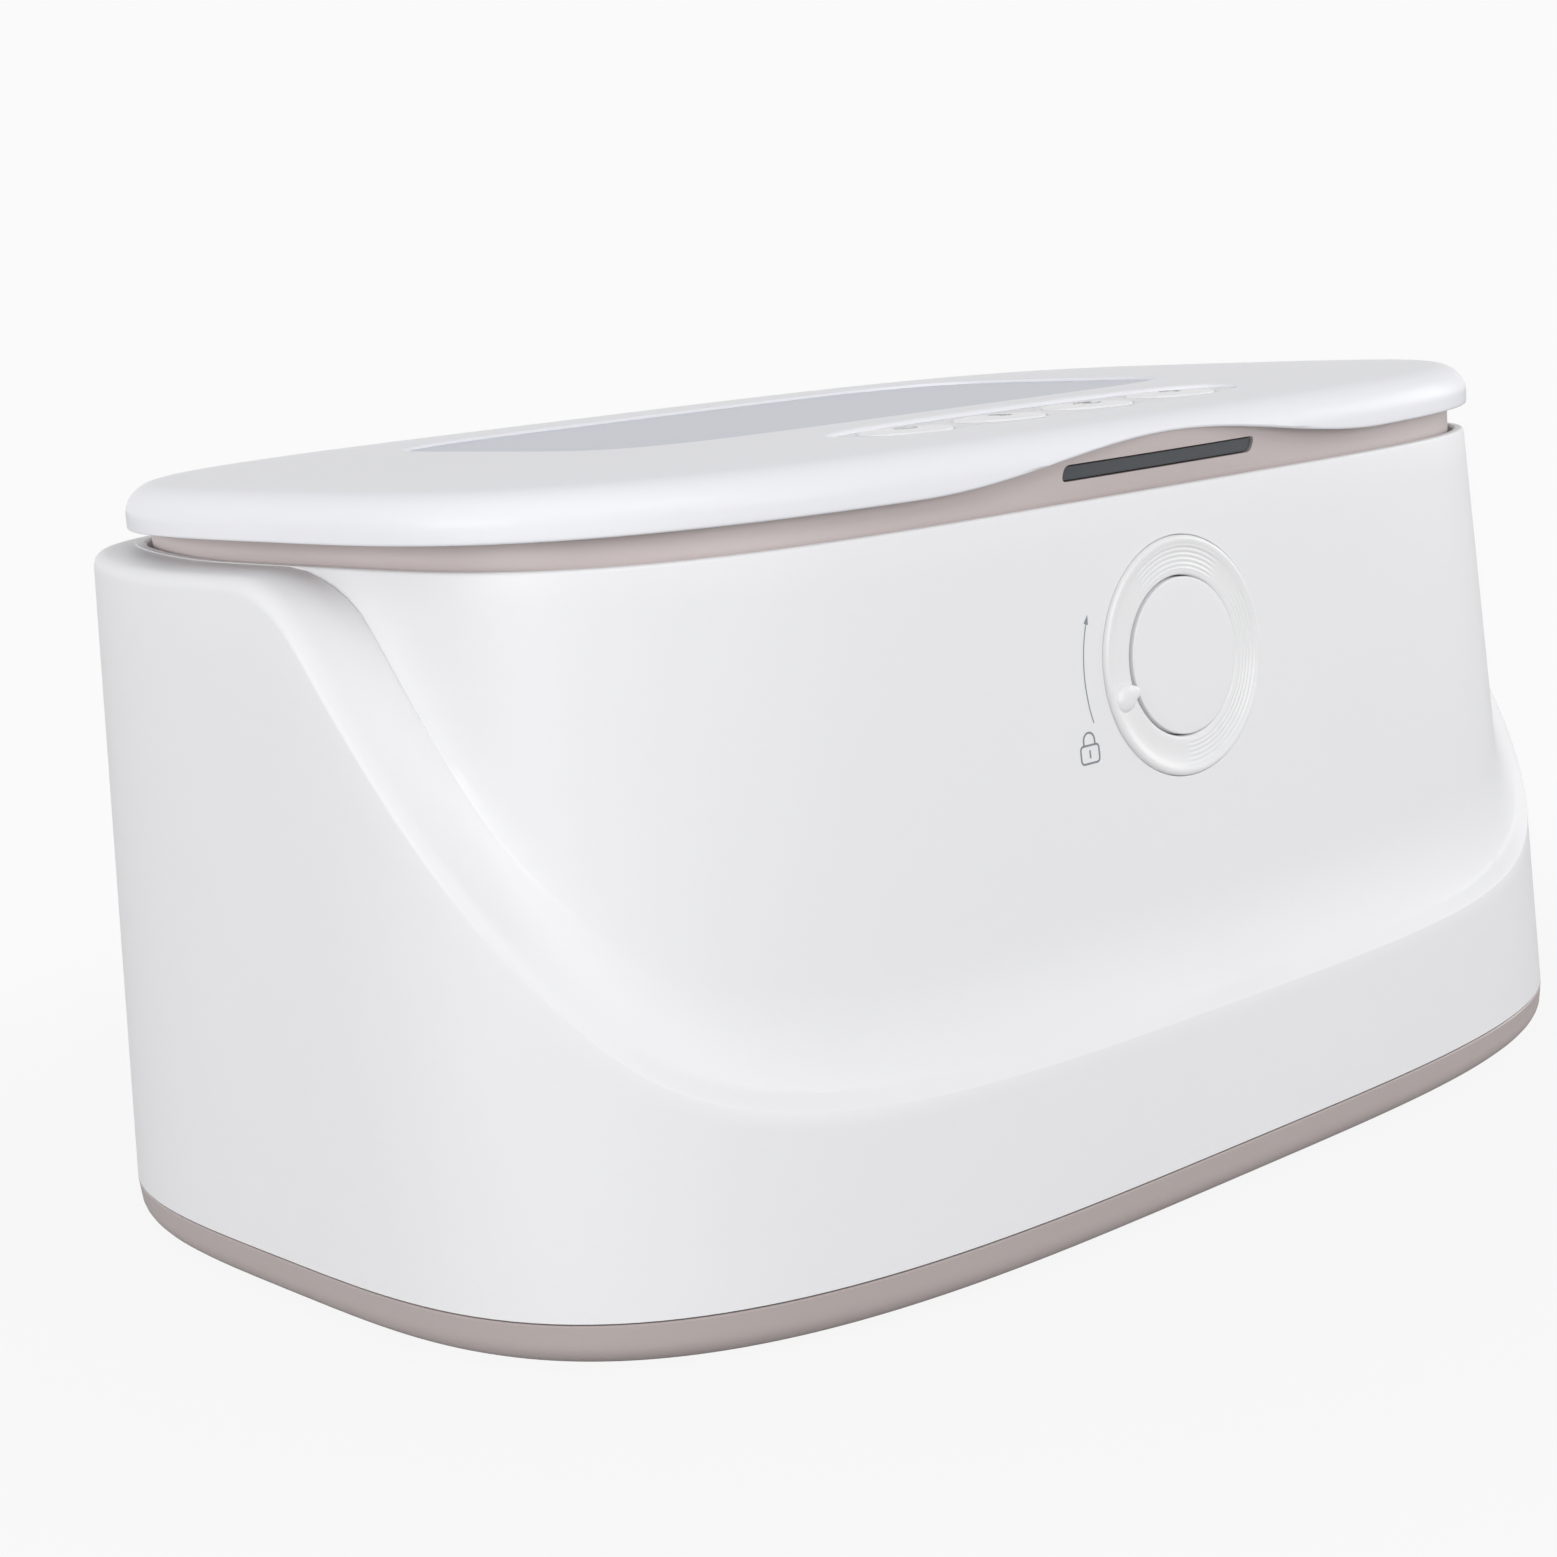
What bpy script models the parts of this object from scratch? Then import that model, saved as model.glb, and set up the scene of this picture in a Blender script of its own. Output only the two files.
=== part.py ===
"""Baby wipe warmer, built as an assembly of separate parts.

Metres, +Z up. The front, with the round button, faces -Y. The origin is on the
surface that the warmer stands on, under the middle of the body.
"""
import math

import bmesh
import bpy
from mathutils import Matrix, Vector

# Overall body, measured above the underside of the base pan
BODY_WIDTH = 0.250
BODY_DEPTH = 0.170
FOOT_DROP = 0.0014
BASE_HEIGHT = 0.0068
RIM_HEIGHT = 0.1088
GAP = 0.0003
SEAM = 0.0003
OVERRUN = 0.001
EMBED = 0.0015
SCREW_GAP = 0.0003

# Outer shell: a superellipse at the base, drawn in as it rises
SHELL_POWER = 3.6
SHELL_DRAFT_SHARE = 0.042
SHELL_WALL = 0.0025

# Upper body, set back inside the shell
RIM_SETBACK_X = 0.01675
RIM_SETBACK_Y = 0.0119
RIM_POWER = 4.37
RIM_LIP = 0.0015
RIM_EDGE = 0.0005
UPPER_DRAFT_SHARE = 0.0565
UPPER_WALL = 0.0023

# Sweep of the ledge between shell and upper body, seen from the side
SWEEP_TOP_DROP = 0.0008
SWEEP_RUN = 0.0948
SWEEP_TOP_RADIUS = 0.0446
SWEEP_ANGLE = math.radians(49.2)
SWEEP_LOW_RADIUS = 0.0462
SWEEP_LOW_HEIGHT = 0.0284
COVE_RISE = 0.0126
COVE_RISE_MIN = 0.0010
COVE_RUN = 0.057
COVE_LENGTH = 0.050
COVE_BEND_SHARE = 0.45
LEDGE_EDGE = 0.0009
SHOULDER_HEIGHT = 0.0050
SHOULDER_WIDTH = 0.0070
SHOULDER_BLEND = 0.028
LEDGE_DROP = 0.0025
COLLAR_BLEND = 0.004
COLLAR_SHIFT = 0.0024
COLLAR_MARGIN = 0.0014

# Shelf inside the rim that carries the chamber's deck
SHELF_DEPTH = 0.0065
SHELF_WIDTH = 0.0026
SHELF_THICKNESS = 0.0025
SHELF_SLOPE = 0.0016

# Base pan
PAN_FLOOR = 0.0025
PAN_EDGE_RADIUS = 0.0040
PAN_FLARE = 0.0002
SPIGOT_HEIGHT = 0.0038
SPIGOT_WALL = 0.0015
SPIGOT_DRAFT = 0.0003

# Rubber feet
FOOT_RADIUS = 0.0070
FOOT_RECESS = 0.0010
FOOT_INSET_X = 0.039
FOOT_INSET_Y = 0.031

# Wipes chamber
CHAMBER_SIDE_MARGIN = 0.00825
CHAMBER_FRONT_MARGIN = 0.0211
CHAMBER_BACK_MARGIN = 0.0121
CHAMBER_POWER = 5.5
CHAMBER_DRAFT = 0.0030
CHAMBER_WALL = 0.0018
CHAMBER_CORNER = 0.0030
DECK_THICKNESS = 0.0022
DECK_EDGE = 0.0008

# Lid
LID_OVERHANG_X = 0.00665
LID_OVERHANG_Y = 0.0036
LID_POWER = 3.66
LID_LIFT = 0.0041
LID_SIDE = 0.0075
LID_EDGE_RADIUS = 0.0050
LID_CROWN = 0.0010
LID_WALL = 0.0020
LID_TOP = 0.0025
WAVE_RISE = 0.0044
WAVE_HALF_LENGTH = 0.054

# Window in the lid
WINDOW_SIDE_MARGIN = 0.0486
WINDOW_FRONT_MARGIN = 0.0478
WINDOW_BACK_MARGIN = 0.0310
WINDOW_POWER = 5.0
WINDOW_SEAT = 0.0028
WINDOW_SEAT_DEPTH = 0.0015
WINDOW_SUNK = 0.0002

# Control inlay and its keys
PANEL_END_MARGIN = 0.00595
PANEL_SIDE_MARGIN = 0.0042
PANEL_FRONT_MARGIN = 0.0152
PANEL_POWER = 2.6
PANEL_POCKET = 0.0016
PANEL_THICKNESS = 0.0010
PANEL_FLOOR = 0.0026
PANEL_BORDER = 0.0020
KEY_COUNT = 4
KEY_PITCH = 0.0205
KEY_RADIUS = 0.0073
KEY_TRAVEL = 0.0008
KEY_CAP = 0.0010
KEY_STEM_RADIUS = 0.0020
KEY_STEM = 0.0048
SWITCH_RADIUS = 0.0025
SWITCH_HEIGHT = 0.0010

# Liner under the lid
LINER_GAP = 0.0008
LINER_WALL = 0.0020
LINER_PLATE = 0.0016
LINER_DEPTH = 0.0032
LINER_TOE = 0.0006
LINER_LIP = 0.0010
LINER_FLANGE = 0.0016
LINER_REVEAL = 0.0004
FLARE = 0.0033
FLARE_RISE = 0.0034
FLARE_BACK = 0.0013
UPSTAND_DROP = 0.0005
FLANGE_TOP_SHARE = 0.55
FLANGE_THIN_SHARE = 0.2
UPSTAND_WALL = 0.0019

# Light bar in the liner
BAR_HALF_LENGTH = 0.0223
BAR_HEIGHT = 0.0023
BAR_CENTRE_RISE = 0.0043
BAR_SUNK = 0.0004
BAR_FLANGE = 0.0008
BAR_FLANGE_SIDE = 0.0022
BAR_FLANGE_HEIGHT = 0.0060
BAR_BOARD = 0.0012

# Boards
BOARD_THICKNESS = 0.0016
CONTROL_BOARD_MARGIN = 0.0005
POWER_BOARD_HALF_WIDTH = 0.0400
POWER_BOARD_DEPTH = 0.056
POWER_BOARD_INSET = 0.009
POWER_BOARD_RISE = 0.0040
BOARD_POST_RADIUS = 0.0025
BOARD_POST_INSET = 0.0045

# Gasket
GASKET_OFFSET = 0.0010
GASKET_WIDTH = 0.0022

# Screws
SCREW_RADIUS = 0.00145
SCREW_HEAD_RADIUS = 0.0028
SCREW_HEAD = 0.0016
POST_RADIUS = 0.0042
LID_POST_RADIUS = 0.0033
BASE_SCREW_INSET = 0.0100
BASE_SCREW_Y = 0.0250
BASE_SCREW_LENGTH = 0.0180
BASE_POST_HEIGHT = 0.0300
RIB_WIDTH = 0.0030
RIB_RISE = 0.0125
RIB_REACH = 0.0073
LID_SCREW_SIDE_INSET = 0.0269
LID_SCREW_FRONT_INSET = 0.0367
LID_SCREW_BACK_INSET = 0.0277
LID_SCREW_LENGTH = 0.0090
LID_SCREW_SINK = 0.0003

# Heater stack under the chamber
SPREADER_SIDE_MARGIN = 0.016
SPREADER_FRONT_MARGIN = 0.0125
SPREADER_THICKNESS = 0.0008
FILM_THICKNESS = 0.0006
PAD_THICKNESS = 0.0040
RETAINER_THICKNESS = 0.0012
RETAINER_OVERHANG = 0.0100
STACK_CORNER = 0.008
RETAINER_POST_OFFSET = 0.0048
RETAINER_POST_INSET = 0.0140
STACK_CLEAR = 0.0037
RETAINER_SCREW_LENGTH = 0.0050
FUSE_LENGTH = 0.0140
FUSE_RADIUS = 0.0018
SENSOR_LENGTH = 0.0060
SENSOR_RADIUS = 0.0014
SENSOR_X = 0.0200
POCKET_MARGIN = 0.0008

# Power inlet at the back
JACK_INSET = 0.010
JACK_RISE = 0.0161
JACK_BODY_WIDTH = 0.0110
JACK_BODY_LENGTH = 0.0120
JACK_BODY_TOP = 0.0055
JACK_NOSE_RADIUS = 0.0046
JACK_BORE_RADIUS = 0.0031
JACK_PIN_RADIUS = 0.0010
JACK_BORE_DEPTH = 0.0110
JACK_SUNK = 0.0005

# Heater lead
LEAD_RADIUS = 0.0010
LEAD_SWING = 0.010
LEAD_POINTS = 16

# Hinge at the back of the rim
HINGE_OFFSET = 0.0069
HINGE_RISE = 0.0030
HINGE_RADIUS = 0.0030
HINGE_X = 0.0400
HINGE_LUG = 0.0050
HINGE_KNUCKLE = 0.0067
HINGE_COIL = 0.0047
PIN_RADIUS = 0.00145
PIN_BORE_RADIUS = 0.00175
HINGE_ARM_DROP = 0.0012
LUG_DROP = 0.0162
LUG_FRONT_DROP = 0.0092
HINGE_WIRE_RADIUS = 0.0003
HINGE_COIL_RADIUS = 0.00235
HINGE_COIL_TURNS = 3.5

# Round button with its lock ring, placed along the axis of the front face
KNOB_CLEAR = 0.0002
RING_RADIUS = 0.0185
RING_WIDTH = 0.0061
RING_PROUD = 0.0020
RING_LIP = 0.0010
RING_CREST_SHARE = 0.84
RING_FLANGE = 0.0022
RING_FLANGE_REACH = 0.0010
RING_HOLE_GAP = 0.0003
RELIEF_STEP = 0.0001
RELIEF_DEPTH = 0.0060
RELIEF_MARGIN = 0.0008
POINTER_ANGLE = math.radians(205)
POINTER_LENGTH = 0.0026
POINTER_WIDTH = 0.0030
POINTER_REACH = 0.0003
POINTER_TIP_SHARE = 0.7
BUTTON_PROUD = 0.0004
BUTTON_STOP_GAP = 0.0004
BUTTON_TRAVEL = 0.0030
BUTTON_HUB_RADIUS = 0.0040
BUTTON_NUB_RADIUS = 0.0015
BUTTON_NUB = 0.0010
BRACKET_THICKNESS = 0.0020
BRACKET_REACH = 0.0005
BRACKET_CUP_RADIUS = 0.0088
BRACKET_CUP_WALL = 0.0016
BRACKET_CUP_DEPTH = 0.0050
BRACKET_BORE_RADIUS = 0.0044
BRACKET_EAR_OFFSET = 0.0070
BRACKET_EAR_HALF = 0.0045
EAR_STEP = 0.0001
BRACKET_BOSS_RADIUS = 0.0032
BRACKET_NOTCH_HALF = 0.0070
BRACKET_NOTCH_DROP = 0.0031
BRACKET_SCREW_LENGTH = 0.0050
SPRING_WIRE_RADIUS = 0.00055
SPRING_RADIUS = 0.0056
SPRING_TURNS = 4.0

# Latch lever behind the button
LATCH_HEAD = 0.0059
LATCH_PIN_BACK = 0.0033
LATCH_HUB_RADIUS = 0.0026
LATCH_HALF_WIDTH = 0.0060
LATCH_EAR_THICKNESS = 0.0020
LATCH_EAR_BELOW = 0.0038
LATCH_EAR_ABOVE = 0.0032
LATCH_ARM = 0.0018
LATCH_TOP_DROP = 0.0005
LATCH_NOSE = 0.0014
LATCH_NOSE_REACH = 0.0014
LATCH_TAIL_DROP = 0.0026

# Striker that hangs from the liner
STRIKER_CLEAR = 0.0003
STRIKER_BLADE = 0.0013
STRIKER_HALF_WIDTH = 0.0050
STRIKER_CATCH = 0.0017
STRIKER_CATCH_HEIGHT = 0.0022
STRIKER_STEP = 0.0002
STRIKER_BASE_HALF_WIDTH = 0.0110
STRIKER_BASE_DEPTH = 0.0090
STRIKER_BASE = 0.0015
STRIKER_SLOT = 0.0004
DECK_SLOT_HALF_WIDTH = 0.0060
DECK_SLOT_MARGIN = 0.0012

# Mesh detail
COLUMNS = 56
ROUND_STEPS = 24
SMALL_STEPS = 10
KNOB_STEPS = 40
SPRING_POINTS = 8
CURVE_SAMPLES = 4000
DIAGONAL_SHARE = math.sqrt(1 / 2)
LID_ROUND_SHARE = 1 / 4
LID_OUTER_SHARES = (0, 1 / 4, 1 / 2, 3 / 4, 1)
LID_INNER_SHARES = (1, 3 / 5, 1 / 4, 0)

# Outlines worked out from the sizes above, from the body inwards
BODY_HALF_WIDTH = BODY_WIDTH / 2
BODY_HALF_DEPTH = BODY_DEPTH / 2
RIM_HALF_WIDTH = BODY_HALF_WIDTH - RIM_SETBACK_X
RIM_HALF_DEPTH = BODY_HALF_DEPTH - RIM_SETBACK_Y
SWEEP_START_Y = SWEEP_RUN - BODY_HALF_DEPTH
COVE_START_Y = BODY_HALF_DEPTH - COVE_RUN
FOOT_X = BODY_HALF_WIDTH - FOOT_INSET_X
FOOT_Y = BODY_HALF_DEPTH - FOOT_INSET_Y
BASE_SCREW_X = BODY_HALF_WIDTH - BASE_SCREW_INSET
POWER_BOARD_BACK_Y = BODY_HALF_DEPTH - POWER_BOARD_INSET
POWER_BOARD_FRONT_Y = POWER_BOARD_BACK_Y - POWER_BOARD_DEPTH
JACK_X = POWER_BOARD_HALF_WIDTH - JACK_INSET
CHAMBER_HALF_WIDTH = RIM_HALF_WIDTH - CHAMBER_SIDE_MARGIN
CHAMBER_HALF_DEPTH = RIM_HALF_DEPTH - (CHAMBER_FRONT_MARGIN + CHAMBER_BACK_MARGIN) / 2
CHAMBER_CENTRE_Y = (CHAMBER_FRONT_MARGIN - CHAMBER_BACK_MARGIN) / 2
SPREADER_HALF_WIDTH = CHAMBER_HALF_WIDTH - SPREADER_SIDE_MARGIN
SPREADER_HALF_DEPTH = CHAMBER_HALF_DEPTH - SPREADER_FRONT_MARGIN
RETAINER_HALF_WIDTH = SPREADER_HALF_WIDTH + RETAINER_OVERHANG
RETAINER_POST_X = SPREADER_HALF_WIDTH + RETAINER_POST_OFFSET
RETAINER_POST_Y = SPREADER_HALF_DEPTH - RETAINER_POST_INSET
LID_HALF_WIDTH = RIM_HALF_WIDTH + LID_OVERHANG_X
LID_HALF_DEPTH = RIM_HALF_DEPTH + LID_OVERHANG_Y
WINDOW_HALF_WIDTH = LID_HALF_WIDTH - WINDOW_SIDE_MARGIN
WINDOW_HALF_DEPTH = LID_HALF_DEPTH - (WINDOW_FRONT_MARGIN + WINDOW_BACK_MARGIN) / 2
WINDOW_CENTRE_Y = (WINDOW_FRONT_MARGIN - WINDOW_BACK_MARGIN) / 2
PANEL_HALF_WIDTH = (KEY_COUNT - 1) / 2 * KEY_PITCH + KEY_RADIUS + PANEL_END_MARGIN
PANEL_HALF_DEPTH = KEY_RADIUS + PANEL_SIDE_MARGIN
PANEL_CENTRE_Y = PANEL_FRONT_MARGIN + PANEL_HALF_DEPTH - LID_HALF_DEPTH
CONTROL_BOARD_HALF_WIDTH = PANEL_HALF_WIDTH
CONTROL_BOARD_HALF_DEPTH = PANEL_HALF_DEPTH + CONTROL_BOARD_MARGIN
LID_SCREW_X = LID_HALF_WIDTH - LID_SCREW_SIDE_INSET
LID_SCREW_FRONT_Y = LID_SCREW_FRONT_INSET - LID_HALF_DEPTH
LID_SCREW_BACK_Y = LID_HALF_DEPTH - LID_SCREW_BACK_INSET
HINGE_Y = RIM_HALF_DEPTH + HINGE_OFFSET

# Levels worked out from the sizes above
BASE_Z = FOOT_DROP
PAN_FLOOR_Z = BASE_Z + PAN_FLOOR
SEAM_Z = BASE_Z + BASE_HEIGHT
RIM_Z = BASE_Z + RIM_HEIGHT
SHELF_Z = RIM_Z - SHELF_DEPTH
DECK_LOW_Z = SHELF_Z + GAP
DECK_Z = DECK_LOW_Z + DECK_THICKNESS
LID_EDGE_Z = RIM_Z + LID_LIFT
LID_TOP_Z = LID_EDGE_Z + LID_SIDE
CEILING_Z = LID_TOP_Z - LID_TOP
LINER_LOW_Z = RIM_Z - LINER_DEPTH
PLATE_LOW_Z = LINER_LOW_Z + LINER_LIP
PLATE_Z = PLATE_LOW_Z + LINER_PLATE
RELAY_TOP_Z = PAN_FLOOR_Z + POWER_BOARD_RISE + BOARD_THICKNESS * 3
STACK_HEIGHT = SPREADER_THICKNESS + FILM_THICKNESS + PAD_THICKNESS + RETAINER_THICKNESS + GAP * 4
CHAMBER_UNDER_Z = RELAY_TOP_Z + STACK_CLEAR + STACK_HEIGHT
CHAMBER_FLOOR_Z = CHAMBER_UNDER_Z + CHAMBER_WALL
HINGE_Z = RIM_Z + HINGE_RISE
SWEEP_TOP_Z = RIM_Z - SWEEP_TOP_DROP
SWEEP_LOW_Z = BASE_Z + SWEEP_LOW_HEIGHT
POCKET_Z = LID_TOP_Z - PANEL_POCKET
POCKET_UNDER_Z = POCKET_Z - PANEL_FLOOR
UPPER_TILT = math.atan(UPPER_DRAFT_SHARE)

# Button group worked out from the ring
RING_INNER_RADIUS = RING_RADIUS - RING_WIDTH
RING_FLANGE_RADIUS = RING_RADIUS + RING_FLANGE_REACH
BRACKET_RADIUS = RING_RADIUS + BRACKET_REACH
BRACKET_EAR_X = BRACKET_RADIUS + BRACKET_EAR_OFFSET
KNOB_Z = DECK_LOW_Z - RING_FLANGE_RADIUS - KNOB_CLEAR
KNOB_FACE_Y = -(RIM_HALF_DEPTH + RIM_LIP + UPPER_DRAFT_SHARE * (RIM_Z - KNOB_Z))
BRACKET_BACK_DEPTH = UPPER_WALL + RING_FLANGE + BRACKET_THICKNESS + GAP * 2
LATCH_PIN_DEPTH = BRACKET_BACK_DEPTH + LATCH_PIN_BACK
LATCH_TOP_RISE = DECK_LOW_Z - KNOB_Z - LATCH_TOP_DROP
LATCH_PIN_RISE = LATCH_TOP_RISE - LATCH_HEAD
LATCH_EAR_LOW = LATCH_PIN_RISE - LATCH_EAR_BELOW
LATCH_EAR_HIGH = LATCH_PIN_RISE + LATCH_EAR_ABOVE
LATCH_EAR_DEPTH = LATCH_PIN_DEPTH + LATCH_EAR_ABOVE
BRACKET_NOTCH_LOW = LATCH_PIN_RISE - BRACKET_NOTCH_DROP

# Striker placed by the latch's nose, which it passes
NOSE_DEPTH = LATCH_PIN_DEPTH + LATCH_NOSE_REACH
NOSE_UNDER = LATCH_TOP_RISE - LATCH_NOSE
NOSE_Y = KNOB_FACE_Y + LATCH_TOP_RISE * math.sin(UPPER_TILT) + NOSE_DEPTH * math.cos(UPPER_TILT)
NOSE_UNDER_Z = KNOB_Z + NOSE_UNDER * math.cos(UPPER_TILT) - NOSE_DEPTH * math.sin(UPPER_TILT)
STRIKER_Y = NOSE_Y + STRIKER_CLEAR + STRIKER_CATCH
STRIKER_TIP_Z = NOSE_UNDER_Z - STRIKER_STEP - STRIKER_CATCH_HEIGHT

COLLECTION_NAME = "baby_wipe_warmer"


def smooth(value):
    """Smooth step from 0 to 1."""
    value = min(max(value, 0), 1)
    return value * value * (3 - 2 * value)


def super_point(half_x, half_y, power, turn, centre_y=0):
    """Point of a superellipse at a turn from 0 to a full circle."""
    c = math.cos(turn)
    s = math.sin(turn)
    x = half_x * math.copysign(abs(c) ** (2 / power), c)
    y = half_y * math.copysign(abs(s) ** (2 / power), s)
    return Vector((x, y + centre_y))


def even_turns(count):
    """Turns that space the columns evenly along the shell's outline."""
    quarter = count // 4
    half_x = BODY_HALF_WIDTH
    half_y = BODY_HALF_DEPTH
    samples = [math.pi / 2 * i / CURVE_SAMPLES for i in range(CURVE_SAMPLES + 1)]
    points = [super_point(half_x, half_y, SHELL_POWER, turn) for turn in samples]
    length = [0.0]
    for before, after in zip(points, points[1:]):
        length.append(length[-1] + (after - before).length)
    first = [0.0]
    index = 0
    for step in range(1, quarter):
        wanted = length[-1] * step / quarter
        while length[index] < wanted:
            index += 1
        first.append(samples[index])
    turns = list(first)
    turns += [math.pi - turn for turn in reversed(first[1:])]
    turns.insert(quarter, math.pi / 2)
    turns += [math.pi + turn for turn in first]
    turns.append(3 * math.pi / 2)
    turns += [2 * math.pi - turn for turn in reversed(first[1:])]
    return turns


TURNS = even_turns(COLUMNS)


def clear_scene():
    """Remove the objects, meshes and curves that are already there."""
    for item in list(bpy.data.objects):
        bpy.data.objects.remove(item, do_unlink=True)


def make_collections():
    """One collection for the parts and one for the cutters."""
    scene = bpy.context.scene.collection
    parts = bpy.data.collections.new(COLLECTION_NAME)
    cutters = bpy.data.collections.new("cutters")
    scene.children.link(parts)
    scene.children.link(cutters)
    return parts, cutters


def make_material(name, colour, roughness, metallic=0.0):
    """Principled material with one colour."""
    material = bpy.data.materials.new(name)
    material.use_nodes = True
    shader = material.node_tree.nodes["Principled BSDF"]
    shader.inputs["Base Color"].default_value = (*colour, 1.0)
    shader.inputs["Roughness"].default_value = roughness
    shader.inputs["Metallic"].default_value = metallic
    material.diffuse_color = (*colour, 1.0)
    return material


def link_part(obj, material):
    """Put a finished object into the parts collection."""
    PARTS.objects.link(obj)
    obj.data.materials.clear()
    obj.data.materials.append(material)
    obj.data.shade_smooth()
    obj.data.set_sharp_from_angle(angle=math.radians(35))
    return obj


def mesh_object(name, bm):
    """New object from a bmesh, with its faces turned outwards."""
    bmesh.ops.recalc_face_normals(bm, faces=bm.faces)
    mesh = bpy.data.meshes.new(name)
    bm.to_mesh(mesh)
    bm.free()
    return bpy.data.objects.new(name, mesh)


def ring(half_x, half_y, power, z, centre_y=0):
    """Level ring of points; z is a height or a function of x and y."""
    points = []
    for turn in TURNS:
        p = super_point(half_x, half_y, power, turn, centre_y)
        height = z(p.x, p.y) if callable(z) else z
        points.append(Vector((p.x, p.y, height)))
    return points


def loft(name, rings, closed=False):
    """Skin a list of rings; the ends are capped, or joined when closed."""
    bm = bmesh.new()
    rows = [[bm.verts.new(p) for p in points] for points in rings]
    pairs = list(zip(rows, rows[1:]))
    if closed:
        pairs.append((rows[-1], rows[0]))
    for low, high in pairs:
        for i in range(len(low)):
            j = (i + 1) % len(low)
            bm.faces.new((low[i], low[j], high[j], high[i]))
    if not closed:
        bm.faces.new(list(reversed(rows[0])))
        bm.faces.new(rows[-1])
    return mesh_object(name, bm)


def box(name, low, high, bevel=0.0):
    """Box between two corners, with its upright edges rounded if asked."""
    bm = bmesh.new()
    bmesh.ops.create_cube(bm, size=1.0)
    low = Vector(low)
    high = Vector(high)
    size = high - low
    middle = (low + high) / 2
    bmesh.ops.scale(bm, vec=size, verts=bm.verts)
    bmesh.ops.translate(bm, vec=middle, verts=bm.verts)
    if bevel:
        upright = [e for e in bm.edges if abs(e.verts[0].co.z - e.verts[1].co.z) > size.z / 2]
        bmesh.ops.bevel(bm, geom=upright, offset=bevel, segments=4, profile=0.5, affect="EDGES")
    return mesh_object(name, bm)


def rod(name, start, end, radius, steps=SMALL_STEPS, end_radius=None):
    """Cylinder or cone between two points."""
    start = Vector(start)
    end = Vector(end)
    axis = end - start
    bm = bmesh.new()
    bmesh.ops.create_cone(
        bm, cap_ends=True, segments=steps, radius1=radius,
        radius2=radius if end_radius is None else end_radius, depth=axis.length)
    turn = axis.to_track_quat("Z", "Y").to_matrix().to_4x4()
    bmesh.ops.transform(bm, matrix=Matrix.Translation((start + end) / 2) @ turn, verts=bm.verts)
    return mesh_object(name, bm)


def turned(name, profile, steps, frame=None):
    """Closed profile of (radius, height) points turned round its axis with a Screw."""
    bm = bmesh.new()
    verts = [bm.verts.new((radius, 0, height)) for radius, height in profile]
    pairs = list(zip(verts, verts[1:]))
    if min(radius for radius, height in profile) > 0:
        pairs.append((verts[-1], verts[0]))
    for a, b in pairs:
        bm.edges.new((a, b))
    mesh = bpy.data.meshes.new(name)
    bm.to_mesh(mesh)
    bm.free()
    raw = bpy.data.objects.new(name + "_profile", mesh)
    bpy.context.scene.collection.objects.link(raw)
    screw = raw.modifiers.new("turn", "SCREW")
    screw.steps = steps
    screw.render_steps = steps
    screw.use_merge_vertices = True
    screw.merge_threshold = 0.00001
    bpy.context.view_layer.update()
    graph = bpy.context.evaluated_depsgraph_get()
    result = bpy.data.meshes.new_from_object(raw.evaluated_get(graph))
    bpy.data.objects.remove(raw, do_unlink=True)
    shape = bmesh.new()
    shape.from_mesh(result)
    bmesh.ops.remove_doubles(shape, verts=shape.verts, dist=0.00001)
    if frame is not None:
        bmesh.ops.transform(shape, matrix=frame, verts=shape.verts)
    return mesh_object(name, shape)


def flat_curve(name, outlines, thickness):
    """Flat outlines as a filled 2D curve, made a mesh; an outline inside another is a hole."""
    curve = bpy.data.curves.new(name, "CURVE")
    curve.dimensions = "2D"
    curve.fill_mode = "BOTH"
    curve.extrude = thickness / 2
    for outline in outlines:
        spline = curve.splines.new("POLY")
        spline.points.add(len(outline) - 1)
        spline.use_cyclic_u = True
        for slot, point in zip(spline.points, outline):
            slot.co = (point[0], point[1], 0, 1)
    return curve_to_mesh(name, curve)


def plate(name, outlines, low_z, high_z):
    """Level plate between two heights."""
    obj = flat_curve(name, outlines, high_z - low_z)
    obj.data.transform(Matrix.Translation((0, 0, (low_z + high_z) / 2)))
    return obj


def prism(name, outline, low_x, high_x, frame=None):
    """Outline of (y, z) points drawn out along X."""
    obj = flat_curve(name, [outline], high_x - low_x)
    turn = Matrix(((0, 0, 1), (1, 0, 0), (0, 1, 0))).to_4x4()
    obj.data.transform(Matrix.Translation(((low_x + high_x) / 2, 0, 0)) @ turn)
    if frame is not None:
        obj.data.transform(frame)
    return obj


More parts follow.
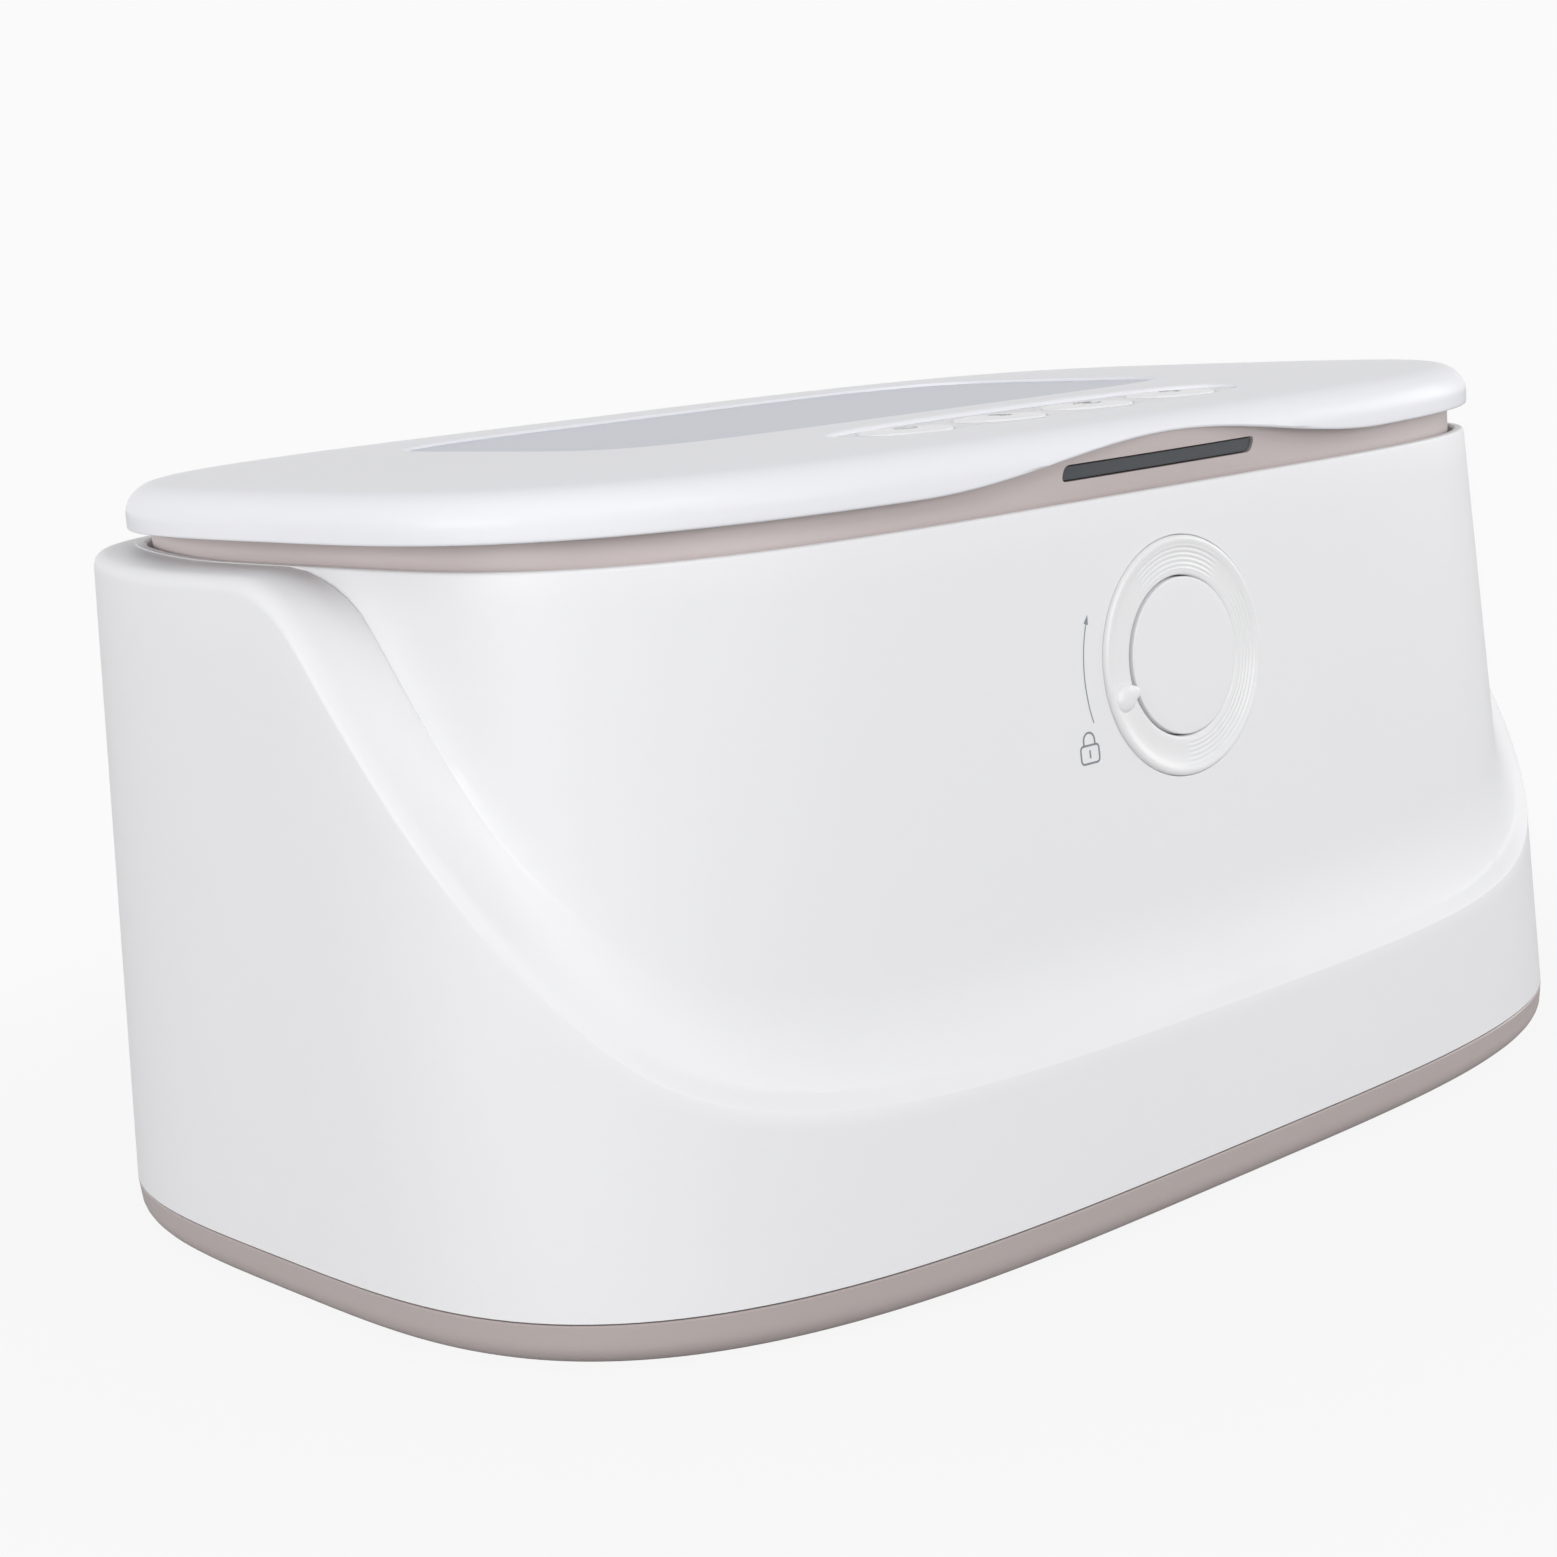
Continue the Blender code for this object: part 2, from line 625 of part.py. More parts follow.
def coil(name, start, axis, side, length, radius, wire, turns):
    """Helical spring as a bevelled curve, made a mesh with its caps welded."""
    start = Vector(start)
    axis = Vector(axis).normalized()
    side = Vector(side).normalized()
    other = axis.cross(side)
    count = int(turns * SPRING_POINTS)
    curve = bpy.data.curves.new(name, "CURVE")
    curve.dimensions = "3D"
    curve.bevel_depth = wire
    curve.bevel_resolution = 1
    curve.use_fill_caps = True
    spline = curve.splines.new("POLY")
    spline.points.add(count)
    points = []
    for i in range(count + 1):
        turn = 2 * math.pi * turns * i / count
        along = length * i / count
        point = start + axis * along + (side * math.cos(turn) + other * math.sin(turn)) * radius
        points.append(point)
        spline.points[i].co = (*point, 1)
    gap = min((b - a).length for a, b in zip(points, points[SPRING_POINTS:])) - wire * 2
    print(name, "least gap between curls", round(gap * 1000, 2), "mm")
    return curve_to_mesh(name, curve)


def curve_to_mesh(name, curve):
    """Mesh object of a curve, its caps welded; the curve object is removed."""
    raw = bpy.data.objects.new(name + "_curve", curve)
    bpy.context.scene.collection.objects.link(raw)
    bpy.context.view_layer.update()
    graph = bpy.context.evaluated_depsgraph_get()
    result = bpy.data.meshes.new_from_object(raw.evaluated_get(graph))
    bpy.data.objects.remove(raw, do_unlink=True)
    bm = bmesh.new()
    bm.from_mesh(result)
    bmesh.ops.remove_doubles(bm, verts=bm.verts, dist=0.000001)
    return mesh_object(name, bm)


def combine(obj, tool, operation):
    """Boolean with the exact solver; the tool goes to the cutters collection."""
    CUTTERS.objects.link(tool)
    tool.hide_render = True
    tool.display_type = "WIRE"
    modifier = obj.modifiers.new(operation.lower(), "BOOLEAN")
    modifier.object = tool
    modifier.operation = operation
    modifier.solver = "EXACT"
    return obj


def cut(obj, tool):
    return combine(obj, tool, "DIFFERENCE")


def add(obj, tool):
    return combine(obj, tool, "UNION")


# Shapes that the pieces share

def shell_point(turn, z, inset=0):
    """Outer shell at a height, or its inner face at an inset."""
    draw = SHELL_DRAFT_SHARE * (z - SEAM_Z) + inset
    return super_point(BODY_HALF_WIDTH - draw, BODY_HALF_DEPTH - draw, SHELL_POWER, turn)


def upper_point(turn, z, inset=0):
    """Upper body at a height, or its inner face at an inset."""
    grow = RIM_LIP + UPPER_DRAFT_SHARE * (RIM_Z - z) - inset
    return super_point(RIM_HALF_WIDTH + grow, RIM_HALF_DEPTH + grow, RIM_POWER, turn)


def sweep_height(y):
    """Height of the ledge at a depth: arc, straight slope, arc."""
    sine = math.sin(SWEEP_ANGLE)
    drop = 1 - math.cos(SWEEP_ANGLE)
    top_y = SWEEP_START_Y - SWEEP_TOP_RADIUS * sine
    top_z = SWEEP_TOP_Z - SWEEP_TOP_RADIUS * drop
    low_z = SWEEP_LOW_Z + SWEEP_LOW_RADIUS * drop
    low_y = top_y - (top_z - low_z) / math.tan(SWEEP_ANGLE)
    end_y = low_y - SWEEP_LOW_RADIUS * sine
    if y >= SWEEP_START_Y:
        return SWEEP_TOP_Z
    if y >= top_y:
        run = SWEEP_START_Y - y
        return SWEEP_TOP_Z - SWEEP_TOP_RADIUS + math.sqrt(SWEEP_TOP_RADIUS ** 2 - run ** 2)
    if y >= low_y:
        return top_z - (top_y - y) * math.tan(SWEEP_ANGLE)
    run = max(y - end_y, 0)
    return SWEEP_LOW_Z + SWEEP_LOW_RADIUS - math.sqrt(SWEEP_LOW_RADIUS ** 2 - run ** 2)


def ledge_edges(turn):
    """Heights of the ledge's outer edge and of the top of its cove."""
    edge_z = SWEEP_LOW_Z
    for step in range(6):
        edge_z = sweep_height(shell_point(turn, edge_z).y)
    rise = COVE_RISE_MIN
    top_z = edge_z
    for step in range(6):
        y = upper_point(turn, top_z).y
        rise = max(COVE_RISE_MIN, COVE_RISE * (-y - COVE_START_Y) / COVE_LENGTH)
        top_z = sweep_height(y) + rise
    return edge_z, min(top_z, RIM_Z - RIM_EDGE)


def wave(x, y):
    """How far the lid's lower edge rises above the light bar."""
    if y > 0 or abs(x) > WAVE_HALF_LENGTH:
        return 0
    return math.cos(math.pi / 2 * x / WAVE_HALF_LENGTH) ** 2


def crown_z(x, y):
    """Top surface of the lid."""
    half_x = LID_HALF_WIDTH - LID_EDGE_RADIUS
    half_y = LID_HALF_DEPTH - LID_EDGE_RADIUS
    reach = abs(x / half_x) ** LID_POWER + abs(y / half_y) ** LID_POWER
    reach = min(reach ** (1 / LID_POWER), 1)
    return LID_TOP_Z + LID_CROWN * (1 - reach * reach)


def screw(name, tip_or_head, direction, length, material):
    """Pan-head screw from the underside of its head along a direction."""
    start = Vector(tip_or_head)
    direction = Vector(direction).normalized()
    head = rod(name, start - direction * SCREW_HEAD, start, SCREW_HEAD_RADIUS)
    shank = rod(name + "_shank", start - direction * SCREW_HEAD / 2, start + direction * length,
                SCREW_RADIUS)
    add(head, shank)
    return link_part(head, material)


def pilot(name, start, direction, length):
    """Hole that a screw's shank passes with its clearance."""
    direction = Vector(direction).normalized()
    start = Vector(start)
    return rod(name, start, start + direction * length, SCREW_RADIUS + SCREW_GAP)


# Knob frame: origin on the front face, Z out of the face, Y up along it

def knob_frame():
    up = Vector((0, math.sin(UPPER_TILT), math.cos(UPPER_TILT)))
    out = Vector((0, -math.cos(UPPER_TILT), math.sin(UPPER_TILT)))
    across = Vector((1, 0, 0))
    frame = Matrix((across, up, out)).transposed().to_4x4()
    frame.translation = Vector((0, KNOB_FACE_Y, KNOB_Z))
    return frame


KNOB = knob_frame()


def at_knob(x, up, depth):
    """World point from a place across, up and into the front face."""
    return KNOB @ Vector((x, up, -depth))


# Housing

def housing_rings():
    rows = [[] for i in range(19)]
    for turn in TURNS:
        edge_z, cove_z = ledge_edges(turn)
        soft = smooth(1 - (SWEEP_TOP_Z - edge_z) / SHOULDER_BLEND)
        round_z = LEDGE_EDGE + (SHOULDER_HEIGHT - LEDGE_EDGE) * soft
        round_w = LEDGE_EDGE + (SHOULDER_WIDTH - LEDGE_EDGE) * soft
        outer = shell_point(turn, edge_z)
        inner = upper_point(turn, edge_z)
        width = max((outer - inner).length, round_w)
        back = round_w / width

        def between(share, z, shell_inset=0, upper_inset=0):
            a = upper_point(turn, z, upper_inset)
            b = shell_point(turn, z, shell_inset)
            p = a + (b - a) * share
            return Vector((p.x, p.y, z))

        bend_z = edge_z + (cove_z - edge_z) * COVE_BEND_SHARE

        def cove(t, shell_inset=0, upper_inset=0, drop=0):
            first = 1 - back
            share = first * (1 - t) ** 2
            z = edge_z * (1 - t) ** 2 + bend_z * 2 * t * (1 - t) + cove_z * t * t
            return between(share, z - drop, shell_inset, upper_inset)

        rows[0].append(between(1, SEAM_Z + SEAM / 2))
        rows[1].append(between(1, edge_z - round_z))
        rows[2].append(between(1 - back * (1 - DIAGONAL_SHARE), edge_z - round_z * (1 - DIAGONAL_SHARE)))
        rows[3].append(cove(0))
        rows[4].append(cove(1 / 3))
        rows[5].append(cove(2 / 3))
        rows[6].append(between(0, cove_z))
        rows[7].append(between(0, RIM_Z - RIM_EDGE / 2))
        rows[8].append(between(0, RIM_Z, 0, RIM_EDGE))
        rim = super_point(RIM_HALF_WIDTH, RIM_HALF_DEPTH, RIM_POWER, turn)
        shelf = super_point(RIM_HALF_WIDTH - SHELF_WIDTH, RIM_HALF_DEPTH - SHELF_WIDTH, RIM_POWER, turn)
        rows[9].append(Vector((rim.x, rim.y, RIM_Z)))
        rows[10].append(Vector((rim.x, rim.y, SHELF_Z)))
        rows[11].append(Vector((shelf.x, shelf.y, SHELF_Z)))
        rows[12].append(Vector((shelf.x, shelf.y, SHELF_Z - SHELF_THICKNESS)))
        under_z = SHELF_Z - SHELF_THICKNESS - SHELF_SLOPE
        shift = COLLAR_SHIFT * smooth((cove_z - LEDGE_DROP - under_z - COLLAR_MARGIN) / COLLAR_BLEND)
        rows[13].append(between(0, under_z, 0, UPPER_WALL - shift))
        rows[14].append(between(0, cove_z - LEDGE_DROP, 0, UPPER_WALL - shift))
        rows[15].append(cove(1 / 2, SHELL_WALL, UPPER_WALL - shift, LEDGE_DROP))
        rows[16].append(between(1, edge_z - LEDGE_DROP - round_z * soft / 2, SHELL_WALL, 0))
        rows[17].append(between(1, SEAM_Z + SPIGOT_HEIGHT, SHELL_WALL, 0))
        rows[18].append(between(1, SEAM_Z + SEAM / 2, SHELL_WALL, 0))
    return rows


def hinge_sides():
    """The two hinges, with the side that faces the middle."""
    return (("left", -1), ("right", 1))


def lug_outline():
    """Side view of a hinge lug, blended down into the back wall."""
    points = []
    for i in range(SMALL_STEPS // 2 + 1):
        turn = math.pi * i / (SMALL_STEPS // 2)
        points.append((HINGE_Y + HINGE_RADIUS * math.cos(turn), HINGE_Z + HINGE_RADIUS * math.sin(turn)))
    wall_y = BODY_HALF_DEPTH - SHELL_DRAFT_SHARE * (HINGE_Z - LUG_DROP - SEAM_Z)
    points.append((HINGE_Y - HINGE_RADIUS, HINGE_Z - LUG_FRONT_DROP))
    points.append((wall_y - SHELL_WALL + LEDGE_EDGE, HINGE_Z - LUG_DROP))
    points.append((wall_y - LEDGE_EDGE, HINGE_Z - LUG_DROP))
    return points


def lug_span(side, near):
    """X range of a lug: the near one is towards the middle of the body."""
    half = (HINGE_LUG * 2 + HINGE_KNUCKLE + HINGE_COIL + GAP * 3) / 2
    start = HINGE_X - half
    if not near:
        start = HINGE_X + half - HINGE_LUG
    ends = (side * start, side * (start + HINGE_LUG))
    return min(ends), max(ends)


def knuckle_span(side):
    """X range of the lid's knuckle, next to the near lug."""
    near = lug_span(side, True)
    start = max(abs(near[0]), abs(near[1])) + GAP
    ends = (side * start, side * (start + HINGE_KNUCKLE))
    return min(ends), max(ends)


def make_housing():
    housing = loft("outer_housing", housing_rings(), closed=True)
    for side_name, side in hinge_sides():
        for near in (True, False):
            low, high = lug_span(side, near)
            name = f"lug_{side_name}_{'near' if near else 'far'}"
            add(housing, prism(name, lug_outline(), low, high))
    add_base_posts(housing)
    for side in (-1, 1):
        x = side * BRACKET_EAR_X
        boss = rod(f"bracket_boss_{side}", at_knob(x, 0, UPPER_WALL - EMBED / 2),
                   at_knob(x, 0, bracket_front()), BRACKET_BOSS_RADIUS)
        add(housing, boss)
    hole = rod("knob_hole", at_knob(0, 0, -RING_PROUD * 2), at_knob(0, 0, UPPER_WALL + OVERRUN * 2),
               RING_RADIUS + RING_HOLE_GAP, KNOB_STEPS)
    cut(housing, hole)
    relief = rod("shelf_relief", at_knob(0, 0, UPPER_WALL + RELIEF_STEP),
                 at_knob(0, 0, UPPER_WALL + RELIEF_DEPTH),
                 RING_FLANGE_RADIUS + RELIEF_MARGIN, KNOB_STEPS)
    cut(housing, relief)
    for side in (-1, 1):
        x = side * BRACKET_EAR_X
        start = at_knob(x, 0, bracket_front() + OVERRUN)
        inwards = at_knob(x, 0, 0) - start
        cut(housing, pilot(f"bracket_pilot_{side}", start, inwards,
                           BRACKET_SCREW_LENGTH - BRACKET_THICKNESS + OVERRUN + GAP))
    for side_name, side in hinge_sides():
        spans = lug_span(side, True) + lug_span(side, False)
        bore = rod(f"hinge_bore_{side_name}", (min(spans) - OVERRUN, HINGE_Y, HINGE_Z),
                   (max(spans) + OVERRUN, HINGE_Y, HINGE_Z), PIN_BORE_RADIUS)
        cut(housing, bore)
    jack_z = BASE_Z + JACK_RISE
    inlet = rod("jack_hole", (JACK_X, jack_wall_y() - SHELL_WALL * 2, jack_z),
                (JACK_X, jack_wall_y() + SHELL_WALL,
                 jack_z), JACK_NOSE_RADIUS + GAP + JACK_SUNK / 2, ROUND_STEPS)
    cut(housing, inlet)
    return link_part(housing, WHITE)


def add_base_posts(housing):
    """Screw posts inside the shell, each tied to the wall by a rib."""
    low_z = PAN_FLOOR_Z + GAP
    top_z = BASE_Z + BASE_POST_HEIGHT
    for x_side in (-1, 1):
        for y_side in (-1, 1):
            name = f"post_{x_side}_{y_side}"
            x = x_side * BASE_SCREW_X
            y = y_side * BASE_SCREW_Y
            post = rod(name, (x, y, low_z), (x, y, top_z), POST_RADIUS)
            ends = sorted((x, x + x_side * RIB_REACH))
            rib = box(name + "_rib", (ends[0], y - RIB_WIDTH / 2, BASE_Z + RIB_RISE),
                      (ends[1], y + RIB_WIDTH / 2, top_z - EMBED))
            add(housing, rib)
            add(housing, post)
            cut(housing, pilot(name + "_pilot", (x, y, low_z - OVERRUN), (0, 0, 1),
                               BASE_SCREW_LENGTH - PAN_FLOOR + OVERRUN * 2))


def base_screw_places():
    return [(x * BASE_SCREW_X, y * BASE_SCREW_Y) for x in (-1, 1) for y in (-1, 1)]


def foot_places():
    return [(x * FOOT_X, y * FOOT_Y) for x in (-1, 1) for y in (-1, 1)]


def make_base_pan():
    half_x = BODY_HALF_WIDTH
    half_y = BODY_HALF_DEPTH
    power = SHELL_POWER
    edge = PAN_EDGE_RADIUS + PAN_FLARE
    diagonal = PAN_EDGE_RADIUS * (1 - DIAGONAL_SHARE)
    top_z = SEAM_Z - SEAM / 2
    lip = SHELL_WALL + GAP + SPIGOT_DRAFT / 2
    rings = [
        ring(half_x - edge, half_y - edge, power, BASE_Z),
        ring(half_x - diagonal - PAN_FLARE, half_y - diagonal - PAN_FLARE, power, BASE_Z + diagonal),
        ring(half_x - PAN_FLARE, half_y - PAN_FLARE, power, BASE_Z + PAN_EDGE_RADIUS),
        ring(half_x, half_y, power, top_z),
        ring(half_x - lip, half_y - lip, power, top_z),
        ring(half_x - lip - SPIGOT_DRAFT, half_y - lip - SPIGOT_DRAFT, power, top_z + SPIGOT_HEIGHT),
        ring(half_x - lip - SPIGOT_WALL, half_y - lip - SPIGOT_WALL, power, top_z + SPIGOT_HEIGHT),
        ring(half_x - lip - SPIGOT_WALL, half_y - lip - SPIGOT_WALL, power, PAN_FLOOR_Z),
    ]
    pan = loft("base_pan", rings)
    for i, (x, y) in enumerate(foot_places()):
        recess = rod(f"foot_recess_{i}", (x, y, BASE_Z - OVERRUN), (x, y, BASE_Z + FOOT_RECESS),
                     FOOT_RADIUS + GAP, ROUND_STEPS)
        cut(pan, recess)
    for i, (x, y) in enumerate(base_screw_places()):
        sink = rod(f"base_sink_{i}", (x, y, BASE_Z - OVERRUN), (x, y, BASE_Z + PAN_FLOOR / 2),
                   SCREW_HEAD_RADIUS + GAP)
        cut(pan, sink)
        cut(pan, pilot(f"base_hole_{i}", (x, y, BASE_Z), (0, 0, 1), PAN_FLOOR + OVERRUN))
    for i, (x, y) in enumerate(power_board_posts()):
        post = rod(f"board_post_{i}", (x, y, PAN_FLOOR_Z - EMBED / 2),
                   (x, y, PAN_FLOOR_Z + POWER_BOARD_RISE - GAP),
                   BOARD_POST_RADIUS)
        add(pan, post)
    return link_part(pan, TAUPE)


def power_board_posts():
    left = POWER_BOARD_HALF_WIDTH - BOARD_POST_INSET
    front = POWER_BOARD_FRONT_Y + BOARD_POST_INSET
    back = POWER_BOARD_BACK_Y - BOARD_POST_INSET
    return [(x, y) for x in (-left, left) for y in (front, back)]


def make_feet_and_base_screws():
    for i, (x, y) in enumerate(foot_places(), 1):
        foot = rod(f"rubber_foot_{i}", (x, y, 0), (x, y, BASE_Z + FOOT_RECESS - GAP), FOOT_RADIUS,
                   ROUND_STEPS)
        link_part(foot, RUBBER)
    for i, (x, y) in enumerate(base_screw_places(), 1):
        head_z = BASE_Z + PAN_FLOOR / 2 - GAP
        screw(f"base_screw_{i}", (x, y, head_z), (0, 0, 1), BASE_SCREW_LENGTH, STEEL)


# Wipes chamber and the heater under it

def chamber_ring(inset, z):
    return ring(CHAMBER_HALF_WIDTH - inset, CHAMBER_HALF_DEPTH - inset, CHAMBER_POWER, z, CHAMBER_CENTRE_Y)


def deck_ring(z):
    inset = GAP * 2
    return ring(RIM_HALF_WIDTH - inset, RIM_HALF_DEPTH - inset, RIM_POWER, z)


def make_chamber():
    floor = CHAMBER_DRAFT
    wall = CHAMBER_WALL
    rings = [
        chamber_ring(floor + CHAMBER_CORNER, CHAMBER_FLOOR_Z),
        chamber_ring(floor, CHAMBER_FLOOR_Z + CHAMBER_CORNER),
        chamber_ring(0, DECK_Z - DECK_EDGE),
        chamber_ring(-DECK_EDGE, DECK_Z),
        deck_ring(DECK_Z),
        deck_ring(DECK_LOW_Z),
        chamber_ring(-wall, DECK_LOW_Z),
        chamber_ring(floor - wall, CHAMBER_FLOOR_Z + CHAMBER_CORNER),
        chamber_ring(floor + CHAMBER_CORNER - wall / 2, CHAMBER_UNDER_Z),
    ]
    chamber = loft("inner_tank", rings)
    for i, (x, y) in enumerate(retainer_places()):
        post = rod(f"retainer_post_{i}", (x, y, retainer_top_z() + GAP),
                   (x, y, CHAMBER_UNDER_Z + EMBED / 2), LID_POST_RADIUS)
        add(chamber, post)
    for i, (x, y) in enumerate(retainer_places()):
        cut(chamber, pilot(f"retainer_pilot_{i}", (x, y, retainer_top_z() - OVERRUN), (0, 0, 1),
                           RETAINER_SCREW_LENGTH - RETAINER_THICKNESS + OVERRUN))
    slot_front = STRIKER_Y - STRIKER_CATCH - DECK_SLOT_MARGIN
    slot_back = STRIKER_Y + STRIKER_BLADE + DECK_SLOT_MARGIN
    slot = box("deck_slot", (-DECK_SLOT_HALF_WIDTH, slot_front, DECK_LOW_Z - OVERRUN),
               (DECK_SLOT_HALF_WIDTH, slot_back, DECK_Z + OVERRUN))
    cut(chamber, slot)
    return link_part(chamber, CHAMBER_WHITE)


def stack_levels():
    """Tops and undersides of the heater layers, from the chamber down."""
    levels = {}
    top = CHAMBER_UNDER_Z - GAP
    layers = (("heat_spreader", SPREADER_THICKNESS), ("heating_film", FILM_THICKNESS),
              ("insulation_pad", PAD_THICKNESS), ("retainer_plate", RETAINER_THICKNESS))
    for name, thickness in layers:
        levels[name] = (top - thickness, top)
        top -= thickness + GAP
    return levels


def retainer_top_z():
    return stack_levels()["retainer_plate"][1]


def retainer_places():
    low = CHAMBER_CENTRE_Y - RETAINER_POST_Y
    high = CHAMBER_CENTRE_Y + RETAINER_POST_Y
    return [(x * RETAINER_POST_X, y) for x in (-1, 1) for y in (low, high)]


def stack_box(name, half_width):
    low_z, high_z = stack_levels()[name]
    return box(name, (-half_width, CHAMBER_CENTRE_Y - SPREADER_HALF_DEPTH, low_z),
               (half_width, CHAMBER_CENTRE_Y + SPREADER_HALF_DEPTH, high_z), STACK_CORNER)


def make_heater():
    link_part(stack_box("heat_spreader", SPREADER_HALF_WIDTH), ALUMINIUM)
    link_part(stack_box("heating_film", SPREADER_HALF_WIDTH), FILM)
    pad = stack_box("insulation_pad", SPREADER_HALF_WIDTH)
    pad_low, pad_high = stack_levels()["insulation_pad"]
    for name, x, half_length, radius in small_parts():
        side = radius + POCKET_MARGIN
        pocket = box(name + "_pocket", (x - half_length - POCKET_MARGIN, CHAMBER_CENTRE_Y - side,
                                        pad_low - OVERRUN),
                     (x + half_length + POCKET_MARGIN, CHAMBER_CENTRE_Y + side, pad_high + OVERRUN))
        cut(pad, pocket)
        centre_z = pad_high - radius
        piece = rod(name, (x - half_length, CHAMBER_CENTRE_Y, centre_z),
                    (x + half_length, CHAMBER_CENTRE_Y, centre_z), radius)
        link_part(piece, STEEL)
    link_part(pad, FOAM)
    plate = stack_box("retainer_plate", RETAINER_HALF_WIDTH)
    for i, (x, y) in enumerate(retainer_places()):
        low_z, high_z = stack_levels()["retainer_plate"]
        cut(plate, pilot(f"retainer_hole_{i}", (x, y, low_z - OVERRUN), (0, 0, 1),
                         RETAINER_THICKNESS + OVERRUN * 2))
        screw(f"retainer_screw_{i + 1}", (x, y, low_z - GAP), (0, 0, 1), RETAINER_SCREW_LENGTH, STEEL)
    link_part(plate, STEEL)


def small_parts():
    return (("thermal_cutoff", SENSOR_X, FUSE_LENGTH / 2, FUSE_RADIUS),
            ("temperature_sensor", -SENSOR_X, SENSOR_LENGTH / 2, SENSOR_RADIUS))


# Power board, inlet and lead

def board_z():
    return PAN_FLOOR_Z + POWER_BOARD_RISE


def jack_wall_y():
    """Depth of the shell's outer face where the inlet is."""
    z = BASE_Z + JACK_RISE
    draw = SHELL_DRAFT_SHARE * (z - SEAM_Z)
    half_x = BODY_HALF_WIDTH - draw
    half_y = BODY_HALF_DEPTH - draw
    return half_y * (1 - (JACK_X / half_x) ** SHELL_POWER) ** (1 / SHELL_POWER)


def make_power_parts():
    low_z = board_z()
    top_z = low_z + BOARD_THICKNESS
    board = box("power_board", (-POWER_BOARD_HALF_WIDTH, POWER_BOARD_FRONT_Y, low_z),
                (POWER_BOARD_HALF_WIDTH, POWER_BOARD_BACK_Y, top_z))
    relay_width = POWER_BOARD_HALF_WIDTH / 4
    relay = box("relay", (-POWER_BOARD_HALF_WIDTH / 2 - relay_width, POWER_BOARD_FRONT_Y + relay_width,
                          top_z - EMBED / 2),
                (-POWER_BOARD_HALF_WIDTH / 2 + relay_width, POWER_BOARD_FRONT_Y + relay_width * 3,
                 top_z + BOARD_THICKNESS * 2))
    add(board, relay)
    link_part(board, BOARD)

    jack_z = BASE_Z + JACK_RISE
    body_back = jack_wall_y() - SHELL_WALL - SPIGOT_WALL - GAP * 3
    nose_end = jack_wall_y() - JACK_SUNK
    jack = box("dc_jack", (JACK_X - JACK_BODY_WIDTH / 2, body_back - JACK_BODY_LENGTH, top_z + GAP),
               (JACK_X + JACK_BODY_WIDTH / 2, body_back, jack_z + JACK_BODY_TOP))
    add(jack, rod("jack_nose", (JACK_X, body_back - EMBED, jack_z), (JACK_X, nose_end, jack_z),
                  JACK_NOSE_RADIUS, ROUND_STEPS))
    cut(jack, rod("jack_bore", (JACK_X, nose_end - JACK_BORE_DEPTH, jack_z),
                  (JACK_X, nose_end + OVERRUN, jack_z),
                  JACK_BORE_RADIUS, ROUND_STEPS))
    add(jack, rod("jack_pin", (JACK_X, nose_end - JACK_BORE_DEPTH - EMBED, jack_z),
                  (JACK_X, nose_end - EMBED, jack_z), JACK_PIN_RADIUS))
    link_part(jack, BLACK)
    make_lead(top_z)


def lead_points(start, end):
    """Smooth path from the board up to the heating film's edge."""
    bulge = Vector((-LEAD_SWING, 0, 0))
    points = []
    for i in range(LEAD_POINTS + 1):
        t = i / LEAD_POINTS
        point = start.lerp(end, t)
        point.z = start.z + (end.z - start.z) * smooth(t)
        points.append(point + bulge * math.sin(math.pi * t))
    return points


def make_lead(board_top):
    film_low, film_high = stack_levels()["heating_film"]
    start = Vector((-POWER_BOARD_HALF_WIDTH + BOARD_POST_INSET * 2,
                    POWER_BOARD_BACK_Y - BOARD_POST_INSET * 3,
                    board_top + GAP + LEAD_RADIUS))
    film_edge_y = CHAMBER_CENTRE_Y + SPREADER_HALF_DEPTH
    end = Vector((start.x, film_edge_y + LEAD_RADIUS + GAP, (film_low + film_high) / 2 - LEAD_RADIUS))
    curve = bpy.data.curves.new("heater_lead", "CURVE")
    curve.dimensions = "3D"
    curve.bevel_depth = LEAD_RADIUS
    curve.bevel_resolution = 2
    curve.use_fill_caps = True
    spline = curve.splines.new("POLY")
    path = lead_points(start, end)
    spline.points.add(len(path) - 1)
    for slot, point in zip(spline.points, path):
        slot.co = (*point, 1)
    link_part(curve_to_mesh("heater_lead", curve), RUBBER)


# Lid

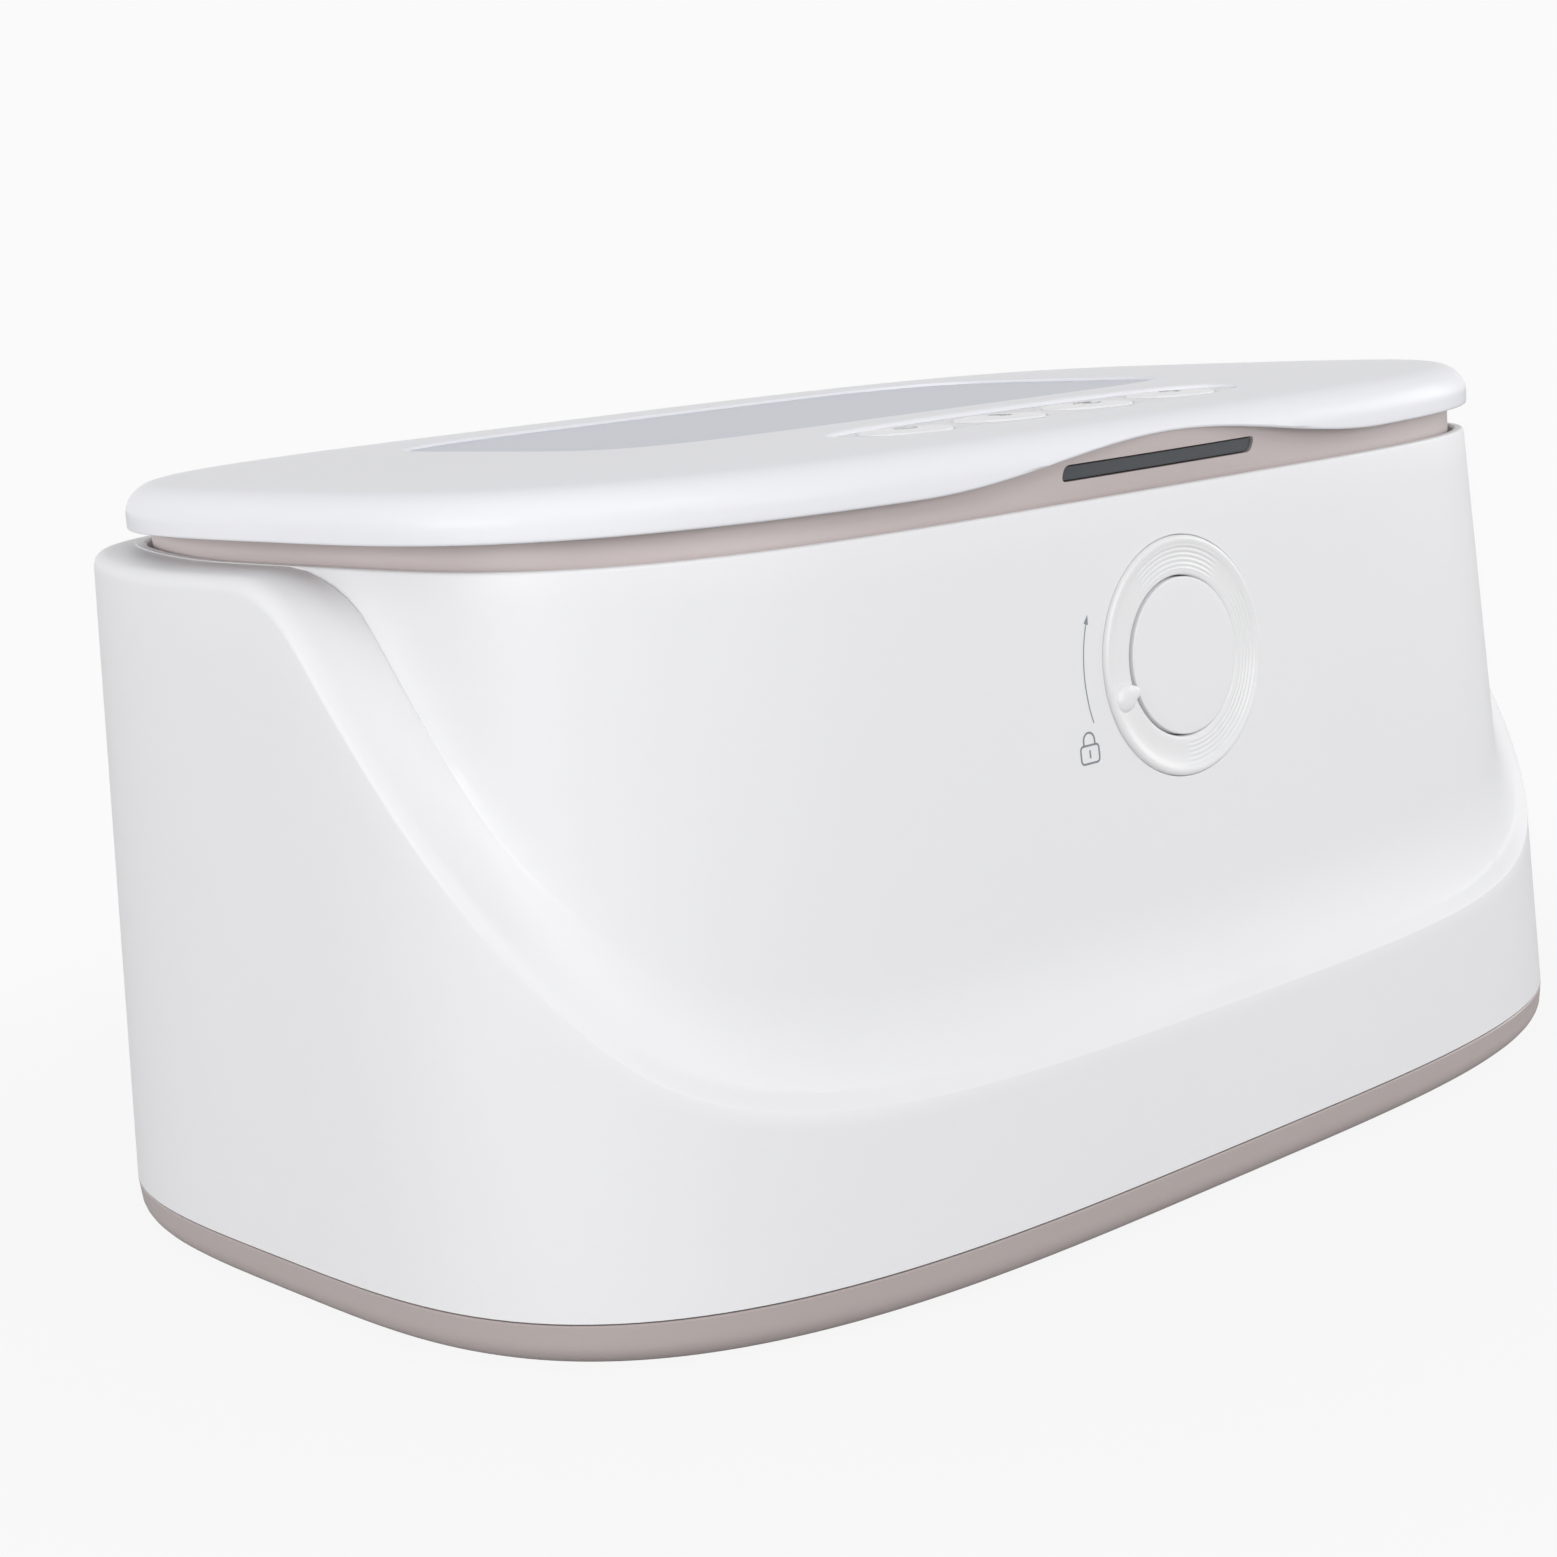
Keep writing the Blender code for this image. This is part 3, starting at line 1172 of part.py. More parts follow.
def lid_wall_point(turn, inset, share, rounded):
    """Point on the lid's side, from its waved lower edge to the top of the rounding."""
    edge = super_point(LID_HALF_WIDTH - inset, LID_HALF_DEPTH - inset, LID_POWER, turn)
    radius = LID_EDGE_RADIUS - inset
    top = LID_TOP_Z if inset == 0 else CEILING_Z
    straight = LID_TOP_Z - LID_EDGE_RADIUS
    start = LID_EDGE_Z + WAVE_RISE * wave(edge.x, edge.y)
    begin = start - straight if start < straight else 0
    first = 0
    if start > straight:
        first = math.asin(min((start - straight) / (top - straight), 1))
    if share < rounded:
        if start >= straight:
            angle = first + (math.pi / 2 - first) * share / 2
        else:
            z = start - begin * share / rounded
            return Vector((edge.x, edge.y, z))
    else:
        t = (share - rounded) / (1 - rounded)
        low = first
        if start >= straight:
            low = first + (math.pi / 2 - first) * rounded / 2
        angle = low + (math.pi / 2 - low) * t
    pull = radius * (1 - math.cos(angle))
    p = super_point(LID_HALF_WIDTH - inset - pull, LID_HALF_DEPTH - inset - pull, LID_POWER, turn)
    return Vector((p.x, p.y, straight + (top - straight) * math.sin(angle)))


def lid_wall_ring(inset, share):
    return [lid_wall_point(turn, inset, share, LID_ROUND_SHARE) for turn in TURNS]


def window_ring(inset, z):
    return ring(WINDOW_HALF_WIDTH - inset, WINDOW_HALF_DEPTH - inset, WINDOW_POWER, z, WINDOW_CENTRE_Y)


def seat_z(x, y):
    return crown_z(x, y) - WINDOW_SEAT_DEPTH


def panel_ring(inset, z):
    return ring(PANEL_HALF_WIDTH - inset, PANEL_HALF_DEPTH - inset, PANEL_POWER, z, PANEL_CENTRE_Y)


def key_places():
    start = -(KEY_COUNT - 1) / 2 * KEY_PITCH
    return [start + i * KEY_PITCH for i in range(KEY_COUNT)]


def lid_screw_places():
    return [(x * LID_SCREW_X, y) for x in (-1, 1) for y in (LID_SCREW_FRONT_Y, LID_SCREW_BACK_Y)]


def make_lid_cover():
    outer = [lid_wall_ring(0, share) for share in LID_OUTER_SHARES]
    top_inner = [window_ring(0, crown_z), window_ring(0, seat_z), window_ring(WINDOW_SEAT, seat_z)]
    under = [window_ring(WINDOW_SEAT, CEILING_Z)]
    inner = [lid_wall_ring(LID_WALL, share) for share in LID_INNER_SHARES]
    cover = loft("lid_cover", outer + top_inner + under + inner, closed=True)
    pad = plate("panel_pad", [panel_ring(-PANEL_BORDER, 0)], POCKET_UNDER_Z, CEILING_Z + EMBED / 2)
    add(cover, pad)
    for i, (x, y) in enumerate(lid_screw_places()):
        post = rod(f"lid_post_{i}", (x, y, PLATE_Z + GAP), (x, y, CEILING_Z + EMBED / 2), LID_POST_RADIUS)
        add(cover, post)
    for side_name, side in hinge_sides():
        low, high = knuckle_span(side)
        add(cover, prism(f"knuckle_{side_name}", knuckle_outline(), low, high))
    pocket = plate("panel_pocket", [panel_ring(0, 0)], POCKET_Z, LID_TOP_Z + LID_CROWN + OVERRUN)
    cut(cover, pocket)
    for i, x in enumerate(key_places()):
        hole = rod(f"key_hole_{i}", (x, PANEL_CENTRE_Y, POCKET_UNDER_Z - OVERRUN),
                   (x, PANEL_CENTRE_Y, POCKET_Z + OVERRUN),
                   KEY_STEM_RADIUS + GAP)
        cut(cover, hole)
    for i, (x, y) in enumerate(lid_screw_places()):
        cut(cover, pilot(f"lid_pilot_{i}", (x, y, PLATE_Z - OVERRUN), (0, 0, 1), LID_SCREW_LENGTH))
    for side_name, side in hinge_sides():
        low, high = knuckle_span(side)
        cut(cover, rod(f"knuckle_bore_{side_name}", (low - OVERRUN, HINGE_Y, HINGE_Z),
                       (high + OVERRUN, HINGE_Y, HINGE_Z),
                       PIN_BORE_RADIUS))
    return link_part(cover, WHITE)


def knuckle_outline():
    """Side view of the lid's knuckle: a round end and an arm into the lid's back wall."""
    points = []
    count = SMALL_STEPS - 2
    for i in range(count + 1):
        turn = -math.pi / 2 + math.pi * i / count
        points.append((HINGE_Y + HINGE_RADIUS * math.cos(turn), HINGE_Z + HINGE_RADIUS * math.sin(turn)))
    wall_y = LID_HALF_DEPTH - LID_WALL + LEDGE_EDGE / 2
    points.append((wall_y, HINGE_Z + HINGE_RADIUS))
    points.append((wall_y, LID_EDGE_Z + GAP))
    points.append((HINGE_Y - HINGE_RADIUS, HINGE_Z - HINGE_ARM_DROP))
    return points


def make_window():
    fit = GAP
    top = lambda x, y: crown_z(x, y) - WINDOW_SUNK
    seat = lambda x, y: seat_z(x, y) + GAP
    rings = [
        window_ring(WINDOW_SEAT + fit, CEILING_Z),
        window_ring(WINDOW_SEAT + fit, seat),
        window_ring(fit, seat),
        window_ring(fit, top),
    ]
    link_part(loft("view_window", rings), WINDOW)


def make_panel():
    low_z = POCKET_Z + GAP
    top_z = low_z + PANEL_THICKNESS
    panel = plate("control_panel", [panel_ring(GAP, 0)], low_z, top_z)
    for i, x in enumerate(key_places()):
        cut(panel, rod(f"panel_hole_{i}", (x, PANEL_CENTRE_Y, low_z - OVERRUN),
                       (x, PANEL_CENTRE_Y, top_z + OVERRUN),
                       KEY_RADIUS + GAP, ROUND_STEPS))
    link_part(panel, GLOSS_WHITE)
    cap_low = POCKET_Z + KEY_TRAVEL + GAP
    for i, x in enumerate(key_places(), 1):
        profile = [
            (0, cap_low + KEY_CAP), (KEY_RADIUS - KEY_CAP / 2, cap_low + KEY_CAP),
            (KEY_RADIUS, cap_low + KEY_CAP / 2), (KEY_RADIUS, cap_low),
            (KEY_STEM_RADIUS, cap_low), (KEY_STEM_RADIUS, cap_low - KEY_STEM),
            (0, cap_low - KEY_STEM),
        ]
        place = Matrix.Translation((x, PANEL_CENTRE_Y, 0))
        link_part(turned(f"panel_button_{i}", profile, ROUND_STEPS, place), GLOSS_WHITE)


def control_board_top_z():
    return POCKET_Z + KEY_TRAVEL + GAP - KEY_STEM - KEY_TRAVEL - GAP - SWITCH_HEIGHT


def make_control_board():
    top_z = control_board_top_z()
    low_z = top_z - BOARD_THICKNESS
    board = box("control_board", (-CONTROL_BOARD_HALF_WIDTH, PANEL_CENTRE_Y - CONTROL_BOARD_HALF_DEPTH,
                                  low_z),
                (CONTROL_BOARD_HALF_WIDTH, PANEL_CENTRE_Y + CONTROL_BOARD_HALF_DEPTH, top_z))
    for i, x in enumerate(key_places()):
        add(board, rod(f"switch_{i}", (x, PANEL_CENTRE_Y, top_z - BOARD_THICKNESS / 2),
                       (x, PANEL_CENTRE_Y, top_z + SWITCH_HEIGHT),
                       SWITCH_RADIUS))
    link_part(board, BOARD)


def liner_front(turn, low_inset, z, flare_share, rise_share, back=0):
    """Point of the liner's skirt; the middle of the front leans out and up."""
    p = super_point(RIM_HALF_WIDTH - low_inset, RIM_HALF_DEPTH - low_inset, RIM_POWER, turn)
    swell = wave(p.x, p.y)
    return Vector((p.x, p.y - FLARE * swell * flare_share + back * swell,
                   z + FLARE_RISE * swell * rise_share))


def liner_rings():
    skirt = LINER_GAP
    inner = LINER_GAP + LINER_WALL
    flange_z = LID_EDGE_Z + LINER_REVEAL
    flange_inset = LID_WALL + GAP
    top_front = LID_HALF_DEPTH - flange_inset

    def flange(z):
        points = []
        for turn in TURNS:
            p = super_point(LID_HALF_WIDTH - flange_inset, top_front, LID_POWER, turn)
            swell = wave(p.x, p.y)
            points.append(Vector((p.x, p.y + FLARE_BACK * swell, z + FLARE_RISE * swell)))
        return points

    return [
        [liner_front(turn, skirt + LINER_TOE, LINER_LOW_Z, 0, 0) for turn in TURNS],
        [liner_front(turn, skirt, LINER_LOW_Z + LINER_TOE, 0, 0) for turn in TURNS],
        [liner_front(turn, skirt, RIM_Z + RIM_EDGE, 0, 0) for turn in TURNS],
        [liner_front(turn, skirt, flange_z, 1, 1) for turn in TURNS],
        flange(flange_z),
        flange_top(flange(flange_z)),
        [liner_front(turn, inner, flange_z + LINER_FLANGE, 0, FLANGE_TOP_SHARE,
                     -FLARE_BACK) for turn in TURNS],
        [liner_front(turn, inner, PLATE_Z, 0, 0) for turn in TURNS],
        window_ring(WINDOW_SEAT + GAP - UPSTAND_WALL, PLATE_Z),
        window_ring(WINDOW_SEAT + GAP - UPSTAND_WALL, CEILING_Z - UPSTAND_DROP),
        window_ring(WINDOW_SEAT + GAP, CEILING_Z - UPSTAND_DROP),
        window_ring(WINDOW_SEAT + GAP, PLATE_LOW_Z),
        [liner_front(turn, inner, PLATE_LOW_Z, 0, 0) for turn in TURNS],
        [liner_front(turn, inner, LINER_LOW_Z, 0, 0) for turn in TURNS],
    ]


def flange_top(points):
    """Upper edge of the flange, thinner where the front leans up."""
    raised = []
    for p in points:
        thin = 1 - (1 - FLANGE_THIN_SHARE) * wave(p.x, p.y)
        raised.append(Vector((p.x, p.y, p.z + LINER_FLANGE * thin)))
    return raised


def bar_z():
    return RIM_Z + BAR_CENTRE_RISE


def skirt_front_y(z):
    """Depth of the skirt's outer face at the middle of the front."""
    low_z = RIM_Z + RIM_EDGE
    high_z = LID_EDGE_Z + LINER_REVEAL + FLARE_RISE
    lean = FLARE * (z - low_z) / (high_z - low_z)
    return -(RIM_HALF_DEPTH - LINER_GAP) - lean


def make_liner():
    liner = loft("lid_liner", liner_rings(), closed=True)
    half = BAR_HALF_LENGTH + GAP
    rise = BAR_HEIGHT / 2 + GAP
    window = box("bar_slot", (-half, skirt_front_y(bar_z()) - FLARE, bar_z() - rise),
                 (half, -(RIM_HALF_DEPTH - LINER_GAP - LINER_WALL) + OVERRUN, bar_z() + rise))
    cut(liner, window)
    slot = box("striker_slot", (-STRIKER_HALF_WIDTH - STRIKER_SLOT,
                                STRIKER_Y - STRIKER_CATCH - STRIKER_SLOT, PLATE_LOW_Z - OVERRUN),
               (STRIKER_HALF_WIDTH + STRIKER_SLOT, STRIKER_Y + STRIKER_BLADE + STRIKER_SLOT,
                PLATE_Z + OVERRUN))
    cut(liner, slot)
    for i, (x, y) in enumerate(lid_screw_places()):
        cut(liner, pilot(f"liner_hole_{i}", (x, y, PLATE_LOW_Z - OVERRUN), (0, 0, 1),
                         LINER_PLATE + OVERRUN * 2))
    board_low = control_board_top_z() - BOARD_THICKNESS
    for i, (x, y) in enumerate(control_board_posts()):
        add(liner, rod(f"control_post_{i}", (x, y, PLATE_Z - EMBED / 2), (x, y, board_low - GAP),
                       BOARD_POST_RADIUS))
    return link_part(liner, TAUPE)


def control_board_posts():
    x = CONTROL_BOARD_HALF_WIDTH - BOARD_POST_INSET
    low = PANEL_CENTRE_Y - CONTROL_BOARD_HALF_DEPTH + BOARD_POST_INSET / 2
    high = PANEL_CENTRE_Y + CONTROL_BOARD_HALF_DEPTH - BOARD_POST_INSET / 2
    return [(a, b) for a in (-x, x) for b in (low, high)]


def make_light_bar():
    z = bar_z()
    face_y = skirt_front_y(z) + BAR_SUNK + BAR_HEIGHT / 4
    wall_back = -(RIM_HALF_DEPTH - LINER_GAP - LINER_WALL) + GAP
    lens = box("light_bar_lens", (-BAR_HALF_LENGTH, face_y, z - BAR_HEIGHT / 2),
               (BAR_HALF_LENGTH, wall_back + BAR_FLANGE, z + BAR_HEIGHT / 2))
    flange = box("bar_flange", (-BAR_HALF_LENGTH - BAR_FLANGE_SIDE, wall_back, z - BAR_FLANGE_HEIGHT / 2),
                 (BAR_HALF_LENGTH + BAR_FLANGE_SIDE, wall_back + BAR_FLANGE, z + BAR_FLANGE_HEIGHT / 2))
    add(lens, flange)
    link_part(lens, SMOKE)
    board_y = wall_back + BAR_FLANGE + GAP
    board = box("light_bar_board", (-BAR_HALF_LENGTH - BAR_FLANGE_SIDE, board_y, PLATE_Z + GAP),
                (BAR_HALF_LENGTH + BAR_FLANGE_SIDE, board_y + BAR_BOARD, z + BAR_FLANGE_HEIGHT / 2))
    link_part(board, BOARD)


def make_gasket():
    low = DECK_Z + GAP
    high = PLATE_LOW_Z - GAP
    near = GASKET_OFFSET
    far = GASKET_OFFSET + GASKET_WIDTH
    link_part(plate("lid_gasket", [chamber_ring(-far, 0), chamber_ring(-near, 0)], low, high), SILICONE)


def make_striker():
    base_low = PLATE_Z + GAP
    blade_back = STRIKER_Y + STRIKER_BLADE
    tip_z = STRIKER_TIP_Z
    base_front = STRIKER_Y - STRIKER_CATCH - STRIKER_SLOT * 2
    base = box("lid_striker", (-STRIKER_BASE_HALF_WIDTH, base_front, base_low),
               (STRIKER_BASE_HALF_WIDTH, base_front + STRIKER_BASE_DEPTH, base_low + STRIKER_BASE))
    add(base, box("striker_blade", (-STRIKER_HALF_WIDTH, STRIKER_Y, tip_z),
                  (STRIKER_HALF_WIDTH, blade_back, base_low + STRIKER_BASE / 2)))
    add(base, box("striker_catch", (-STRIKER_HALF_WIDTH, STRIKER_Y - STRIKER_CATCH, tip_z),
                  (STRIKER_HALF_WIDTH, STRIKER_Y + STRIKER_BLADE / 2, tip_z + STRIKER_CATCH_HEIGHT)))
    link_part(base, CHAMBER_WHITE)


def make_lid_screws():
    for i, (x, y) in enumerate(lid_screw_places(), 1):
        screw(f"lid_screw_{i}", (x, y, PLATE_LOW_Z - LID_SCREW_SINK), (0, 0, 1),
              LID_SCREW_LENGTH - SCREW_GAP, STEEL)


# Hinge pins and springs

def make_hinges():
    for side_name, side in hinge_sides():
        spans = lug_span(side, True) + lug_span(side, False)
        pin = rod(f"hinge_pin_{side_name}", (min(spans) + GAP, HINGE_Y, HINGE_Z),
                  (max(spans) - GAP, HINGE_Y, HINGE_Z), PIN_RADIUS)
        link_part(pin, STEEL)
        knuckle = knuckle_span(side)
        near = max(abs(knuckle[0]), abs(knuckle[1])) + GAP + HINGE_WIRE_RADIUS
        far_span = lug_span(side, False)
        far = min(abs(far_span[0]), abs(far_span[1])) - GAP - HINGE_WIRE_RADIUS
        spring = coil(f"hinge_spring_{side_name}", (side * near, HINGE_Y, HINGE_Z), (side, 0, 0), (0, 0, 1),
                      far - near, HINGE_COIL_RADIUS, HINGE_WIRE_RADIUS, HINGE_COIL_TURNS)
        link_part(spring, STEEL)


# Button group on the front face

def bracket_front():
    """Depth of the bracket's front face below the housing's outer face."""
    return BRACKET_BACK_DEPTH - BRACKET_THICKNESS


def button_under_depth():
    """Depth of the button disc's underside; pressed, it stops short of the bracket."""
    return bracket_front() - BUTTON_TRAVEL - BUTTON_STOP_GAP


def make_ring():
    flange_top_depth = UPPER_WALL + GAP
    flange_low_depth = flange_top_depth + RING_FLANGE
    crest = RING_RADIUS * RING_CREST_SHARE
    profile = [
        (RING_INNER_RADIUS, RING_LIP), (crest - RING_LIP, RING_PROUD - RING_LIP / 2),
        (crest + RING_LIP, RING_PROUD),
        (RING_RADIUS, RING_PROUD - RING_LIP), (RING_RADIUS, -flange_top_depth),
        (RING_FLANGE_RADIUS, -flange_top_depth), (RING_FLANGE_RADIUS, -flange_low_depth),
        (RING_INNER_RADIUS, -flange_low_depth),
    ]
    body = turned("lock_ring", profile, KNOB_STEPS, KNOB)
    direction = Vector((math.cos(POINTER_ANGLE), math.sin(POINTER_ANGLE)))
    inner = direction * (RING_INNER_RADIUS - POINTER_REACH)
    outer = direction * (RING_INNER_RADIUS + POINTER_LENGTH - POINTER_REACH)
    pointer = rod("ring_pointer", at_knob(inner.x, inner.y, -RING_PROUD),
                  at_knob(outer.x, outer.y, -RING_PROUD),
                  POINTER_WIDTH / 2 * POINTER_TIP_SHARE, SMALL_STEPS, POINTER_WIDTH / 2)
    shave = rod("pointer_shave", at_knob(0, 0, -BUTTON_PROUD - GAP), at_knob(0, 0, bracket_front()),
                RING_INNER_RADIUS, KNOB_STEPS)
    add(body, pointer)
    cut(body, shave)
    link_part(body, GLOSS_WHITE)


def make_button():
    face = BUTTON_PROUD
    disc_low = button_under_depth()
    hub_end = hub_depth()
    radius = RING_INNER_RADIUS - GAP
    profile = [
        (0, face), (radius - BUTTON_PROUD, face), (radius, face - BUTTON_PROUD), (radius, -disc_low),
        (BUTTON_HUB_RADIUS, -disc_low), (BUTTON_HUB_RADIUS, -hub_end), (BUTTON_NUB_RADIUS, -hub_end),
        (BUTTON_NUB_RADIUS, -hub_end - BUTTON_NUB), (0, -hub_end - BUTTON_NUB),
    ]
    link_part(turned("push_button", profile, KNOB_STEPS, KNOB), WHITE)


def cup_end_depth():
    return bracket_front() + BRACKET_THICKNESS + BRACKET_CUP_DEPTH


def hub_depth():
    return cup_end_depth() + BUTTON_NUB


def make_bracket():
    front = -bracket_front()
    back = front - BRACKET_THICKNESS
    cup_end = -cup_end_depth()
    cup_inner = BRACKET_CUP_RADIUS - BRACKET_CUP_WALL
    profile = [
        (cup_inner, front), (BRACKET_RADIUS, front), (BRACKET_RADIUS, back), (BRACKET_CUP_RADIUS, back),
        (BRACKET_CUP_RADIUS, cup_end), (BRACKET_BORE_RADIUS, cup_end),
        (BRACKET_BORE_RADIUS, cup_end + BRACKET_THICKNESS), (cup_inner, cup_end + BRACKET_THICKNESS),
    ]
    bracket = turned("button_bracket", profile, ROUND_STEPS, KNOB)
    reach = BRACKET_EAR_X + BRACKET_EAR_HALF
    for side in (-1, 1):
        ends = sorted((side * (BRACKET_RADIUS - EMBED), side * reach))
        ear = box(f"bracket_ear_{side}", (ends[0], -BRACKET_EAR_HALF, back + EAR_STEP),
                  (ends[1], BRACKET_EAR_HALF, front - EAR_STEP))
        ear.data.transform(KNOB)
        add(bracket, ear)
    notch = box("bracket_notch", (-BRACKET_NOTCH_HALF, BRACKET_NOTCH_LOW, back - OVERRUN),
                (BRACKET_NOTCH_HALF, BRACKET_RADIUS + OVERRUN, front + OVERRUN))
    notch.data.transform(KNOB)
    cut(bracket, notch)
    for side in (-1, 1):
        ends = sorted((side * (BRACKET_NOTCH_HALF + GAP),
                       side * (BRACKET_NOTCH_HALF + GAP + LATCH_EAR_THICKNESS)))
        arm = box(f"latch_ear_{side}", (ends[0], LATCH_EAR_LOW, -LATCH_EAR_DEPTH),
                  (ends[1], LATCH_EAR_HIGH, back + EMBED / 2))
        arm.data.transform(KNOB)
        add(bracket, arm)
    bore_half = BRACKET_NOTCH_HALF + LATCH_EAR_THICKNESS + OVERRUN
    cut(bracket, rod("latch_bore", at_knob(-bore_half, LATCH_PIN_RISE, LATCH_PIN_DEPTH),
                     at_knob(bore_half, LATCH_PIN_RISE, LATCH_PIN_DEPTH), PIN_BORE_RADIUS))
    for side in (-1, 1):
        x = side * BRACKET_EAR_X
        start = at_knob(x, 0, bracket_front() + BRACKET_THICKNESS + OVERRUN)
        inwards = at_knob(x, 0, 0) - start
        cut(bracket, pilot(f"ear_hole_{side}", start, inwards, BRACKET_THICKNESS + OVERRUN * 2))
        index = 1 if side < 0 else 2
        seat = at_knob(x, 0, bracket_front() + BRACKET_THICKNESS + GAP)
        screw(f"bracket_screw_{index}", seat, inwards, BRACKET_SCREW_LENGTH, STEEL)
    link_part(bracket, CHAMBER_WHITE)


def make_button_spring():
    start_depth = button_under_depth() + GAP + SPRING_WIRE_RADIUS
    end_depth = cup_end_depth() - BRACKET_THICKNESS - GAP - SPRING_WIRE_RADIUS
    inwards = at_knob(0, 0, 1) - at_knob(0, 0, 0)
    spring = coil("button_spring", at_knob(0, 0, start_depth), inwards, (1, 0, 0), end_depth - start_depth,
                  SPRING_RADIUS, SPRING_WIRE_RADIUS, SPRING_TURNS)
    link_part(spring, STEEL)


def make_latch():
    depth = LATCH_PIN_DEPTH
    rise = LATCH_PIN_RISE
    hub = LATCH_HUB_RADIUS
    arm = LATCH_ARM
    tail = hub_depth() + BUTTON_NUB + GAP
    top = LATCH_TOP_RISE
    outline = [
        (depth - hub, rise), (depth - hub * DIAGONAL_SHARE, rise - hub * DIAGONAL_SHARE),
        (depth, rise - hub),
        (tail, rise - hub), (tail, -LATCH_TAIL_DROP), (tail + arm, -LATCH_TAIL_DROP),
        (tail + arm, rise - hub + arm), (depth + hub, rise + hub / 2), (depth, rise + hub),
        (depth - LATCH_NOSE_REACH / 2, rise + hub + LATCH_NOSE / 2),
        (depth - LATCH_NOSE_REACH / 2, top - LATCH_NOSE),
        (depth + LATCH_NOSE_REACH, top - LATCH_NOSE), (depth + LATCH_NOSE_REACH, top), (depth - hub, top),
    ]
    points = [(up, -deep) for deep, up in outline]
    lever = prism("latch_lever", points, -LATCH_HALF_WIDTH, LATCH_HALF_WIDTH, KNOB)
    bore_half = LATCH_HALF_WIDTH + OVERRUN
    cut(lever, rod("lever_bore", at_knob(-bore_half, rise, depth), at_knob(bore_half, rise, depth),
                   PIN_BORE_RADIUS))
    link_part(lever, CHAMBER_WHITE)
    pin_half = BRACKET_NOTCH_HALF + LATCH_EAR_THICKNESS
    link_part(rod("latch_pin", at_knob(-pin_half, rise, depth), at_knob(pin_half, rise, depth),
                  PIN_RADIUS), STEEL)


def set_joint_origins():
    """Put each moving piece's origin on its joint's axis."""
    places = {
        "lid_cover": Vector((0, HINGE_Y, HINGE_Z)),
        "lock_ring": at_knob(0, 0, 0),
        "push_button": at_knob(0, 0, 0),
        "latch_lever": at_knob(0, LATCH_PIN_RISE, LATCH_PIN_DEPTH),
    }
    for name in ("lid_liner", "view_window", "control_panel", "control_board", "light_bar_lens",
                 "light_bar_board",
                 "lid_gasket", "lid_striker"):
        places[name] = places["lid_cover"]
    for i, x in enumerate(key_places(), 1):
        places[f"panel_button_{i}"] = Vector((x, PANEL_CENTRE_Y, POCKET_Z))
    for name, place in places.items():
        obj = bpy.data.objects[name]
        obj.data.transform(Matrix.Translation(-place))
        obj.location = place


clear_scene()
PARTS, CUTTERS = make_collections()

WHITE = make_material("white_plastic", (0.83, 0.83, 0.85), 0.35)
GLOSS_WHITE = make_material("gloss_white_plastic", (0.85, 0.85, 0.87), 0.20)
CHAMBER_WHITE = make_material("chamber_plastic", (0.78, 0.78, 0.78), 0.45)
TAUPE = make_material("taupe_plastic", (0.47, 0.40, 0.38), 0.30)
WINDOW = make_material("window_plastic", (0.62, 0.64, 0.70), 0.15)
SMOKE = make_material("smoked_lens", (0.06, 0.065, 0.075), 0.15)
SILICONE = make_material("silicone", (0.70, 0.70, 0.70), 0.60)
RUBBER = make_material("rubber", (0.10, 0.10, 0.10), 0.80)
BLACK = make_material("black_plastic", (0.03, 0.03, 0.03), 0.40)
STEEL = make_material("steel", (0.55, 0.55, 0.56), 0.30, 1.0)
ALUMINIUM = make_material("aluminium", (0.80, 0.80, 0.81), 0.35, 1.0)
FILM = make_material("heating_film", (0.55, 0.25, 0.05), 0.35)
FOAM = make_material("insulation_foam", (0.30, 0.30, 0.32), 0.90)
BOARD = make_material("circuit_board", (0.02, 0.22, 0.09), 0.50)

make_housing()
make_base_pan()
make_feet_and_base_screws()
make_chamber()
make_heater()
make_power_parts()
make_lid_cover()
make_window()
make_panel()
make_control_board()
make_liner()
make_light_bar()
make_gasket()
make_striker()
make_lid_screws()
make_hinges()
make_ring()
make_button()
make_bracket()
make_button_spring()
make_latch()
set_joint_origins()
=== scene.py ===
import math

import bmesh
import bpy
from mathutils import Matrix, Vector


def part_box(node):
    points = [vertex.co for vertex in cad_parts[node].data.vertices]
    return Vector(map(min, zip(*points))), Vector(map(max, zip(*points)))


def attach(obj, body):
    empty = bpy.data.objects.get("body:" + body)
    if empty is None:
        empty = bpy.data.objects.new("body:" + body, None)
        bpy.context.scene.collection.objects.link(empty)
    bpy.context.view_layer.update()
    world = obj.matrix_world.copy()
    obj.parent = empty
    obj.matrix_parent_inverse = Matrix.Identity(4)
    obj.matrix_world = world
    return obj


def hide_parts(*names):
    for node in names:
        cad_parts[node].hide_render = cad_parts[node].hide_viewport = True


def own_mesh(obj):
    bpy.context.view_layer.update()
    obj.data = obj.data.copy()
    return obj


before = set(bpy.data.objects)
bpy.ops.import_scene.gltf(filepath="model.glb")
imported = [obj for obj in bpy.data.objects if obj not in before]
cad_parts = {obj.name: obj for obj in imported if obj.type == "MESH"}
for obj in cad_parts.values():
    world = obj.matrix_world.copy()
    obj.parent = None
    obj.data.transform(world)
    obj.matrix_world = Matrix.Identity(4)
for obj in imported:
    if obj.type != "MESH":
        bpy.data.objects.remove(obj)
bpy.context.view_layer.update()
print("frame loaded with", len(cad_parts), "pieces")

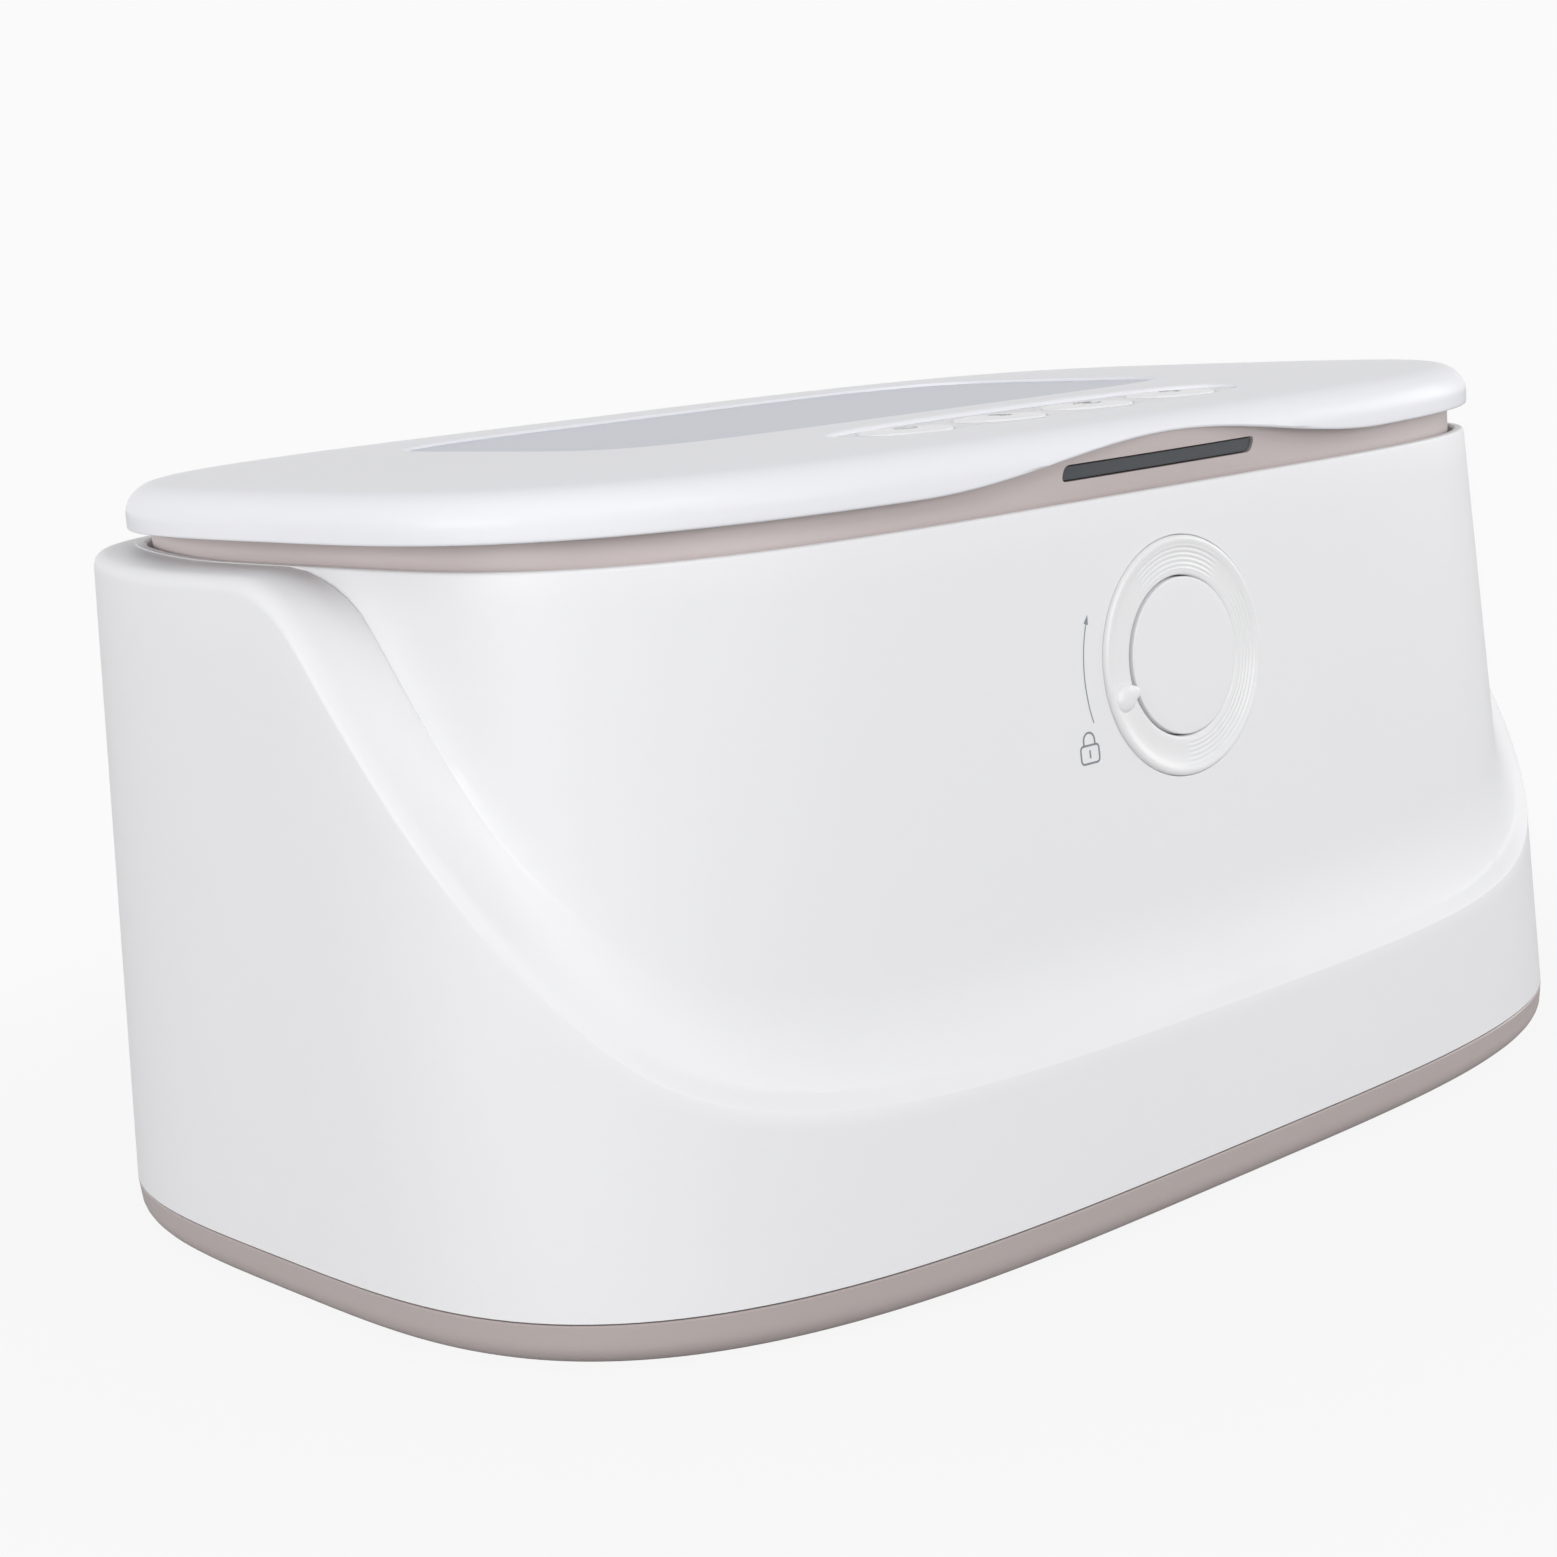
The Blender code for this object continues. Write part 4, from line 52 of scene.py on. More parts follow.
# Heights above the table, in metres
level = {
    "base": 0.0014, "panFloor": 0.0039, "seam": 0.0082, "shelf": 0.1037, "deckLow": 0.1040,
    "deck": 0.1062, "linerLow": 0.1070, "plateLow": 0.1080, "plate": 0.1096, "rim": 0.1102,
    "lidEdge": 0.1143, "ceiling": 0.1193, "pocket": 0.1202, "lidTop": 0.1215,
    "chamberFloor": 0.0260, "chamberUnder": 0.0242,
}
gap = 0.0003

# Outer shell, upper body and the swept ledge between them
shell = {
    "halfWidth": 0.125, "halfDepth": 0.085, "power": 3.6, "draft": 0.042, "wall": 0.0025,
    "rimHalfWidth": 0.10825, "rimHalfDepth": 0.0731, "rimPower": 4.37, "rimBackPower": 4.8,
    "rimLip": 0.0015, "rearLift": 0.0013,
    "liftX": 0.055, "liftWidth": 0.025, "liftY": 0.018, "liftDepth": 0.040,
    "rimEdge": 0.0005, "upperDraft": 0.0565, "upperWall": 0.0023,
    "sweepTop": 0.1100, "sweepStartY": 0.0, "sweepTopRadius": 0.0221,
    "sweepAngle": math.radians(49.2), "sweepLowRadius": 0.0462, "sweepLow": 0.0298,
    "coveRise": 0.0126, "coveRiseMin": 0.0001, "coveStartY": 0.028, "coveLength": 0.050,
    "coveSteep": 0.0036, "coveSteepDrop": 0.012, "coveBend": 0.45, "coveBendSide": 0.10,
    "ledgeEdge": 0.0022, "shoulderHeight": 0.0024, "shoulderWidth": 0.0032,
    "shoulderBlend": 0.028, "columns": 240, "wallRows": 10, "roundRows": 8, "coveRows": 18,
    "spigot": 0.0038,
}

# Lid: side, crown, and the wave in its front edge
lid = {
    "halfWidth": 0.1149, "halfDepth": 0.0767, "power": 3.66, "edgeRadius": 0.0050, "lowerEdge": 0.0004,
    "crown": 0.00112, "crownPower": 3.6, "crownRows": 16, "wall": 0.0020, "waveRise": 0.0044,
    "waveHalfLength": 0.054, "roundShare": 0.25, "postX": 0.088, "postFront": -0.040, "postBack": 0.049,
    "postRadius": 0.0033,
}

# Window in the lid and the hinge line, which several pieces follow
window = {
    "halfWidth": 0.0663, "halfDepth": 0.0373, "power": 5.0, "centreY": 0.0084, "seat": 0.0028,
    "seatDepth": 0.0015, "sunk": 0.0006, "edge": 0.0004, "fit": 0.00005,
    "closeInset": 0.033, "faceStep": 0.0035,
}
hinge = {
    "y": 0.0800, "z": 0.1132, "radius": 0.0030, "bore": 0.00175, "knuckleNear": 0.03415,
    "knuckleFar": 0.04085, "knuckleDrop": 0.0012, "coilX": 0.04145, "coilTurns": 3.5,
    "coilRadius": 0.00235, "coilWire": 0.0003, "coilLength": 0.0041,
}
roundSteps = 28


# Shape helpers

def smooth(value):
    value = min(max(value, 0.0), 1.0)
    return value * value * (3 - 2 * value)


def superPoint(halfX, halfY, power, turn, centreY=0.0):
    c = math.cos(turn)
    s = math.sin(turn)
    x = halfX * math.copysign(abs(c) ** (2 / power), c)
    y = halfY * math.copysign(abs(s) ** (2 / power), s)
    return Vector((x, y + centreY))


def evenTurns(count, halfX, halfY, power):
    # turns that space the columns evenly along one outline
    quarter = count // 4
    fine = 4000
    samples = [math.pi / 2 * i / fine for i in range(fine + 1)]
    points = [superPoint(halfX, halfY, power, turn) for turn in samples]
    length = [0.0]
    for before, after in zip(points, points[1:]):
        length.append(length[-1] + (after - before).length)
    first = [0.0]
    index = 0
    for step in range(1, quarter):
        while length[index] < length[-1] * step / quarter:
            index += 1
        first.append(samples[index])
    half = first + [math.pi / 2] + [math.pi - turn for turn in reversed(first[1:])]
    return half + [math.pi + turn for turn in half]


turns = evenTurns(shell["columns"], shell["halfWidth"], shell["halfDepth"], shell["power"])


def shellPoint(turn, z, inset=0.0):
    draw = shell["draft"] * (z - level["seam"]) + inset
    return superPoint(shell["halfWidth"] - draw, shell["halfDepth"] - draw, shell["power"], turn)


def rimPoint(turn, inset):
    # the rim's outline is squarer at its rear corners
    power = shell["rimBackPower"] if math.sin(turn) > 0 else shell["rimPower"]
    return superPoint(shell["rimHalfWidth"] - inset, shell["rimHalfDepth"] - inset, power, turn)


def upperPoint(turn, z, inset=0.0):
    return rimPoint(turn, inset - shell["rimLip"] - shell["upperDraft"] * (level["rim"] - z))


def rearLift(x, y):
    # rise of the ledge and the rim at the rear corners
    return shell["rearLift"] * (smooth((abs(x) - shell["liftX"]) / shell["liftWidth"])
                                * smooth((y - shell["liftY"]) / shell["liftDepth"]))


def frontY(x, z):
    # depth of the upper body's front face
    grow = shell["rimLip"] + shell["upperDraft"] * (level["rim"] - z)
    across = abs(x) / (shell["rimHalfWidth"] + grow)
    power = shell["rimPower"]
    return -(shell["rimHalfDepth"] + grow) * (1 - across ** power) ** (1 / power)


def sweepHeight(y):
    # height of the ledge at a depth: arc, straight slope, arc
    top, low = shell["sweepTop"], shell["sweepLow"]
    topRadius, lowRadius = shell["sweepTopRadius"], shell["sweepLowRadius"]
    sine, drop = math.sin(shell["sweepAngle"]), 1 - math.cos(shell["sweepAngle"])
    topY = shell["sweepStartY"] - topRadius * sine
    topZ = top - topRadius * drop
    lowZ = low + lowRadius * drop
    lowY = topY - (topZ - lowZ) / math.tan(shell["sweepAngle"])
    endY = lowY - lowRadius * sine
    if y >= shell["sweepStartY"]:
        return top
    if y >= topY:
        return top - topRadius + math.sqrt(topRadius ** 2 - (shell["sweepStartY"] - y) ** 2)
    if y >= lowY:
        return topZ - (topY - y) * math.tan(shell["sweepAngle"])
    return low + lowRadius - math.sqrt(lowRadius ** 2 - max(y - endY, 0) ** 2)


def ledgeEdges(turn):
    # heights of the ledge's outer edge and of the top of its cove, and the rounding left for the rim
    edgeZ = shell["sweepLow"]
    for step in range(6):
        p = shellPoint(turn, edgeZ)
        edgeZ = sweepHeight(p.y) + rearLift(p.x, p.y)
    topZ = edgeZ
    for step in range(6):
        p = upperPoint(turn, topZ)
        foot = sweepHeight(p.y)
        steep = shell["coveSteep"] * smooth((shell["sweepTop"] - foot) / shell["coveSteepDrop"])
        rise = shell["coveRise"] * (-p.y - shell["coveStartY"]) / shell["coveLength"]
        topZ = foot + rearLift(p.x, p.y) + max(shell["coveRiseMin"], steep, rise)
    rimEdge = min(shell["rimEdge"], (level["rim"] - foot) / 2)
    return edgeZ, min(topZ, level["rim"] - rimEdge + rearLift(p.x, p.y)), rimEdge


def wave(x, y):
    # how far the lid's lower edge rises above the light bar, from 0 to 1
    if y > 0 or abs(x) > lid["waveHalfLength"]:
        return 0.0
    return math.cos(math.pi / 2 * x / lid["waveHalfLength"]) ** 2


def crownZ(x, y):
    halfX = lid["halfWidth"] - lid["edgeRadius"]
    halfY = lid["halfDepth"] - lid["edgeRadius"]
    reach = abs(x / halfX) ** lid["power"] + abs(y / halfY) ** lid["power"]
    reach = min(reach ** (1 / lid["power"]), 1)
    return level["lidTop"] + lid["crown"] * (1 - reach ** lid["crownPower"])


# Frame of the round button: X across, Y up along the front face, Z out of it

knob = {"z": 0.0843, "ringRadius": 0.0185, "innerRadius": 0.0124, "holeRadius": 0.0186}


def knobFrame():
    tilt = math.atan(shell["upperDraft"])
    across = Vector((1, 0, 0))
    up = Vector((0, math.sin(tilt), math.cos(tilt)))
    out = Vector((0, -math.cos(tilt), math.sin(tilt)))
    place = Matrix((across, up, out)).transposed().to_4x4()
    place.translation = Vector((0, frontY(0, knob["z"]), knob["z"]))
    return place


knobPlace = knobFrame()


# Mesh helpers

def newObject(name, verts, faces):
    mesh = bpy.data.meshes.new(name)
    mesh.from_pydata([tuple(v) for v in verts], [], faces)
    bm = bmesh.new()
    bm.from_mesh(mesh)
    bmesh.ops.recalc_face_normals(bm, faces=bm.faces)
    bm.to_mesh(mesh)
    bm.free()
    obj = bpy.data.objects.new(name, mesh)
    bpy.context.scene.collection.objects.link(obj)
    return obj


def loft(name, rings, closed=False, caps=True):
    # skin a list of rings; the ends are capped, or joined when closed
    size = len(rings[0])
    verts = [p for points in rings for p in points]
    pairs = [(i, i + 1) for i in range(len(rings) - 1)]
    if closed:
        pairs.append((len(rings) - 1, 0))
    faces = []
    for low, high in pairs:
        for i in range(size):
            j = (i + 1) % size
            faces.append((low * size + i, low * size + j, high * size + j, high * size + i))
    if caps and not closed:
        for row in (0, len(rings) - 1):
            centre = sum((Vector(p) for p in rings[row]), Vector()) / size
            verts.append(centre)
            faces += [(row * size + i, row * size + (i + 1) % size, len(verts) - 1) for i in range(size)]
    return newObject(name, verts, faces)


def turned(name, profile, steps, place=None):
    # closed profile of (radius, height) points turned round its axis
    rings = []
    for radius, height in profile:
        rings.append([Vector((radius * math.cos(2 * math.pi * i / steps),
                              radius * math.sin(2 * math.pi * i / steps), height)) for i in range(steps)])
    ends = profile[0][0] > 0 and profile[-1][0] > 0
    obj = loft(name, rings, closed=ends, caps=False)
    weld(obj)
    if place is not None:
        obj.data.transform(place)
    return obj


def weld(obj, distance=0.000001):
    bm = bmesh.new()
    bm.from_mesh(obj.data)
    bmesh.ops.remove_doubles(bm, verts=bm.verts, dist=distance)
    bmesh.ops.dissolve_degenerate(bm, edges=bm.edges, dist=distance)
    bmesh.ops.recalc_face_normals(bm, faces=bm.faces)
    bm.to_mesh(obj.data)
    bm.free()


def rounded(points, radius, steps=4):
    # outline of 2D points with each corner rounded
    out = []
    count = len(points)
    for i, corner in enumerate(points):
        before, after = Vector(points[i - 1]), Vector(points[(i + 1) % count])
        corner = Vector(corner)
        reach = min(radius, (before - corner).length * 0.45, (after - corner).length * 0.45)
        start = corner + (before - corner).normalized() * reach
        end = corner + (after - corner).normalized() * reach
        for step in range(steps + 1):
            t = step / steps
            out.append(start * (1 - t) ** 2 + corner * 2 * t * (1 - t) + end * t * t)
    return out


def rectangle(halfX, halfY, x=0.0, y=0.0):
    # corners of a rectangle about a point
    return [(x - halfX, y - halfY), (x + halfX, y - halfY), (x + halfX, y + halfY), (x - halfX, y + halfY)]


def slab(name, outline, low, high, place=None, edge=0.0):
    # outline drawn out between two heights, its edges eased
    centre = sum((Vector(p) for p in outline), Vector((0, 0))) / len(outline)
    rings = []
    levels = [(edge, low), (0, low + edge), (0, high - edge), (edge, high)] if edge else [(0, low), (0, high)]
    for inset, z in levels:
        ring = []
        for p in outline:
            away = Vector(p) - centre
            away = away * (1 - inset / max(away.length, inset * 2)) if inset else away
            ring.append(Vector((centre.x + away.x, centre.y + away.y, z)))
        rings.append(ring)
    obj = loft(name, rings)
    if place is not None:
        obj.data.transform(place)
    return obj


def applied(obj):
    # the object with its modifiers made part of its mesh
    bpy.context.view_layer.update()
    graph = bpy.context.evaluated_depsgraph_get()
    mesh = bpy.data.meshes.new_from_object(obj.evaluated_get(graph))
    obj.modifiers.clear()
    old = obj.data
    obj.data = mesh
    bpy.data.meshes.remove(old)
    return obj


def carve(obj, tool, operation="DIFFERENCE"):
    modifier = obj.modifiers.new(operation.lower(), "BOOLEAN")
    modifier.operation = operation
    modifier.solver = "EXACT"
    modifier.object = tool
    applied(obj)
    bpy.data.objects.remove(tool, do_unlink=True)
    return obj


def axisPlace(start, direction):
    # frame at a point whose Z runs along a direction
    turn = Vector(direction).to_track_quat("Z", "Y").to_matrix().to_4x4()
    return Matrix.Translation(Vector(start)) @ turn


def rod(name, start, end, radius, steps=48):
    length = (Vector(end) - Vector(start)).length
    place = axisPlace(start, Vector(end) - Vector(start))
    return turned(name, [(0, 0), (radius, 0), (radius, length), (0, length)], steps, place)


def joined(name, parts):
    # several meshes as one object
    bm = bmesh.new()
    for part in parts:
        bm.from_mesh(part.data)
    mesh = bpy.data.meshes.new(name)
    bm.to_mesh(mesh)
    bm.free()
    for part in parts:
        bpy.data.objects.remove(part, do_unlink=True)
    obj = bpy.data.objects.new(name, mesh)
    bpy.context.scene.collection.objects.link(obj)
    return obj


def place(obj, body, slot, material, *nodes, angle=32):
    # give a finished piece its material, its body and the nodes it stands for
    obj.data.materials.clear()
    obj.data.materials.append(material)
    obj.data.shade_smooth()
    obj.data.set_sharp_from_angle(angle=math.radians(angle))
    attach(obj, body)
    if nodes:
        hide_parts(*nodes)
    return obj


# Node helpers

def feed(tree, node, title, value):
    # link a socket, or set its plain value
    socket = node.inputs[title]
    if isinstance(value, bpy.types.NodeSocket):
        tree.links.new(value, socket)
    else:
        socket.default_value = value


def newNode(tree, kind, inputs, **settings):
    # node with its settings made and its inputs fed, by name or by number
    node = tree.nodes.new(kind)
    for title, value in settings.items():
        setattr(node, title, value)
    for title, value in inputs.items():
        feed(tree, node, title, value)
    return node


def mathNode(tree, operation, *values):
    return newNode(tree, "ShaderNodeMath", dict(enumerate(values)), operation=operation).outputs[0]


def socketKind(value):
    # type of socket for a value: a colour has four numbers and a vector three
    if isinstance(value, tuple):
        return "NodeSocketColor" if len(value) == 4 else "NodeSocketVector"
    return "NodeSocketInt" if isinstance(value, int) else "NodeSocketFloat"


def newTree(name, kind, inputs, outputs):
    tree = bpy.data.node_groups.new(name, kind)
    for title, value in inputs.items():
        socket = tree.interface.new_socket(title, in_out="INPUT", socket_type=socketKind(value))
        socket.default_value = value
    for title, socketType in outputs.items():
        tree.interface.new_socket(title, in_out="OUTPUT", socket_type=socketType)
    return tree, tree.nodes.new("NodeGroupInput"), tree.nodes.new("NodeGroupOutput")


# Shader groups shared by the materials

def finishTree(name, inputs):
    # group with the sockets that every finish has
    shared = {"Roughness": 0.4, "Roughness Spread": 0.04, "Tone Spread": 0.02, "Colour": (0.8, 0.8, 0.8, 1.0)}
    return newTree(name, "ShaderNodeTree", {**inputs, **shared}, {
        "Colour": "NodeSocketColor", "Roughness": "NodeSocketFloat", "Height": "NodeSocketFloat"})


def noise(tree, vector, scale, detail):
    inputs = {"Vector": vector, "Scale": scale, "Detail": detail}
    return newNode(tree, "ShaderNodeTexNoise", inputs).outputs["Fac"]


def centred(tree, value):
    return mathNode(tree, "SUBTRACT", value, 0.5)


def closeFinish(tree, source, sink, tone, rough, height):
    # centred patterns turned into a colour and a roughness, beside the height
    given = source.outputs
    shade = mathNode(tree, "MULTIPLY_ADD", tone, given["Tone Spread"], 1.0)
    tinted = newNode(tree, "ShaderNodeVectorMath", {0: given["Colour"], "Scale": shade}, operation="SCALE")
    feed(tree, sink, "Colour", tinted.outputs[0])
    feed(tree, sink, "Roughness",
         mathNode(tree, "MULTIPLY_ADD", rough, given["Roughness Spread"], given["Roughness"]))
    feed(tree, sink, "Height", height)
    return tree


def makeGrain():
    # moulded surface: fine grain, and a faint drift of tone
    tree, source, sink = finishTree("mouldedGrain", {"Grain Scale": 1800.0, "Drift Scale": 22.0})
    coords = tree.nodes.new("ShaderNodeTexCoord").outputs["Object"]
    fine = noise(tree, coords, source.outputs["Grain Scale"], 2.0)
    drift = centred(tree, noise(tree, coords, source.outputs["Drift Scale"], 3.0))
    fineShare = 0.6
    both = mathNode(tree, "MULTIPLY_ADD", centred(tree, fine), fineShare, drift)
    return closeFinish(tree, source, sink, drift, both, fine)


def makeBrushed():
    # drawn metal: streaks along one axis
    tree, source, sink = finishTree("brushedMetal", {"Streaks": (4000.0, 120.0, 4000.0)})
    coords = tree.nodes.new("ShaderNodeTexCoord").outputs["Object"]
    stretched = newNode(tree, "ShaderNodeVectorMath", {0: coords, 1: source.outputs["Streaks"]},
                        operation="MULTIPLY")
    streaks = noise(tree, stretched.outputs[0], 1.0, 4.0)
    middle = centred(tree, streaks)
    return closeFinish(tree, source, sink, middle, middle, streaks)


grainGroup = makeGrain()
brushedGroup = makeBrushed()
finish = {}


def surface(name, colour, rough, spread, tone, bump, depth, grain=None, drift=22.0, streaks=None, plain=None):
    # Principled material with moulded grain, or with brushed streaks, from the shared groups
    material = bpy.data.materials.new(name)
    material.use_nodes = True
    material.diffuse_color = (*colour, 1.0)
    tree = material.node_tree
    values = {"Grain Scale": grain, "Drift Scale": drift} if grain else {"Streaks": streaks}
    values |= {"Colour": (*colour, 1.0), "Roughness": rough, "Roughness Spread": spread, "Tone Spread": tone}
    group = grainGroup if grain else brushedGroup
    effect = newNode(tree, "ShaderNodeGroup", values, node_tree=group).outputs
    relief = newNode(tree, "ShaderNodeBump", {
        "Strength": bump, "Distance": depth, "Height": effect["Height"]})
    inputs = {"Base Color": effect["Colour"], "Roughness": effect["Roughness"],
              "Normal": relief.outputs["Normal"], **(plain or {})}
    for title, value in inputs.items():
        feed(tree, tree.nodes["Principled BSDF"], title, value)
    finish[name] = material


# Plastics
surface("housingWhite", (0.83, 0.83, 0.845), rough=0.46, spread=0.05, tone=0.012, bump=0.25, depth=0.00004,
        grain=2200.0, plain={"Specular IOR Level": 0.42})
surface("lidWhite", (0.865, 0.868, 0.905), rough=0.30, spread=0.04, tone=0.010, bump=0.02, depth=0.00001,
        grain=900.0, plain={"Specular IOR Level": 0.15})
surface("ringWhite", (0.84, 0.84, 0.85), rough=0.30, spread=0.04, tone=0.010, bump=0.08, depth=0.00002,
        grain=1600.0)
surface("keyWhite", (0.88, 0.88, 0.90), rough=0.24, spread=0.03, tone=0.010, bump=0.06, depth=0.00002,
        grain=1600.0)
surface("panelWhite", (0.76, 0.76, 0.79), rough=0.26, spread=0.03, tone=0.015, bump=0.06, depth=0.00002,
        grain=1400.0)
surface("chamberWhite", (0.78, 0.78, 0.78), rough=0.45, spread=0.06, tone=0.02, bump=0.25, depth=0.00005,
        grain=1500.0)
# One taupe plastic in two copies: the first, on the base pan, is set darker, and the lighter second copy on
# the lid liner is painted light that offsets the shade under the lid
surface("taupe", (0.475, 0.415, 0.405), rough=0.30, spread=0.05, tone=0.02, bump=0.10, depth=0.00003,
        grain=1500.0)
surface("taupePaintedLight", (0.62, 0.55, 0.54), rough=0.34, spread=0.05, tone=0.02, bump=0.10, depth=0.00003,
        grain=1500.0)
surface("windowTint", (0.58, 0.60, 0.685), rough=0.30, spread=0.04, tone=0.03, bump=0.02, depth=0.00001,
        grain=700.0, drift=12.0, plain={"Specular IOR Level": 0.15})
surface("smoked", (0.072, 0.080, 0.090), rough=0.22, spread=0.05, tone=0.10, bump=0.05, depth=0.00002,
        grain=900.0, plain={"Coat Weight": 0.4})
surface("blackPlastic", (0.025, 0.025, 0.027), rough=0.42, spread=0.10, tone=0.20, bump=0.30, depth=0.00004,
        grain=1800.0)

# Inks, rubbers and foam
surface("printGrey", (0.24, 0.26, 0.28), rough=0.50, spread=0.05, tone=0.05, bump=0.10, depth=0.00001,
        grain=2500.0)
surface("iconDark", (0.22, 0.22, 0.23), rough=0.45, spread=0.05, tone=0.05, bump=0.10, depth=0.00001,
        grain=2500.0)
surface("silicone", (0.66, 0.66, 0.67), rough=0.62, spread=0.08, tone=0.03, bump=0.20, depth=0.00003,
        grain=1400.0)
surface("rubber", (0.055, 0.055, 0.057), rough=0.78, spread=0.12, tone=0.25, bump=0.50, depth=0.00006,
        grain=1600.0)
surface("foam", (0.28, 0.28, 0.30), rough=0.92, spread=0.08, tone=0.50, bump=0.90, depth=0.0004, grain=700.0)

# Film, board and metals
surface("heatingFilm", (0.55, 0.25, 0.05), rough=0.35, spread=0.20, tone=0.70, bump=0.20, depth=0.00005,
        streaks=(30.0, 420.0, 10.0))
surface("board", (0.02, 0.20, 0.08), rough=0.40, spread=0.20, tone=1.10, bump=0.25, depth=0.00008,
        streaks=(600.0, 900.0, 300.0))
surface("steel", (0.58, 0.58, 0.59), rough=0.30, spread=0.20, tone=0.15, bump=0.15, depth=0.00002,
        streaks=(2500.0, 2500.0, 200.0), plain={"Metallic": 1.0})
surface("aluminium", (0.80, 0.80, 0.81), rough=0.34, spread=0.20, tone=0.12, bump=0.15, depth=0.00002,
        streaks=(150.0, 3000.0, 3000.0), plain={"Metallic": 1.0})
print("finishes made:", len(finish))


# Geometry Nodes helpers

def growTree(name, inputs):
    return newTree(name, "GeometryNodeTree", inputs, {"Geometry": "NodeSocketGeometry"})


def closeTree(tree, sink, geometry, material):
    solid = newNode(tree, "GeometryNodeRealizeInstances", {0: geometry})
    paint = newNode(tree, "GeometryNodeSetMaterial", {0: solid.outputs[0], "Material": material})
    feed(tree, sink, "Geometry", paint.outputs[0])
    return tree


def grown(name, tree, values):
    # run a tree on an empty mesh and keep the result as a plain mesh
    obj = bpy.data.objects.new(name, bpy.data.meshes.new(name))
    modifier = obj.modifiers.new("grow", "NODES")
    modifier.node_group = tree
    for item in tree.interface.items_tree:
        if item.item_type == "SOCKET" and item.in_out == "INPUT" and item.name in values:
            modifier[item.identifier] = values[item.name]
    bpy.context.scene.collection.objects.link(obj)
    applied(obj)
    weld(obj)
    return obj


def superNodes(tree, half, power, turn, operation):
    # one coordinate of a superellipse at a turn
    swing = mathNode(tree, operation, turn)
    size = mathNode(tree, "POWER", mathNode(tree, "ABSOLUTE", swing), mathNode(tree, "DIVIDE", 2.0, power))
    return mathNode(tree, "MULTIPLY", mathNode(tree, "MULTIPLY", size, mathNode(tree, "SIGN", swing)), half)


def ringTree(name, rows, material):
    # superellipse outline extruded through rows of (inset, height); None closes a row to its centre
    tree, source, sink = growTree(name, {
        "Columns": 240, "Half Width": 0.1, "Half Depth": 0.1, "Power": 4.0, "Centre Y": 0.0})
    given = source.outputs
    circle = newNode(tree, "GeometryNodeMeshCircle", {"Vertices": given["Columns"]})
    step = mathNode(tree, "DIVIDE", tree.nodes.new("GeometryNodeInputIndex").outputs[0], given["Columns"])
    keep = tree.nodes.new("GeometryNodeCaptureAttribute")
    keep.capture_items.new("FLOAT", "turn")
    feed(tree, keep, 0, circle.outputs[0])
    feed(tree, keep, "turn", mathNode(tree, "MULTIPLY", step, 2 * math.pi))
    geometry, turn, chosen = keep.outputs[0], keep.outputs["turn"], {}
    for number, (inset, z) in enumerate(rows):
        if number:
            extrude = newNode(tree, "GeometryNodeExtrudeMesh",
                              {"Mesh": geometry, "Offset Scale": 0.0, **chosen}, mode="EDGES")
            geometry, chosen = extrude.outputs["Mesh"], {"Selection": extrude.outputs["Top"]}
        axes = {"Z": z}
        for axis, title, operation in (("X", "Half Width", "COSINE"), ("Y", "Half Depth", "SINE")):
            half = 0.0 if inset is None else mathNode(tree, "SUBTRACT", given[title], inset)
            axes[axis] = superNodes(tree, half, given["Power"], turn, operation)
        axes["Y"] = mathNode(tree, "ADD", axes["Y"], given["Centre Y"])
        spot = newNode(tree, "ShaderNodeCombineXYZ", axes).outputs[0]
        geometry = newNode(tree, "GeometryNodeSetPosition",
                           {"Geometry": geometry, "Position": spot, **chosen}).outputs[0]
    merge = newNode(tree, "GeometryNodeMergeByDistance", {"Geometry": geometry, "Distance": 0.000002})
    return closeTree(tree, sink, merge.outputs[0], material)


def coilTree(name, material):
    # coil spring along Z: a spiral with a round wire
    tree, source, sink = growTree(name, {
        "Turns": 4.0, "Radius": 0.002, "Wire Radius": 0.0003, "Length": 0.005})
    given = source.outputs
    spiral = newNode(tree, "GeometryNodeCurveSpiral", {
        "Resolution": 40, "Rotations": given["Turns"], "Start Radius": given["Radius"],
        "End Radius": given["Radius"], "Height": given["Length"]})
    wire = newNode(tree, "GeometryNodeCurvePrimitiveCircle", {
        "Resolution": 12, "Radius": given["Wire Radius"]})
    sweep = newNode(tree, "GeometryNodeCurveToMesh", {
        "Curve": spiral.outputs[0], "Profile Curve": wire.outputs[0], "Fill Caps": True})
    return closeTree(tree, sink, sweep.outputs[0], material)


# Shares of a screw's head and shank
screwShare = {
    "crest": 0.78, "overlap": -0.25, "shank": 0.94, "tip": 0.06, "tipRadius": 0.6,
    "crossLength": 1.15, "crossWidth": 0.26, "crossHeight": 1.1,
}


